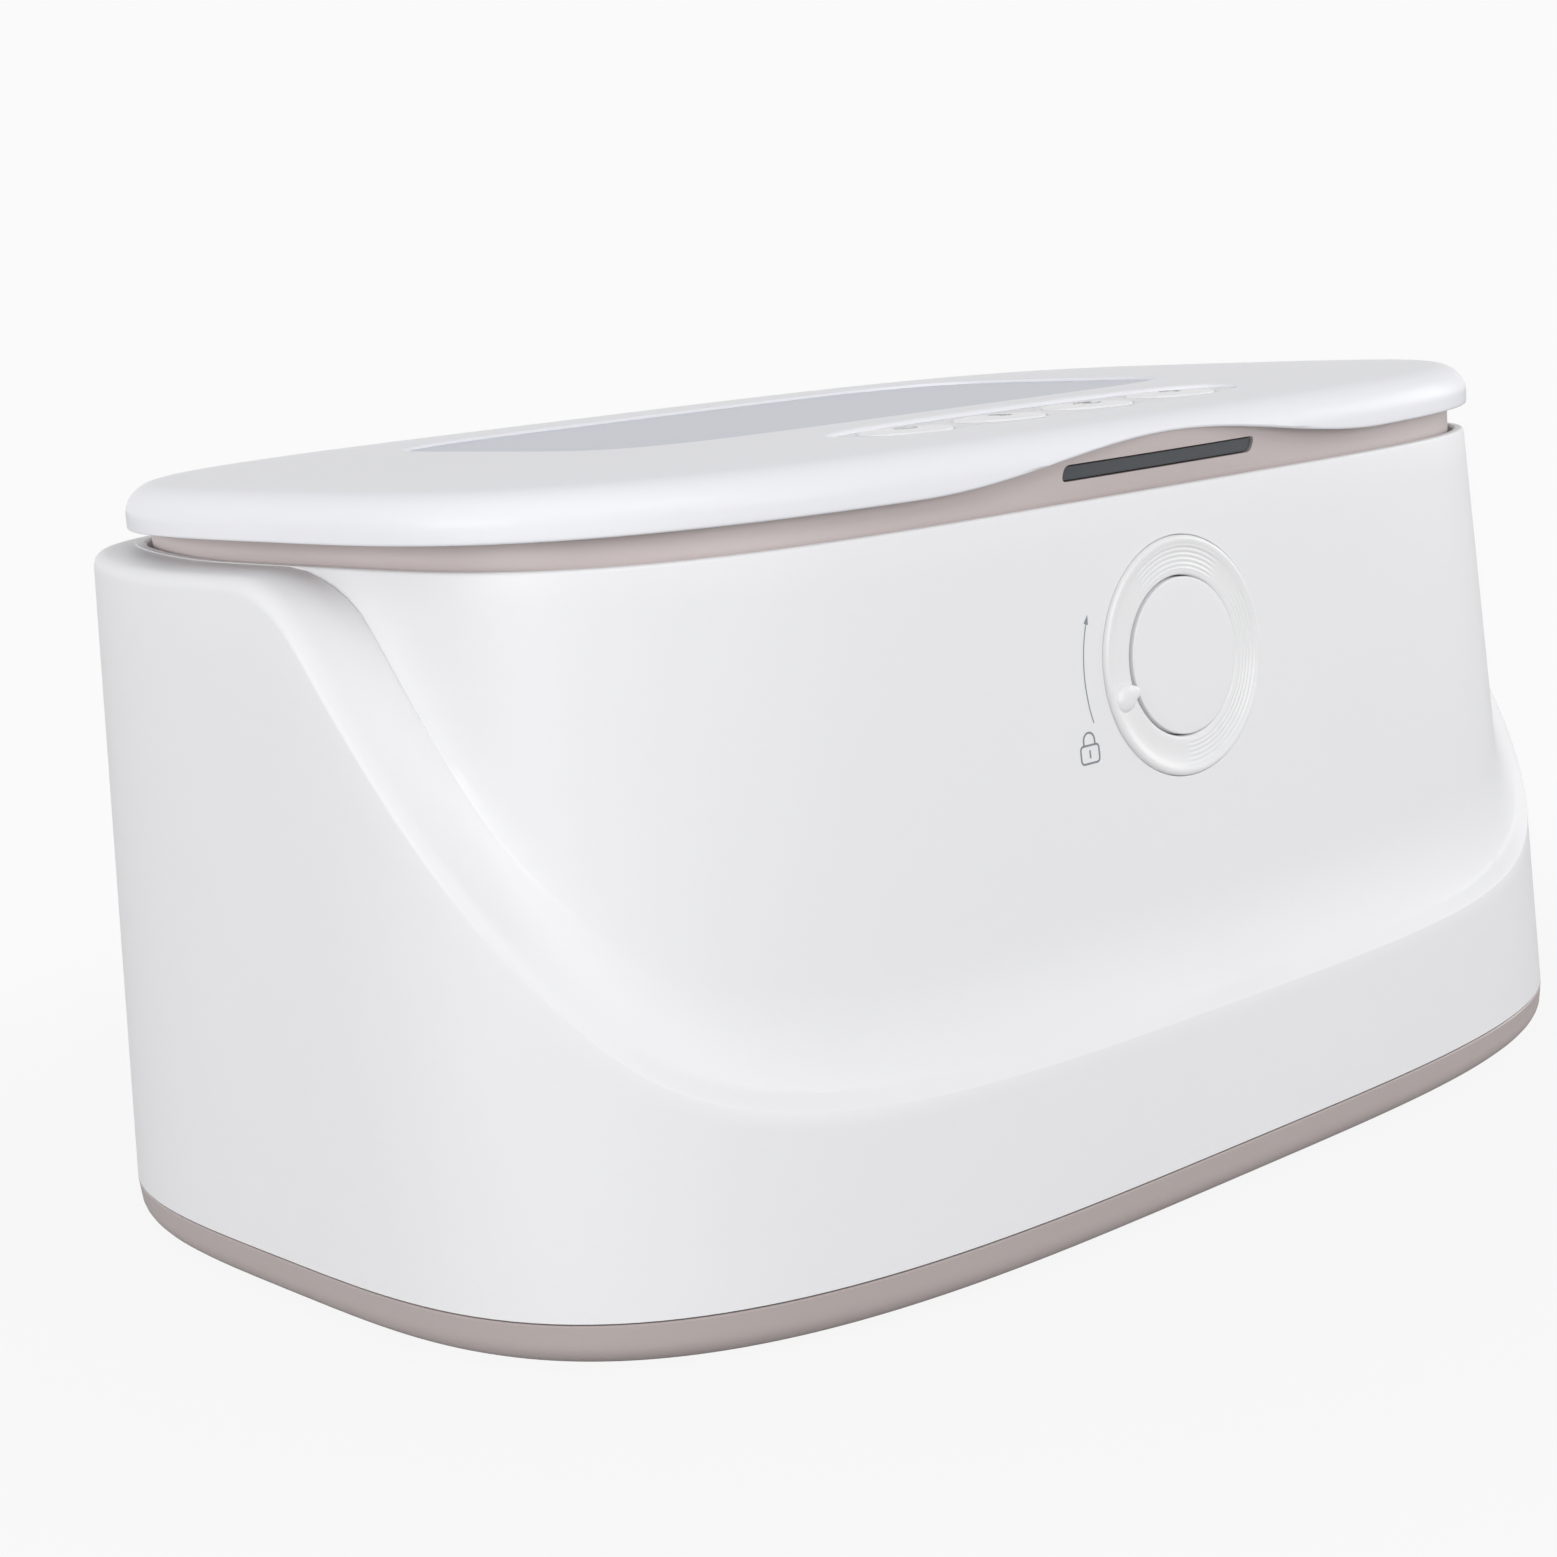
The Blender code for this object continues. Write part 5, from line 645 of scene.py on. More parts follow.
def screwTree(name, material):
    # cross-head screws on the corners of a rectangle, pointing up
    tree, source, sink = growTree(name, {
        "Span X": 0.1, "Span Y": 0.05, "Head Radius": 0.0028, "Head Height": 0.0016,
        "Shank Radius": 0.00145, "Shank Length": 0.009})
    given = source.outputs

    def share(title, factor):
        return mathNode(tree, "MULTIPLY", given[title], factor)

    def lifted(geometry, z):
        spot = newNode(tree, "ShaderNodeCombineXYZ", {"Z": z}).outputs[0]
        return newNode(tree, "GeometryNodeTransform", {"Geometry": geometry, "Translation": spot}).outputs[0]

    def cone(low, high, depth, z):
        node = newNode(tree, "GeometryNodeMeshCone", {
            "Vertices": 32, "Radius Bottom": low, "Radius Top": high, "Depth": depth})
        return lifted(node.outputs["Mesh"], z)

    head, shank = given["Head Radius"], given["Shank Radius"]
    halfHead, top = share("Head Height", 0.5), share("Head Height", -1.0)
    overlap = share("Head Height", screwShare["overlap"])
    full = share("Shank Length", screwShare["shank"])
    join = newNode(tree, "GeometryNodeMeshBoolean", {}, operation="UNION")
    for piece in (cone(share("Head Radius", screwShare["crest"]), head, halfHead, top),
                  cone(head, head, halfHead, share("Head Height", -0.5)),
                  cone(shank, shank, mathNode(tree, "SUBTRACT", full, overlap), overlap),
                  cone(shank, share("Shank Radius", screwShare["tipRadius"]),
                       share("Shank Length", screwShare["tip"]), full)):
        feed(tree, join, 1, piece)
    recess = newNode(tree, "GeometryNodeMeshBoolean", {0: join.outputs[0]}, operation="DIFFERENCE")
    length = share("Head Radius", screwShare["crossLength"])
    width = share("Head Radius", screwShare["crossWidth"])
    for sizeX, sizeY in ((length, width), (width, length)):
        size = newNode(tree, "ShaderNodeCombineXYZ", {
            "X": sizeX, "Y": sizeY, "Z": share("Head Height", screwShare["crossHeight"])})
        bar = newNode(tree, "GeometryNodeMeshCube", {"Size": size.outputs[0]})
        feed(tree, recess, 1, lifted(bar.outputs[0], top))
    corners = newNode(tree, "GeometryNodeMeshGrid", {
        "Vertices X": 2, "Vertices Y": 2, "Size X": given["Span X"], "Size Y": given["Span Y"]})
    spread = newNode(tree, "GeometryNodeInstanceOnPoints", {
        "Points": corners.outputs[0], "Instance": recess.outputs[0]})
    return closeTree(tree, sink, spread.outputs[0], material)


# Outer housing

housing = {
    "seamHalf": 0.00015, "upperRows": 10, "rimRows": 5, "shelfWidth": 0.0026, "shelfThickness": 0.0025,
    "shelfSlope": 0.0016, "collarShift": 0.0024, "collarBlend": 0.0040, "collarMargin": 0.0014,
    "ledgeDrop": 0.0025, "innerEdge": 0.0003, "holeSteps": 128, "holeDepth": 0.0090,
    "holeEdge": 0.00015, "holeProud": 0.00004,
    "lugNear": 0.02885, "lugFar": 0.04615, "lugWidth": 0.0050, "lugInset": 0.0011, "lugDrop": 0.0162,
    "lugFrontDrop": 0.0092,
    "jackX": 0.0300, "jackZ": 0.0175, "jackRadius": 0.00515,
}


def housingColumn(turn):
    edgeZ, coveZ, rimEdge = ledgeEdges(turn)
    soft = smooth(1 - (shell["sweepTop"] - edgeZ) / shell["shoulderBlend"])
    roundZ = shell["ledgeEdge"] + (shell["shoulderHeight"] - shell["ledgeEdge"]) * soft
    roundW = shell["ledgeEdge"] + (shell["shoulderWidth"] - shell["ledgeEdge"]) * soft
    width = max((shellPoint(turn, edgeZ) - upperPoint(turn, edgeZ)).length, roundW * 1.2)
    back = roundW / width
    deep = smooth((coveZ - edgeZ - shell["coveSteep"]) / shell["coveSteep"])
    bend = shell["coveBendSide"] + (shell["coveBend"] - shell["coveBendSide"]) * deep
    bendZ = edgeZ + (coveZ - edgeZ) * bend

    def between(share, z, shellInset=0.0, upperInset=0.0):
        inner = upperPoint(turn, z, upperInset)
        p = inner + (shellPoint(turn, z, shellInset) - inner) * share
        return Vector((p.x, p.y, z))

    def cove(t, shellInset=0.0, upperInset=0.0, drop=0.0):
        z = edgeZ * (1 - t) ** 2 + bendZ * 2 * t * (1 - t) + coveZ * t * t
        return between((1 - back) * (1 - t) ** 2, z - drop, shellInset, upperInset)

    low = level["seam"] + housing["seamHalf"]
    points = []
    for i in range(shell["wallRows"]):
        points.append(between(1, low + (edgeZ - roundZ - low) * i / shell["wallRows"]))
    slope = (bendZ - edgeZ) / (width * (1 - back))
    turnZ = max(edgeZ - slope * width * back, edgeZ - 0.9 * roundZ)
    for i in range(shell["roundRows"] + 1):
        t = i / shell["roundRows"]
        z = (edgeZ - roundZ) * (1 - t) ** 2 + turnZ * 2 * t * (1 - t) + edgeZ * t * t
        points.append(between(1 - back * t * t, z))
    for i in range(1, shell["coveRows"] + 1):
        points.append(cove(i / shell["coveRows"]))
    inside = rimPoint(turn, 0.0)
    lift = rearLift(inside.x, inside.y)
    topZ = level["rim"] - rimEdge + lift
    for i in range(1, housing["upperRows"] + 1):
        points.append(between(0, coveZ + (topZ - coveZ) * i / housing["upperRows"]))
    for i in range(1, housing["rimRows"] + 1):
        angle = math.pi / 2 * i / housing["rimRows"]
        points.append(between(0, topZ + rimEdge * math.sin(angle), 0, rimEdge * (1 - math.cos(angle))))

    def rim(inset, z):
        return Vector((*rimPoint(turn, inset), z))

    under = level["shelf"] - housing["shelfThickness"]
    points += [rim(-housing["innerEdge"], level["rim"] + lift),
               rim(0, level["rim"] + lift - housing["innerEdge"]), rim(0, level["shelf"]),
               rim(housing["shelfWidth"], level["shelf"]),
               rim(housing["shelfWidth"], under)]
    low = under - housing["shelfSlope"]
    shift = housing["collarShift"] * smooth(
        (coveZ - housing["ledgeDrop"] - low - housing["collarMargin"]) / housing["collarBlend"])
    inset = shell["upperWall"] - shift
    points.append(between(0, low, 0, inset))
    points.append(between(0, coveZ - housing["ledgeDrop"], 0, inset))
    points.append(cove(0.5, shell["wall"], inset, housing["ledgeDrop"]))
    points.append(between(1, edgeZ - housing["ledgeDrop"] - roundZ * soft / 2, shell["wall"]))
    points.append(between(1, level["seam"] + shell["spigot"], shell["wall"]))
    points.append(between(1, level["seam"] + housing["seamHalf"], shell["wall"]))
    return points


def arcPoints(centreX, centreY, radius, start, end, steps):
    return [Vector((centreX + radius * math.cos(start + (end - start) * i / steps),
                    centreY + radius * math.sin(start + (end - start) * i / steps)))
            for i in range(steps + 1)]


def sideSlab(name, outline, low, high, edge=0.0):
    # side view outline of (y, z) drawn out along X
    turn = Matrix(((0, 0, 1, 0), (1, 0, 0, 0), (0, 1, 0, 0), (0, 0, 0, 1)))
    return slab(name, outline, low, high, turn, edge)


def makeHousing():
    columns = [housingColumn(turn) for turn in turns]
    obj = loft("housingShell", [list(row) for row in zip(*columns)], closed=True)
    weld(obj)
    steps, radius = housing["holeSteps"], knob["holeRadius"]
    depth, edge = housing["holeDepth"], housing["holeEdge"]
    profile = [(0, -depth), (radius, -depth), (radius, -edge), (radius + edge * 0.3, -edge * 0.3),
               (radius + edge, housing["holeProud"]), (radius + edge, depth), (0, depth)]
    hole = turned("knobHole", profile, steps, knobPlace)
    carve(obj, hole)
    wallY = shell["halfDepth"] - shell["draft"] * (hinge["z"] - housing["lugDrop"] - level["seam"])
    outline = arcPoints(hinge["y"], hinge["z"], hinge["radius"], 0, math.pi, roundSteps)
    outline += [Vector((hinge["y"] - hinge["radius"], hinge["z"] - housing["lugFrontDrop"])),
                Vector((wallY - shell["wall"] + housing["lugInset"], hinge["z"] - housing["lugDrop"])),
                Vector((wallY - housing["lugInset"], hinge["z"] - housing["lugDrop"]))]
    for side in (-1, 1):
        for start in (housing["lugNear"], housing["lugFar"]):
            low, high = sorted((side * start, side * (start + housing["lugWidth"])))
            carve(obj, sideSlab("lug", outline, low, high), "UNION")
        reach = housing["lugFar"] + housing["lugWidth"]
        carve(obj, rod("bore", (side * (housing["lugNear"] - gap), hinge["y"], hinge["z"]),
                       (side * (reach + gap), hinge["y"], hinge["z"]), hinge["bore"]))
    inlet = rod("inlet", (housing["jackX"], shell["halfDepth"] - shell["wall"] * 3, housing["jackZ"]),
                (housing["jackX"], shell["halfDepth"] + shell["wall"], housing["jackZ"]),
                housing["jackRadius"], 64)
    carve(obj, inlet)
    return place(obj, "body", "white_plastic", finish["housingWhite"], "outer_housing")


makeHousing()
print("housing shell made")


# Base pan, feet and the screws in the base

pan = {
    "edgeRadius": 0.0040, "flare": 0.0002, "roundSteps": 8, "lip": 0.00295, "spigot": 0.0038,
    "spigotDraft": 0.0003, "spigotWall": 0.0015, "footX": 0.086, "footY": 0.054, "footRadius": 0.0070,
    "footRecess": 0.0010, "screwX": 0.115, "screwY": 0.025, "screwSink": 0.00125, "headRadius": 0.0028,
    "screwBore": 0.00175, "closeInset": 0.04, "grooves": (0.0022, 0.0048), "grooveWidth": 0.0010,
    "grooveDepth": 0.0003, "grooveSlope": 0.0002, "footEdge": 0.0004, "headHeight": 0.0016,
}


def makePan():
    top = level["seam"] - housing["seamHalf"]
    radius, steps = pan["edgeRadius"], pan["roundSteps"]
    rows = [(None, level["base"]), (pan["closeInset"], level["base"])]
    for i in range(steps + 1):
        angle = math.pi / 2 * i / steps
        inset = pan["flare"] + radius * (1 - math.sin(angle))
        rows.append((inset, level["base"] + radius * (1 - math.cos(angle))))
    inner = pan["lip"] + pan["spigotWall"]
    rows += [(pan["flare"] * 0.5, (level["base"] + radius + top) / 2), (0.0, top - pan["flare"]),
             (pan["flare"], top), (pan["lip"], top), (pan["lip"] + pan["spigotDraft"], top + pan["spigot"]),
             (inner, top + pan["spigot"]), (inner, level["panFloor"]), (pan["closeInset"], level["panFloor"]),
             (None, level["panFloor"])]
    obj = grown("basePan", ringTree("superPan", rows, finish["taupe"]), {
        "Half Width": shell["halfWidth"], "Half Depth": shell["halfDepth"], "Power": shell["power"]})
    for x in (-1, 1):
        for y in (-1, 1):
            spot = Vector((x * pan["footX"], y * pan["footY"], 0))
            carve(obj, rod("recess", spot, spot + Vector((0, 0, level["base"] + pan["footRecess"])),
                           pan["footRadius"] + gap, 96))
            spot = Vector((x * pan["screwX"], y * pan["screwY"], 0))
            carve(obj, rod("sink", spot, spot + Vector((0, 0, level["base"] + pan["screwSink"])),
                           pan["headRadius"] + gap, 48))
            carve(obj, rod("screwHole", spot, spot + Vector((0, 0, level["seam"])), pan["screwBore"], 32))
    return place(obj, "body", "taupe_plastic", finish["taupe"], "base_pan")


makePan()

feet = []
for x in (-pan["footX"], pan["footX"]):
    for y in (-pan["footY"], pan["footY"]):
        radius, edge, high = pan["footRadius"], pan["footEdge"], level["base"] + pan["footRecess"] - gap
        profile = [(0, 0)]
        for start in pan["grooves"]:
            end, slope, depth = start + pan["grooveWidth"], pan["grooveSlope"], pan["grooveDepth"]
            profile += [(start, 0), (start + slope, depth), (end - slope, depth), (end, 0)]
        profile += [(radius - edge, 0), (radius, edge), (radius, high), (0, high)]
        feet.append(turned("foot", profile, 72, Matrix.Translation((x, y, 0))))
place(joined("rubberFeet", feet), "body", "rubber", finish["rubber"],
      *[f"rubber_foot_{i}" for i in range(1, 5)])

screws = screwTree("crossHeadScrews", finish["steel"])


def makeScrews(name, body, nodes, span, centre, length):
    obj = grown(name, screws, {"Span X": span[0], "Span Y": span[1], "Shank Length": length})
    obj.data.transform(Matrix.Translation(Vector(centre)))
    return place(obj, body, "steel", finish["steel"], *nodes)


def headLevel(node):
    # underside of an upright screw's head
    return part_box(node)[0].z + pan["headHeight"]


screwSets = {
    "base": {"body": "body", "spanX": 2 * pan["screwX"], "spanY": 2 * pan["screwY"], "y": 0, "length": 0.018},
    "retainer": {"body": "body", "spanX": 0.1776, "spanY": 0.060, "y": 0.0045, "length": 0.005},
    "lid": {"body": "lid", "spanX": 0.176, "spanY": 0.089, "y": 0.0045, "length": 0.009},
}
for title, values in screwSets.items():
    nodes = [f"{title}_screw_{i}" for i in range(1, 5)]
    makeScrews(f"{title}Screws", values["body"], nodes, (values["spanX"], values["spanY"]),
               (0, values["y"], headLevel(nodes[0])), values["length"])
print("base made")


# Wipes chamber with its deck

chamber = {
    "halfWidth": 0.100, "halfDepth": 0.0565, "centreY": 0.0045, "power": 5.5, "draft": 0.0030,
    "wall": 0.0018, "corner": 0.0030, "deckEdge": 0.0008, "deckInset": 0.0006,
    "slotHalf": 0.0060, "slotFront": -0.0641, "slotBack": -0.0587,
    "slotCorner": 0.001, "closeInset": 0.045,
}


def chamberRow(inset, z):
    half = Vector((chamber["halfWidth"] - inset, chamber["halfDepth"] - inset))
    return [Vector((*superPoint(half.x, half.y, chamber["power"], turn, chamber["centreY"]), z))
            for turn in turns]


def makeChamber():
    draft, corner, edge = chamber["draft"], chamber["corner"], chamber["deckEdge"]
    floor, deck, low, wall = level["chamberFloor"], level["deck"], level["deckLow"], chamber["wall"]
    rows = [chamberRow(chamber["closeInset"], floor)]
    for i in range(9):
        angle = math.pi / 2 * i / 8
        rows.append(chamberRow(draft + corner * (1 - math.sin(angle)),
                               floor + corner * (1 - math.cos(angle))))
    for i in range(1, 8):
        t = i / 8
        rows.append(chamberRow(draft * (1 - t), floor + corner + (deck - edge - floor - corner) * t))
    for i in range(6):
        angle = math.pi / 2 * i / 5
        rows.append(chamberRow(-edge * (1 - math.cos(angle)), deck - edge * (1 - math.sin(angle))))
    for inset, z in ((edge / 2, deck), (0, deck - edge / 2), (0, low)):
        rows.append([Vector((*rimPoint(turn, chamber["deckInset"] + inset), z)) for turn in turns])
    rows += [chamberRow(-wall, low), chamberRow(draft - wall, floor + corner),
             chamberRow(draft + corner - wall / 2, level["chamberUnder"])]
    obj = loft("wipesChamber", rows)
    weld(obj)
    middle = (chamber["slotFront"] + chamber["slotBack"]) / 2
    halfY = (chamber["slotBack"] - chamber["slotFront"]) / 2
    corners = rectangle(chamber["slotHalf"], halfY, 0, middle)
    carve(obj, slab("deckSlot", rounded(corners, chamber["slotCorner"]), low - gap * 3, deck + gap * 3))
    return place(obj, "body", "chamber_plastic", finish["chamberWhite"], "inner_tank")


makeChamber()


# Lid: cover, liner, window, panel, keys and light bar

liner = {
    "skirt": 0.0008, "wall": 0.0020, "toe": 0.0006, "flare": 0.0033, "rise": 0.0040, "back": 0.0013,
    "flangeInset": 0.0023, "flange": 0.0016, "flangeZ": 0.1147, "thin": 0.2, "topShare": 0.55,
    "upstandWall": 0.0019, "upstandDrop": 0.0005, "skirtRows": 10, "slotHalf": 0.0222, "slotRise": 0.00128,
    "slotPast": 0.001, "round": 0.0004,
}
# Share of a bar's half height that rounds its ends
endShare = 0.98
striker = {"y": -0.0612, "back": 0.0013, "front": 0.0017, "halfWidth": 0.0050, "clear": 0.0004}
panel = {
    "halfWidth": 0.0440, "halfDepth": 0.0115, "centreY": -0.0500, "power": 2.6, "edge": 0.0008,
    "keyRadius": 0.0073, "keyPitch": 0.0205, "thickness": 0.0013, "pad": 0.0020, "padUnder": 0.1176,
    "inlayEdge": 0.0002, "stemBore": 0.0023, "rimTurn": math.radians(80),
}
bar = {"halfLength": 0.0220, "halfHeight": 0.00108, "z": 0.1145, "flange": 0.0008,
       "flangeSide": 0.0022, "flangeHeight": 0.0060, "flangeCorner": 0.0005,
       "faceRings": ((1, 0.0009), (0.985, 0.00055), (0.93, 0.0004)), "endShrink": 0.06}


def lidPoint(turn, inset, share, shrink=0.0):
    # side of the lid from its waved lower edge to the top of the rounding
    halfX, halfY = lid["halfWidth"] - inset, lid["halfDepth"] - inset
    edge = superPoint(halfX, halfY, lid["power"], turn)
    radius = lid["edgeRadius"] - inset
    top = level["lidTop"] if inset == 0 else level["ceiling"]
    straight = level["lidTop"] - lid["edgeRadius"]
    start = level["lidEdge"] + lid["waveRise"] * wave(edge.x, edge.y)
    rounded = lid["roundShare"]
    first = 0.0
    if start > straight:
        first = math.asin(min((start - straight) / (top - straight), 1))
    if share < rounded:
        if start < straight:
            p = superPoint(halfX - shrink, halfY - shrink, lid["power"], turn)
            return Vector((p.x, p.y, start - (start - straight) * share / rounded))
        angle = first + (math.pi / 2 - first) * share / 2
    else:
        t = (share - rounded) / (1 - rounded)
        low = first
        if start >= straight:
            low = first + (math.pi / 2 - first) * rounded / 2
        angle = low + (math.pi / 2 - low) * t
    pull = radius * (1 - math.cos(angle)) + shrink
    p = superPoint(halfX - pull, halfY - pull, lid["power"], turn)
    return Vector((p.x, p.y, straight + (top - straight) * math.sin(angle)))


def windowRow(inset, height):
    row = []
    for turn in turns:
        p = superPoint(window["halfWidth"] - inset, window["halfDepth"] - inset, window["power"], turn,
                       window["centreY"])
        row.append(Vector((p.x, p.y, height(p.x, p.y) if callable(height) else height)))
    return row


def panelOutline(inset, steps=192):
    return [superPoint(panel["halfWidth"] - inset, panel["halfDepth"] - inset, panel["power"],
                       2 * math.pi * i / steps, panel["centreY"]) for i in range(steps)]


def keyPlaces():
    return [(i - 1.5) * panel["keyPitch"] for i in range(4)]


def makeLid():
    shares = [i / 16 for i in range(17)]
    lip = lid["lowerEdge"]
    rows = []
    for i in range(5):
        angle = math.pi / 2 * i / 4
        inset, up = lip * (1 - math.sin(angle)), lip * (1 - math.cos(angle))
        row = []
        for turn in turns:
            p = lidPoint(turn, 0, 0, inset)
            row.append(Vector((p.x, p.y, p.z + up)))
        rows.append(row)
    # the first rows above the rounding are kept clear of it
    rows += [[lidPoint(turn, 0, share) for turn in turns] for share in shares[2:]]
    edge = window["edge"]
    outer = rows[-1]
    inner = windowRow(-edge, 0.0)
    for i in range(1, lid["crownRows"] + 1):
        t = i / lid["crownRows"]
        row = []
        for a, b in zip(outer, inner):
            x, y = a.x + (b.x - a.x) * t, a.y + (b.y - a.y) * t
            row.append(Vector((x, y, crownZ(x, y))))
        rows.append(row)
    for i in range(1, 5):
        angle = math.pi / 2 * i / 4
        drop = edge * (1 - math.cos(angle))
        rows.append(windowRow(-edge * (1 - math.sin(angle)), lambda x, y: crownZ(x, y) - drop))
    seat = lambda x, y: crownZ(x, y) - window["seatDepth"]
    rows += [windowRow(0, seat), windowRow(window["seat"], seat), windowRow(window["seat"], level["ceiling"])]
    rows += [[lidPoint(turn, lid["wall"], share) for turn in turns] for share in (1, 0.8, 0.6, 0.4, 0.25, 0)]
    obj = loft("lidShell", rows, closed=True)
    weld(obj)
    pad = slab("pad", panelOutline(-panel["pad"], 96), panel["padUnder"], level["ceiling"] + gap)
    carve(obj, pad, "UNION")
    outline = arcPoints(hinge["y"], hinge["z"], hinge["radius"], -math.pi / 2, math.pi / 2, roundSteps)
    wallY = lid["halfDepth"] - lid["wall"] + housing["lugInset"] / 2
    outline += [Vector((wallY, hinge["z"] + hinge["radius"])), Vector((wallY, level["lidEdge"] + gap)),
                Vector((hinge["y"] - hinge["radius"], hinge["z"] - hinge["knuckleDrop"]))]
    for side in (-1, 1):
        low, high = sorted((side * hinge["knuckleNear"], side * hinge["knuckleFar"]))
        carve(obj, sideSlab("knuckle", outline, low, high), "UNION")
        carve(obj, rod("bore", (low - gap, hinge["y"], hinge["z"]), (high + gap, hinge["y"], hinge["z"]),
                       hinge["bore"]))
        for y in (lid["postFront"], lid["postBack"]):
            carve(obj, rod("post", (side * lid["postX"], y, level["plate"] + gap),
                           (side * lid["postX"], y, level["ceiling"] + gap), lid["postRadius"]), "UNION")
    rings = [(0, lambda x, y: level["pocket"])]
    for i in range(8):
        angle = panel["rimTurn"] * i / 7
        drop = panel["edge"] * (1 - math.sin(angle))
        rings.append((-panel["edge"] * (1 - math.cos(angle)), lambda x, y, drop=drop: crownZ(x, y) - drop))
    rings.append((rings[-1][0], lambda x, y: crownZ(x, y) + panel["edge"]))
    pocket = loft("pocket", [[Vector((p.x, p.y, height(p.x, p.y))) for p in panelOutline(inset)]
                             for inset, height in rings])
    carve(obj, pocket)
    for x in keyPlaces():
        carve(obj, rod("stemHole", (x, panel["centreY"], panel["padUnder"] - gap),
                       (x, panel["centreY"], level["pocket"] + gap), panel["stemBore"], 32))
    return place(obj, "lid", "white_plastic", finish["lidWhite"], "lid_cover")


def skirtPoint(turn, inset, z, flareShare=0.0, riseShare=0.0, back=0.0):
    p = rimPoint(turn, inset)
    swell = wave(p.x, p.y)
    return Vector((p.x, p.y - liner["flare"] * swell * flareShare + back * swell,
                   z + liner["rise"] * swell * riseShare))


def skirtFrontY(x, z):
    # depth of the skirt's leaning front face
    halfX, halfY = shell["rimHalfWidth"] - liner["skirt"], shell["rimHalfDepth"] - liner["skirt"]
    y = -halfY * (1 - (abs(x) / halfX) ** shell["rimPower"]) ** (1 / shell["rimPower"])
    swell = wave(x, y)
    low = level["rim"] + shell["rimEdge"]
    high = liner["flangeZ"] + liner["rise"] * swell
    return y - liner["flare"] * swell * (z - low) / (high - low)


def makeLiner():
    skirt, inner = liner["skirt"], liner["skirt"] + liner["wall"]
    flangeZ, low = liner["flangeZ"], level["linerLow"]
    start = level["rim"] + shell["rimEdge"]

    def flange(raised):
        row = []
        for turn in turns:
            inset = liner["flangeInset"]
            p = superPoint(lid["halfWidth"] - inset, lid["halfDepth"] - inset, lid["power"], turn)
            swell = wave(p.x, p.y)
            up = liner["flange"] * (1 - (1 - liner["thin"]) * swell) if raised else 0.0
            row.append(Vector((p.x, p.y + liner["back"] * swell, flangeZ + liner["rise"] * swell + up)))
        return row

    def skirtRow(*values):
        return [skirtPoint(turn, *values) for turn in turns]

    toe, bevel = liner["toe"], liner["round"]
    rows = [skirtRow(skirt + toe, low), skirtRow(skirt + toe * 0.3, low + toe * 0.3),
            skirtRow(skirt, low + toe), skirtRow(skirt, start)]
    for i in range(1, liner["skirtRows"] + 1):
        t = i / liner["skirtRows"]
        rows.append(skirtRow(skirt, start + (flangeZ - start) * t, t, t))
    upstand = window["seat"] + gap
    rows += [flange(False), flange(True),
             skirtRow(inner, flangeZ + liner["flange"], 0.0, liner["topShare"], -liner["back"]),
             skirtRow(inner, level["plate"]),
             windowRow(upstand - liner["upstandWall"], level["plate"]),
             windowRow(upstand - liner["upstandWall"], level["ceiling"] - liner["upstandDrop"]),
             windowRow(upstand, level["ceiling"] - liner["upstandDrop"]),
             windowRow(upstand, level["plateLow"] + bevel), windowRow(upstand - bevel, level["plateLow"]),
             skirtRow(inner + bevel, level["plateLow"]), skirtRow(inner, level["plateLow"] - bevel),
             skirtRow(inner, low)]
    obj = loft("lidLiner", rows, closed=True)
    weld(obj)
    halfX, halfZ = liner["slotHalf"], liner["slotRise"]
    outline = rounded(rectangle(halfX, halfZ, 0, bar["z"]), halfZ * endShare, 8)
    rings = []
    front = skirtFrontY(0, bar["z"]) - liner["flare"]
    for y in (front, -(shell["rimHalfDepth"] - inner) + liner["slotPast"]):
        rings.append([Vector((p.x, y, p.y)) for p in outline])
    carve(obj, loft("barSlot", rings))
    back = striker["y"] + striker["back"] + striker["clear"]
    front = striker["y"] - striker["front"] - striker["clear"]
    half = striker["halfWidth"] + striker["clear"]
    corners = [Vector((-half, front)), Vector((half, front)), Vector((half, back)), Vector((-half, back))]
    carve(obj, slab("strikerSlot", corners, level["plateLow"] - gap, level["plate"] + gap))
    # the liner takes the lighter taupe copy, painted light against the shade under the lid
    return place(obj, "lid", "taupe_plastic", finish["taupePaintedLight"], "lid_liner")


def makeWindow():
    fit, edge = window["fit"], window["edge"] * 0.25
    low = lambda x, y: crownZ(x, y) - window["seatDepth"] + gap
    inner, bevel = window["seat"] + fit, window["edge"]
    rows = [windowRow(window["closeInset"], level["ceiling"]), windowRow(inner + bevel, level["ceiling"]),
            windowRow(inner, level["ceiling"] + bevel), windowRow(inner, low), windowRow(fit, low)]
    for i in range(5):
        angle = math.pi / 2 * i / 4
        drop = window["sunk"] + edge * (1 - math.sin(angle))
        rows.append(windowRow(fit + edge * (1 - math.cos(angle)), lambda x, y: crownZ(x, y) - drop))
    for i in range(1, 9):
        inset = fit + edge + window["faceStep"] * i
        rows.append(windowRow(inset, lambda x, y: crownZ(x, y) - window["sunk"]))
    obj = loft("viewWindow", rows)
    return place(obj, "lid", "window_plastic", finish["windowTint"], "view_window")


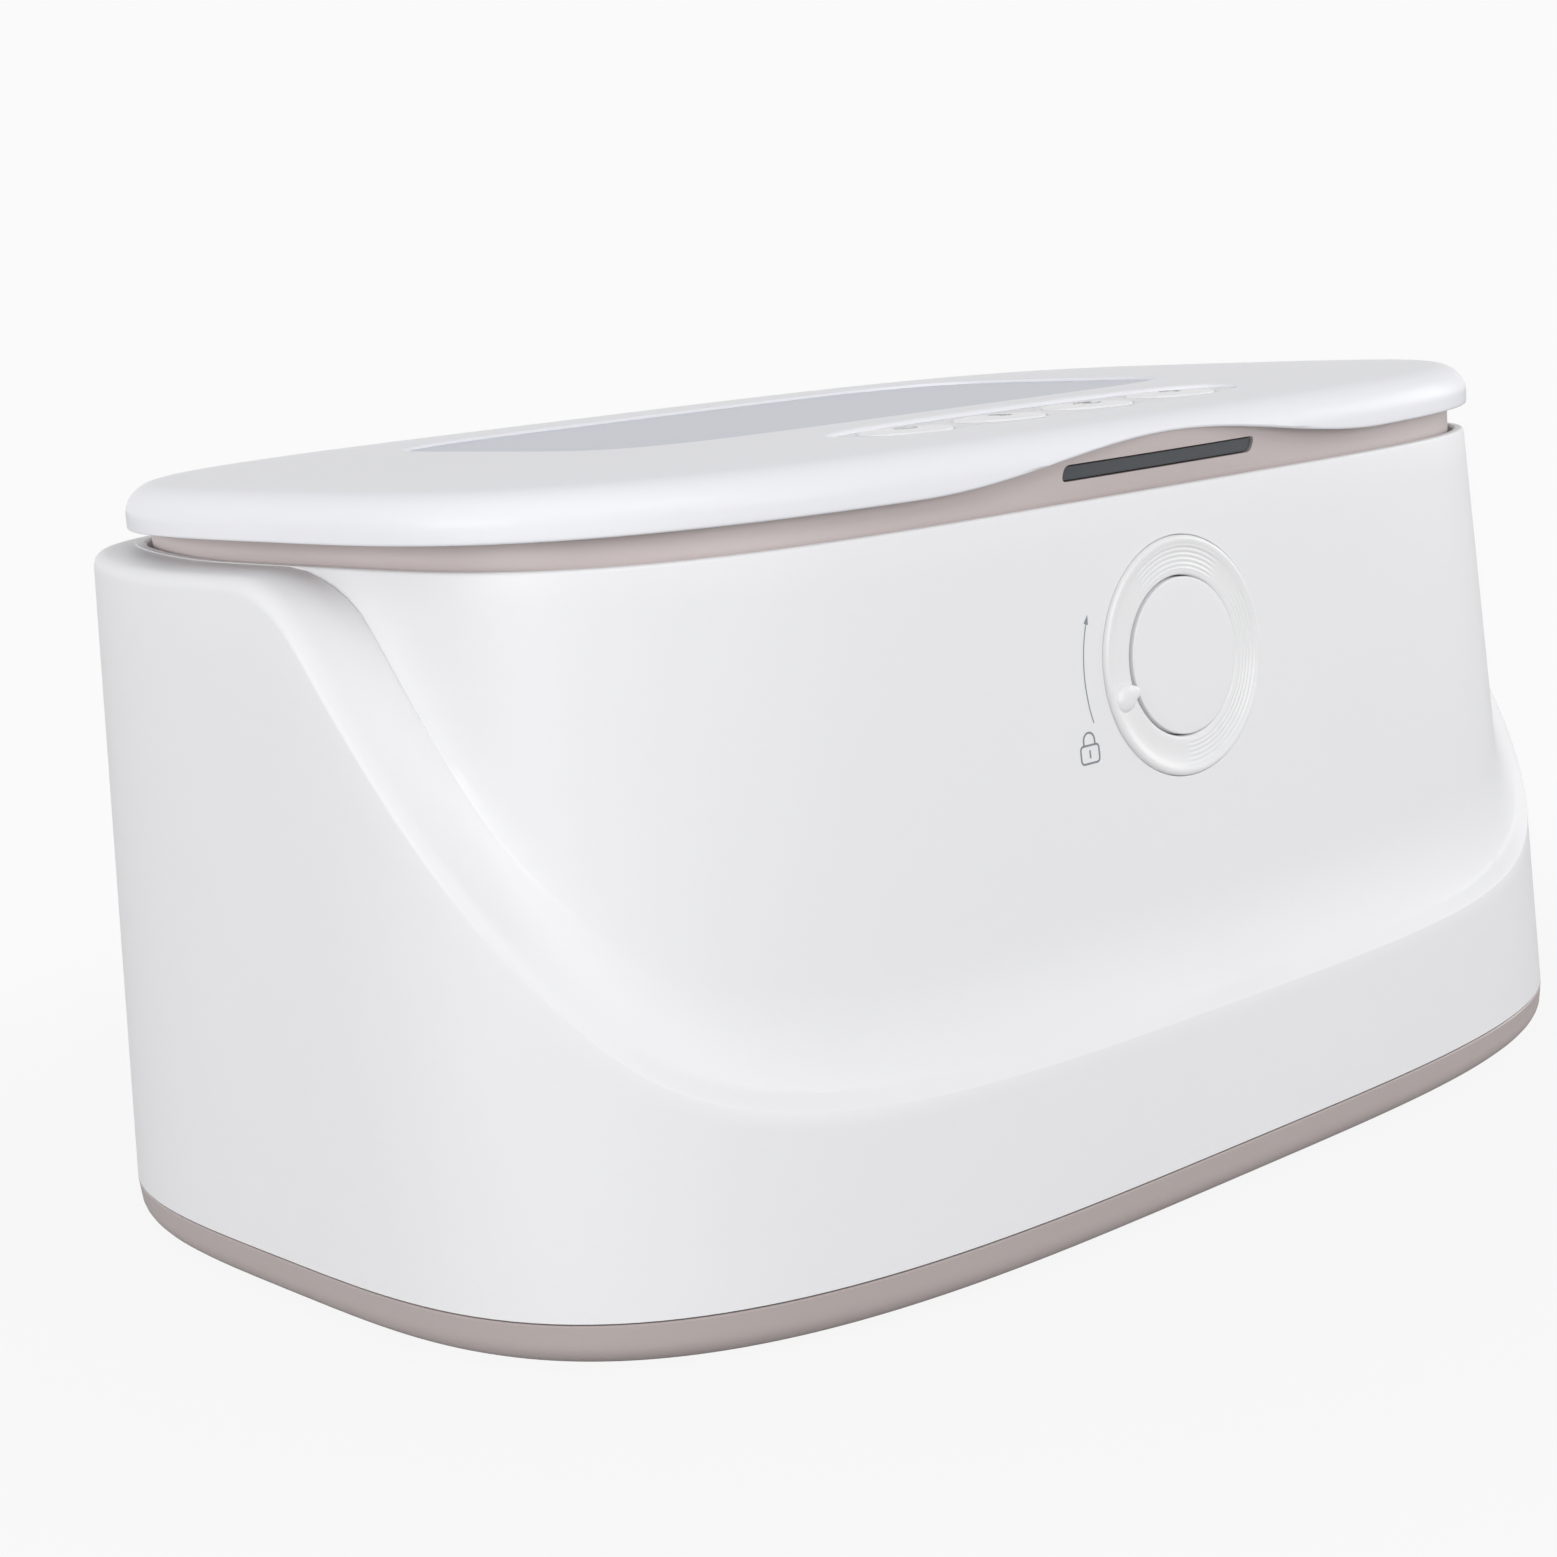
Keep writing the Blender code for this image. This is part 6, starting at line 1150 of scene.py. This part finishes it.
def makePanel():
    low, high = level["pocket"] + gap, level["pocket"] + gap + panel["thickness"]
    edge = panel["inlayEdge"]
    rows = [(gap / 2, low), (gap / 2, high - edge), (gap / 2 + edge * 0.3, high - edge * 0.3),
            (gap / 2 + edge, high)]
    obj = loft("panelInlay", [[Vector((p.x, p.y, z)) for p in panelOutline(inset)] for inset, z in rows])
    for x in keyPlaces():
        radius = panel["keyRadius"] + gap * 0.4
        profile = [(0, low - gap), (radius, low - gap), (radius, high - edge * 1.5),
                   (radius + edge * 0.5, high - edge * 0.4), (radius + edge * 1.5, high + edge * 0.1),
                   (radius + edge * 1.5, high + edge * 4), (0, high + edge * 4)]
        carve(obj, turned("keyHole", profile, 96, Matrix.Translation((x, panel["centreY"], 0))))
    return place(obj, "lid", "gloss_white_plastic", finish["panelWhite"], "control_panel")


keyCap = {"low": 0.1213, "top": 0.1223, "edge": 0.00045, "dome": 0.00025, "stem": 0.0020, "stemLow": 0.1165}


def keyTop(distance):
    # height of a key's domed face
    radius = panel["keyRadius"] - keyCap["edge"]
    share = min(distance / radius, 1)
    return keyCap["top"] - keyCap["dome"] * share * share


def makeKeys():
    radius, edge = panel["keyRadius"], keyCap["edge"]
    for number, x in enumerate(keyPlaces(), 1):
        profile = [(0, keyTop(0))]
        profile += [(r, keyTop(r)) for r in [(radius - edge) * i / 6 for i in range(1, 7)]]
        for i in range(1, 5):
            angle = math.pi / 2 * i / 4
            profile.append((radius - edge * (1 - math.sin(angle)),
                            keyTop(radius) - edge * (1 - math.cos(angle))))
        stem, stemLow = keyCap["stem"], keyCap["stemLow"]
        profile += [(radius, keyCap["low"]), (stem, keyCap["low"]), (stem, stemLow), (0, stemLow)]
        obj = turned(f"keyCap{number}", profile, 96, Matrix.Translation((x, panel["centreY"], 0)))
        place(obj, f"key_{number}", "gloss_white_plastic", finish["keyWhite"], f"panel_button_{number}")


def makeBar():
    halfX, halfZ, z = bar["halfLength"], bar["halfHeight"], bar["z"]
    outline = rounded(rectangle(halfX, halfZ), halfZ * endShare, 8)
    steps = []
    for i, p in enumerate(outline):
        after = outline[(i + 1) % len(outline)]
        count = 48 if (after - p).length > halfX else 1
        steps += [p + (after - p) * k / count for k in range(count)]
    back = -(shell["rimHalfDepth"] - liner["skirt"] - liner["wall"]) + gap
    rings = []
    # the first ring lies on the flange, the others follow the skirt's face
    for shrink, depth in ((1, None), *bar["faceRings"]):
        ring = []
        for p in steps:
            x, up = p.x * (1 - (1 - shrink) * bar["endShrink"]), p.y * shrink
            y = back + bar["flange"] if depth is None else skirtFrontY(x, z + up) + depth
            ring.append(Vector((x, y, z + up)))
        rings.append(ring)
    obj = loft("barLens", rings, caps=False)
    # both ends are closed by strips across the bar
    bm = bmesh.new()
    bm.from_mesh(obj.data)
    bmesh.ops.holes_fill(bm, edges=[e for e in bm.edges if e.is_boundary])
    bmesh.ops.triangulate(bm, faces=[f for f in bm.faces if len(f.verts) > 4])
    bmesh.ops.recalc_face_normals(bm, faces=bm.faces)
    bm.to_mesh(obj.data)
    bm.free()
    halfX += bar["flangeSide"]
    corners = rectangle(halfX, bar["flangeHeight"] / 2)
    turn = Matrix(((1, 0, 0, 0), (0, 0, 1, 0), (0, 1, 0, z), (0, 0, 0, 1)))
    flange = slab("flange", rounded(corners, bar["flangeCorner"]), back, back + bar["flange"], turn)
    weld(flange)
    carve(obj, flange, "UNION")
    return place(obj, "lid", "smoked_lens", finish["smoked"], "light_bar_lens")


makeLid()
makeLiner()
makeWindow()
makePanel()
makeKeys()
makeBar()

# Section of the seal: inset from the chamber's mouth, and height
sealRows = [
    (-0.0010, 0.10650), (-0.0032, 0.10650), (-0.0032, 0.10690), (-0.0026, 0.10725), (-0.0022, 0.10760),
    (-0.0020, 0.10770), (-0.0017, 0.10760), (-0.0015, 0.10725), (-0.0010, 0.10690), (-0.0010, 0.10650),
]
seal = ringTree("lipSeal", sealRows, finish["silicone"])
place(grown("lipSeal", seal, {
    "Half Width": chamber["halfWidth"], "Half Depth": chamber["halfDepth"], "Power": chamber["power"],
    "Centre Y": chamber["centreY"]}), "lid", "silicone", finish["silicone"], "lid_gasket")
print("lid made")


# Hinge springs

coil = coilTree("coilSpring", finish["steel"])
for side, title in ((-1, "left"), (1, "right")):
    spring = grown(f"hingeCoil{title.capitalize()}", coil, {
        "Turns": hinge["coilTurns"], "Radius": hinge["coilRadius"], "Wire Radius": hinge["coilWire"],
        "Length": hinge["coilLength"]})
    spring.data.transform(axisPlace((side * hinge["coilX"], hinge["y"], hinge["z"]), (side, 0, 0)))
    place(spring, "body", "steel", finish["steel"], f"hinge_spring_{title}")


# Round button, its ring and the printed marks beside them

ring = {
    "bottom": -0.0048, "flangeTop": -0.0026, "flangeRadius": 0.0195, "ridgeIn": 0.0131, "ridgeOut": 0.0172,
    "ridgePitch": 0.00072, "ridgeHeight": 0.00005, "pointerTurn": math.radians(197), "columns": 288,
    "ridgeBlend": 0.0003, "faceRows": 64,
    "ridgeTurns": ((52, 128), (-96, 34)), "ridgeFade": 8,
}


# Mound on the ring that points at the printed signs, along the ring's radius
pointer = {
    "tip": 0.0116, "near": 0.0137, "far": 0.0163, "end": 0.0178, "halfWidth": 0.0021, "corner": 0.0012,
    "crestX": 0.0146, "lip": 0.0126, "under": 0.00054, "edge": 0.00060, "height": 0.0009,
    "flankPower": 0.7, "heightPower": 1.3, "sunk": 0.0003, "foot": 0.0001,
}


def ringHeight(radius):
    # radial profile of the ring's face: lip, dish, crest, fall to the outer wall
    knots = [(0.0124, -0.00030), (0.0126, -0.00008), (0.0131, 0.00002), (0.0142, 0.00004), (0.0154, 0.00009),
             (0.0164, 0.00022), (0.0171, 0.00040), (0.0176, 0.00052), (0.0180, 0.00050), (0.0183, 0.00030),
             (0.0185, -0.00008)]
    for (r0, h0), (r1, h1) in zip(knots, knots[1:]):
        if radius <= r1:
            i = knots.index((r0, h0))
            before = knots[max(i - 1, 0)]
            after = knots[min(i + 2, len(knots) - 1)]
            slope0 = (h1 - before[1]) / (r1 - before[0])
            slope1 = (after[1] - h0) / (after[0] - r0)
            t, span = (radius - r0) / (r1 - r0), r1 - r0
            return (h0 * (2 * t ** 3 - 3 * t * t + 1) + slope0 * span * (t ** 3 - 2 * t * t + t)
                    + h1 * (3 * t * t - 2 * t ** 3) + slope1 * span * (t ** 3 - t * t))
    return knots[-1][1]


def ridgeMask(degrees):
    # 1 along the two stretches of grip ridges, fading out at their ends
    fade = ring["ridgeFade"]
    return max(smooth((degrees - start) / fade) * smooth((end - degrees) / fade)
               for start, end in ring["ridgeTurns"])


def makeRing():
    inner, outer, count = knob["innerRadius"], knob["ringRadius"], ring["faceRows"]
    radii = [inner + (outer - inner) * i / count for i in range(count + 1)]
    columns = []
    for i in range(ring["columns"]):
        turn = 2 * math.pi * i / ring["columns"]
        degrees = (math.degrees(turn) + 180) % 360 - 180
        mask = ridgeMask(degrees)
        column = [(inner, ring["bottom"])]
        for r in radii:
            h = ringHeight(r)
            reach, blend = r - ring["ridgeIn"], ring["ridgeBlend"]
            inside = smooth(reach / blend) * smooth((ring["ridgeOut"] - r) / blend)
            h += ring["ridgeHeight"] * mask * inside * math.sin(2 * math.pi * reach / ring["ridgePitch"])
            column.append((r, h))
        column += [(outer, ring["flangeTop"]), (ring["flangeRadius"], ring["flangeTop"]),
                   (ring["flangeRadius"], ring["bottom"])]
        columns.append([Vector((r * math.cos(turn), r * math.sin(turn), h)) for r, h in column])
    obj = loft("lockDial", [list(row) for row in zip(*columns)], closed=True)
    weld(obj)
    half = pointer["halfWidth"]
    corners = [(pointer["tip"], 0.0), (pointer["near"], -half), (pointer["far"], -half),
               (pointer["end"], 0.0), (pointer["far"], half), (pointer["near"], half)]
    outline = rounded(corners, pointer["corner"], 8)
    centre = Vector((pointer["crestX"], 0.0))
    # on the ring the mound starts below its surface, inside the ring's lip it stays above the button
    rings = [[Vector((*p, -pointer["sunk"] if p.x > pointer["lip"] else pointer["under"])) for p in outline],
             [Vector((*p, 0.0 if p.x > pointer["lip"] else pointer["edge"])) for p in outline]]
    feet = [max(p.z, pointer["foot"]) for p in rings[1]]
    for i in range(1, 10):
        angle = math.pi / 2 * i / 10
        rise = math.sin(angle) ** pointer["heightPower"]
        rings.append([Vector((*(centre + (p - centre) * math.cos(angle) ** pointer["flankPower"]),
                              foot + (pointer["height"] - foot) * rise)) for p, foot in zip(outline, feet)])
    mound = loft("pointer", rings)
    mound.data.transform(Matrix.Rotation(ring["pointerTurn"], 4, "Z"))
    carve(obj, mound, "UNION")
    obj.data.transform(knobPlace)
    return place(obj, "lock", "gloss_white_plastic", finish["ringWhite"], "lock_ring", angle=40)


button = {
    "radius": 0.0121, "face": 0.00045, "edge": 0.0002, "dome": 0.00010, "under": -0.0017,
    "stem": 0.0040, "stemEnd": -0.0131, "nub": 0.0015, "nubEnd": -0.0141,
}


def makeButton():
    radius, face, edge, dome = [button[key] for key in ("radius", "face", "edge", "dome")]
    flat = radius - edge
    profile = [(0, face)]
    profile += [(r, face - dome * (r / flat) ** 2) for r in [flat * i / 10 for i in range(1, 11)]]
    for i in range(1, 6):
        angle = math.pi / 2 * i / 5
        profile.append((flat + edge * math.sin(angle), face - dome - edge * (1 - math.cos(angle))))
    profile += [(radius, button["under"]), (button["stem"], button["under"]),
                (button["stem"], button["stemEnd"]), (button["nub"], button["stemEnd"]),
                (button["nub"], button["nubEnd"]), (0, button["nubEnd"])]
    obj = turned("roundButton", profile, 192, knobPlace)
    return place(obj, "button", "white_plastic", finish["housingWhite"], "push_button")


buttonCoil = {
    "start": 0.00288, "length": 0.0060, "radius": 0.0056, "wire": 0.0005, "turns": 4.0, "pressed": 0.55,
}


def makeButtonCoil():
    # spring behind the button
    inwards = -(knobPlace.to_3x3() @ Vector((0, 0, 1)))
    start = knobPlace @ Vector((0, 0, -buttonCoil["start"]))
    obj = grown("buttonCoil", coil, {
        "Turns": buttonCoil["turns"], "Radius": buttonCoil["radius"], "Wire Radius": buttonCoil["wire"],
        "Length": buttonCoil["length"]})
    obj.data.transform(axisPlace(start, inwards))
    place(obj, "body", "steel", finish["steel"], "button_spring")
    seat = start + inwards * (buttonCoil["length"] + buttonCoil["wire"])
    tuple(seat)
    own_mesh(obj)


makeRing()
makeButton()
makeButtonCoil()
print("button group made")


def stroked(name, paths, mapping, height):
    # lines of (points, widths, closed) drawn as thin solid strips on a surface
    parts = []
    for points, widths, closed in paths:
        count = len(points)
        rings = []
        for i, p in enumerate(points):
            before = points[i - 1] if closed or i > 0 else p
            after = points[(i + 1) % count] if closed or i < count - 1 else p
            along = (Vector(after) - Vector(before)).normalized()
            width = widths[i] if isinstance(widths, (list, tuple)) else widths
            side = Vector((-along.y, along.x)) * width / 2
            a, b = Vector(p) - side, Vector(p) + side
            rings.append([mapping(a, -height), mapping(a, height), mapping(b, height), mapping(b, -height)])
        parts.append(loft("line", rings, closed=closed))
    return joined(name, parts)


def onFront(p, height):
    return Vector((p.x, frontY(p.x, p.y) - height, p.y))


# Half the thickness of a printed line, and the width of a key sign's lines
inkHeight = 0.00003
iconLine = 0.00030

marks = {
    "arcRadius": 0.0228, "arcLow": 197.5, "arcHigh": 159.8, "arrowTip": 156.3, "arrowWidth": 0.0009,
    "thin": 0.00020, "line": 0.00032, "padX": -0.0232, "padLow": 0.0716, "padHigh": 0.0743, "padHalf": 0.0020,
    "shackleTop": 0.0762, "shackleShare": 0.60, "keyhole": 0.0006,
    "padCorner": 0.0007, "tipWidth": 0.00005,
}


def makeMarks():
    centre = Vector((0, knob["z"]))
    low, high, top = [math.radians(marks[key]) for key in ("arcLow", "arcHigh", "arrowTip")]
    arc = arcPoints(centre.x, centre.y, marks["arcRadius"], high, low, 40)
    tip = arcPoints(centre.x, centre.y, marks["arcRadius"], top, high, 6)
    head = [marks["tipWidth"] + marks["arrowWidth"] * i / 6 for i in range(7)]
    x, low, high, half = marks["padX"], marks["padLow"], marks["padHigh"], marks["padHalf"]
    middle = (low + high) / 2
    body = rounded(rectangle(half, (high - low) / 2, x, middle), marks["padCorner"], 6)
    reach = half * marks["shackleShare"]
    shackle = [Vector((x - reach, high))]
    shackle += list(reversed(arcPoints(x, marks["shackleTop"] - reach, reach, 0, math.pi, 14)))
    shackle += [Vector((x + reach, high))]
    keyhole = [Vector((x, middle + marks["keyhole"])), Vector((x, middle - marks["keyhole"]))]
    line = marks["line"]
    obj = stroked("printedMarks", [(arc, marks["thin"], False), (tip, head, False), (body, line, True),
                                   (shackle, line, False), (keyhole, line, False)], onFront, inkHeight)
    return place(obj, "body", "white_plastic", finish["printGrey"])


def makeIcons():
    places = keyPlaces()

    def circle(x, y, radius, start=0.0, end=360.0, steps=32):
        return arcPoints(x, y, radius, math.radians(start), math.radians(end), steps)

    def closedCircle(radius, y=0.0):
        return circle(0, y, radius)[:-1]

    # a power sign, a thermometer, rays and a lamp, each as lines of points, width and closing
    shapes = [
        [(circle(0, 0, 0.0017, 125, 415), iconLine, False),
         ([Vector((0, 0.0020)), Vector((0, 0.0004))], iconLine, False)],
        [(rounded([(-0.0005, -0.0006), (0.0005, -0.0006), (0.0005, 0.0020), (-0.0005, 0.0020)], 0.0004, 5),
          iconLine, True), (closedCircle(0.0009, -0.0013), iconLine, True),
         ([Vector((0, -0.0013)), Vector((0, 0.0006))], iconLine, False)],
        [(circle(0, 0, 0.0021, 20, 160), iconLine, False), (circle(0, 0, 0.0014, 20, 160), iconLine, False),
         (circle(0, 0, 0.0021, 200, 340), iconLine, False), (closedCircle(0.0005), iconLine, True)],
        [(circle(0, 0.0003, 0.0014, -50, 230), iconLine, False),
         ([Vector((-0.0008, -0.0012)), Vector((0.0008, -0.0012))], iconLine, False),
         ([Vector((-0.0006, -0.0018)), Vector((0.0006, -0.0018))], iconLine, False)],
    ]
    for number, (x, paths) in enumerate(zip(places, shapes), 1):
        def onKey(p, height, x=x):
            return Vector((x + p.x, panel["centreY"] + p.y, keyTop(p.length) + height))
        obj = stroked(f"keyIcon{number}", paths, onKey, inkHeight)
        place(obj, f"key_{number}", "gloss_white_plastic", finish["iconDark"])


makeMarks()
makeIcons()
print("marks made")


# Finishes of the pieces kept from the frame

kept = {
    "heat_spreader": "aluminium", "heating_film": "heatingFilm", "insulation_pad": "foam",
    "retainer_plate": "steel", "thermal_cutoff": "aluminium", "temperature_sensor": "blackPlastic",
    "power_board": "board", "dc_jack": "blackPlastic", "heater_lead": "rubber",
    "hinge_pin_left": "steel", "hinge_pin_right": "steel", "button_bracket": "chamberWhite",
    "bracket_screw_1": "steel", "bracket_screw_2": "steel", "latch_pin": "steel",
    "latch_lever": "chamberWhite", "lid_striker": "chamberWhite",
    "control_board": "board", "light_bar_board": "board",
}
for node, title in kept.items():
    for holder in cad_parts[node].material_slots:
        holder.material = finish[title]
print("kept pieces finished:", len(kept))


# Floor, lamps and camera

stageSet = {
    "white": 0.956, "floorHalf": 4.0, "floorTone": 0.50, "floorRough": 0.7, "floorShine": 0.2,
    "shadowNear": 0.10, "shadowFar": 0.30, "shadowShare": 0.95,
    "fill": 0.365, "target": (0, 0, 0.06),
}
lamps = {
    "frontLamp": {"spot": (0.1, -1.5, 0.40), "width": 0.9, "height": 0.5, "power": 6.3},
    "rightLamp": {"spot": (1.4, -0.5, 0.40), "width": 0.9, "height": 0.5, "power": 3.6},
    "leftLamp": {"spot": (-1.5, 0.2, 0.40), "width": 0.9, "height": 0.5, "power": 10.6},
    "highLamp": {"spot": (-0.35, -1.3, 1.1), "width": 0.9, "height": 0.6, "power": 7.0},
}


def grey(value):
    return (value, value, value, 1.0)


def makeFloor():
    # floor that the camera sees pale, darkened a little round the warmer, and that lights it as a grey one
    half = stageSet["floorHalf"]
    obj = newObject("floor", [(-half, -half, 0), (half, -half, 0), (half, half, 0), (-half, half, 0)],
                    [(0, 1, 2, 3)])
    material = bpy.data.materials.new("floorPale")
    material.use_nodes = True
    tree = material.node_tree
    shader = tree.nodes["Principled BSDF"]
    feed(tree, shader, "Base Color", grey(stageSet["floorTone"]))
    feed(tree, shader, "Roughness", stageSet["floorRough"])
    feed(tree, shader, "Specular IOR Level", stageSet["floorShine"])
    glow = newNode(tree, "ShaderNodeEmission", {"Color": grey(stageSet["white"]), "Strength": 1.0})
    coords = tree.nodes.new("ShaderNodeTexCoord").outputs["Object"]
    size = newNode(tree, "ShaderNodeVectorMath", {0: coords}, operation="LENGTH").outputs["Value"]
    fade = newNode(tree, "ShaderNodeMapRange", {
        "Value": size, "From Min": stageSet["shadowNear"], "From Max": stageSet["shadowFar"],
        "To Min": stageSet["shadowShare"], "To Max": 1.0}, interpolation_type="SMOOTHSTEP")
    path = tree.nodes.new("ShaderNodeLightPath")
    share = mathNode(tree, "MULTIPLY", fade.outputs[0], path.outputs["Is Camera Ray"])
    mix = newNode(tree, "ShaderNodeMixShader", {0: share, 1: shader.outputs[0], 2: glow.outputs[0]})
    feed(tree, tree.nodes["Material Output"], "Surface", mix.outputs[0])
    obj.data.materials.append(material)


def makeWorld():
    world = bpy.data.worlds.new("studio")
    bpy.context.scene.world = world
    world.use_nodes = True
    tree = world.node_tree
    tree.nodes.clear()
    path = tree.nodes.new("ShaderNodeLightPath").outputs
    seen = mathNode(tree, "MAXIMUM", path["Is Camera Ray"], path["Is Glossy Ray"])
    seen = mathNode(tree, "MAXIMUM", seen, path["Is Transmission Ray"])
    fill, white = [newNode(tree, "ShaderNodeBackground", {
        "Color": grey(stageSet[key]), "Strength": 1.0}).outputs[0] for key in ("fill", "white")]
    mix = newNode(tree, "ShaderNodeMixShader", {0: seen, 1: fill, 2: white})
    newNode(tree, "ShaderNodeOutputWorld", {"Surface": mix.outputs[0]})


def makeLamp(name, lamp):
    # rectangular lamp that faces the warmer
    data = bpy.data.lights.new(name, "AREA")
    data.shape = "RECTANGLE"
    data.size, data.size_y = lamp["width"], lamp["height"]
    data.energy = lamp["power"]
    obj = bpy.data.objects.new(name, data)
    bpy.context.scene.collection.objects.link(obj)
    obj.matrix_world = axisPlace(lamp["spot"], Vector(lamp["spot"]) - Vector(stageSet["target"]))


# Camera fitted to the photograph: place in metres, turns in degrees, lens and sensor in millimetres
view = {
    "spot": (-0.33005, -0.35435, 0.1500), "yaw": 41.40, "pitch": 10.61, "roll": 4.46, "lens": 64.99,
    "sensor": 36.0, "near": 0.01,
}


def makeCamera():
    yaw, pitch, roll = [math.radians(view[key]) for key in ("yaw", "pitch", "roll")]
    forward = Vector((math.sin(yaw) * math.cos(pitch), math.cos(yaw) * math.cos(pitch), -math.sin(pitch)))
    right = Vector((math.cos(yaw), -math.sin(yaw), 0))
    down = forward.cross(right)
    across = right * math.cos(roll) + down * math.sin(roll)
    below = down * math.cos(roll) - right * math.sin(roll)
    data = bpy.data.cameras.new("camera")
    data.sensor_width = view["sensor"]
    data.lens = view["lens"]
    data.clip_start = view["near"]
    obj = bpy.data.objects.new("camera", data)
    bpy.context.scene.collection.objects.link(obj)
    matrix = Matrix((across, -below, -forward)).transposed().to_4x4()
    matrix.translation = Vector(view["spot"])
    obj.matrix_world = matrix
    bpy.context.scene.camera = obj


makeFloor()
makeWorld()
for name, lamp in lamps.items():
    makeLamp(name, lamp)
makeCamera()
bpy.context.scene.view_settings.view_transform = "Standard"
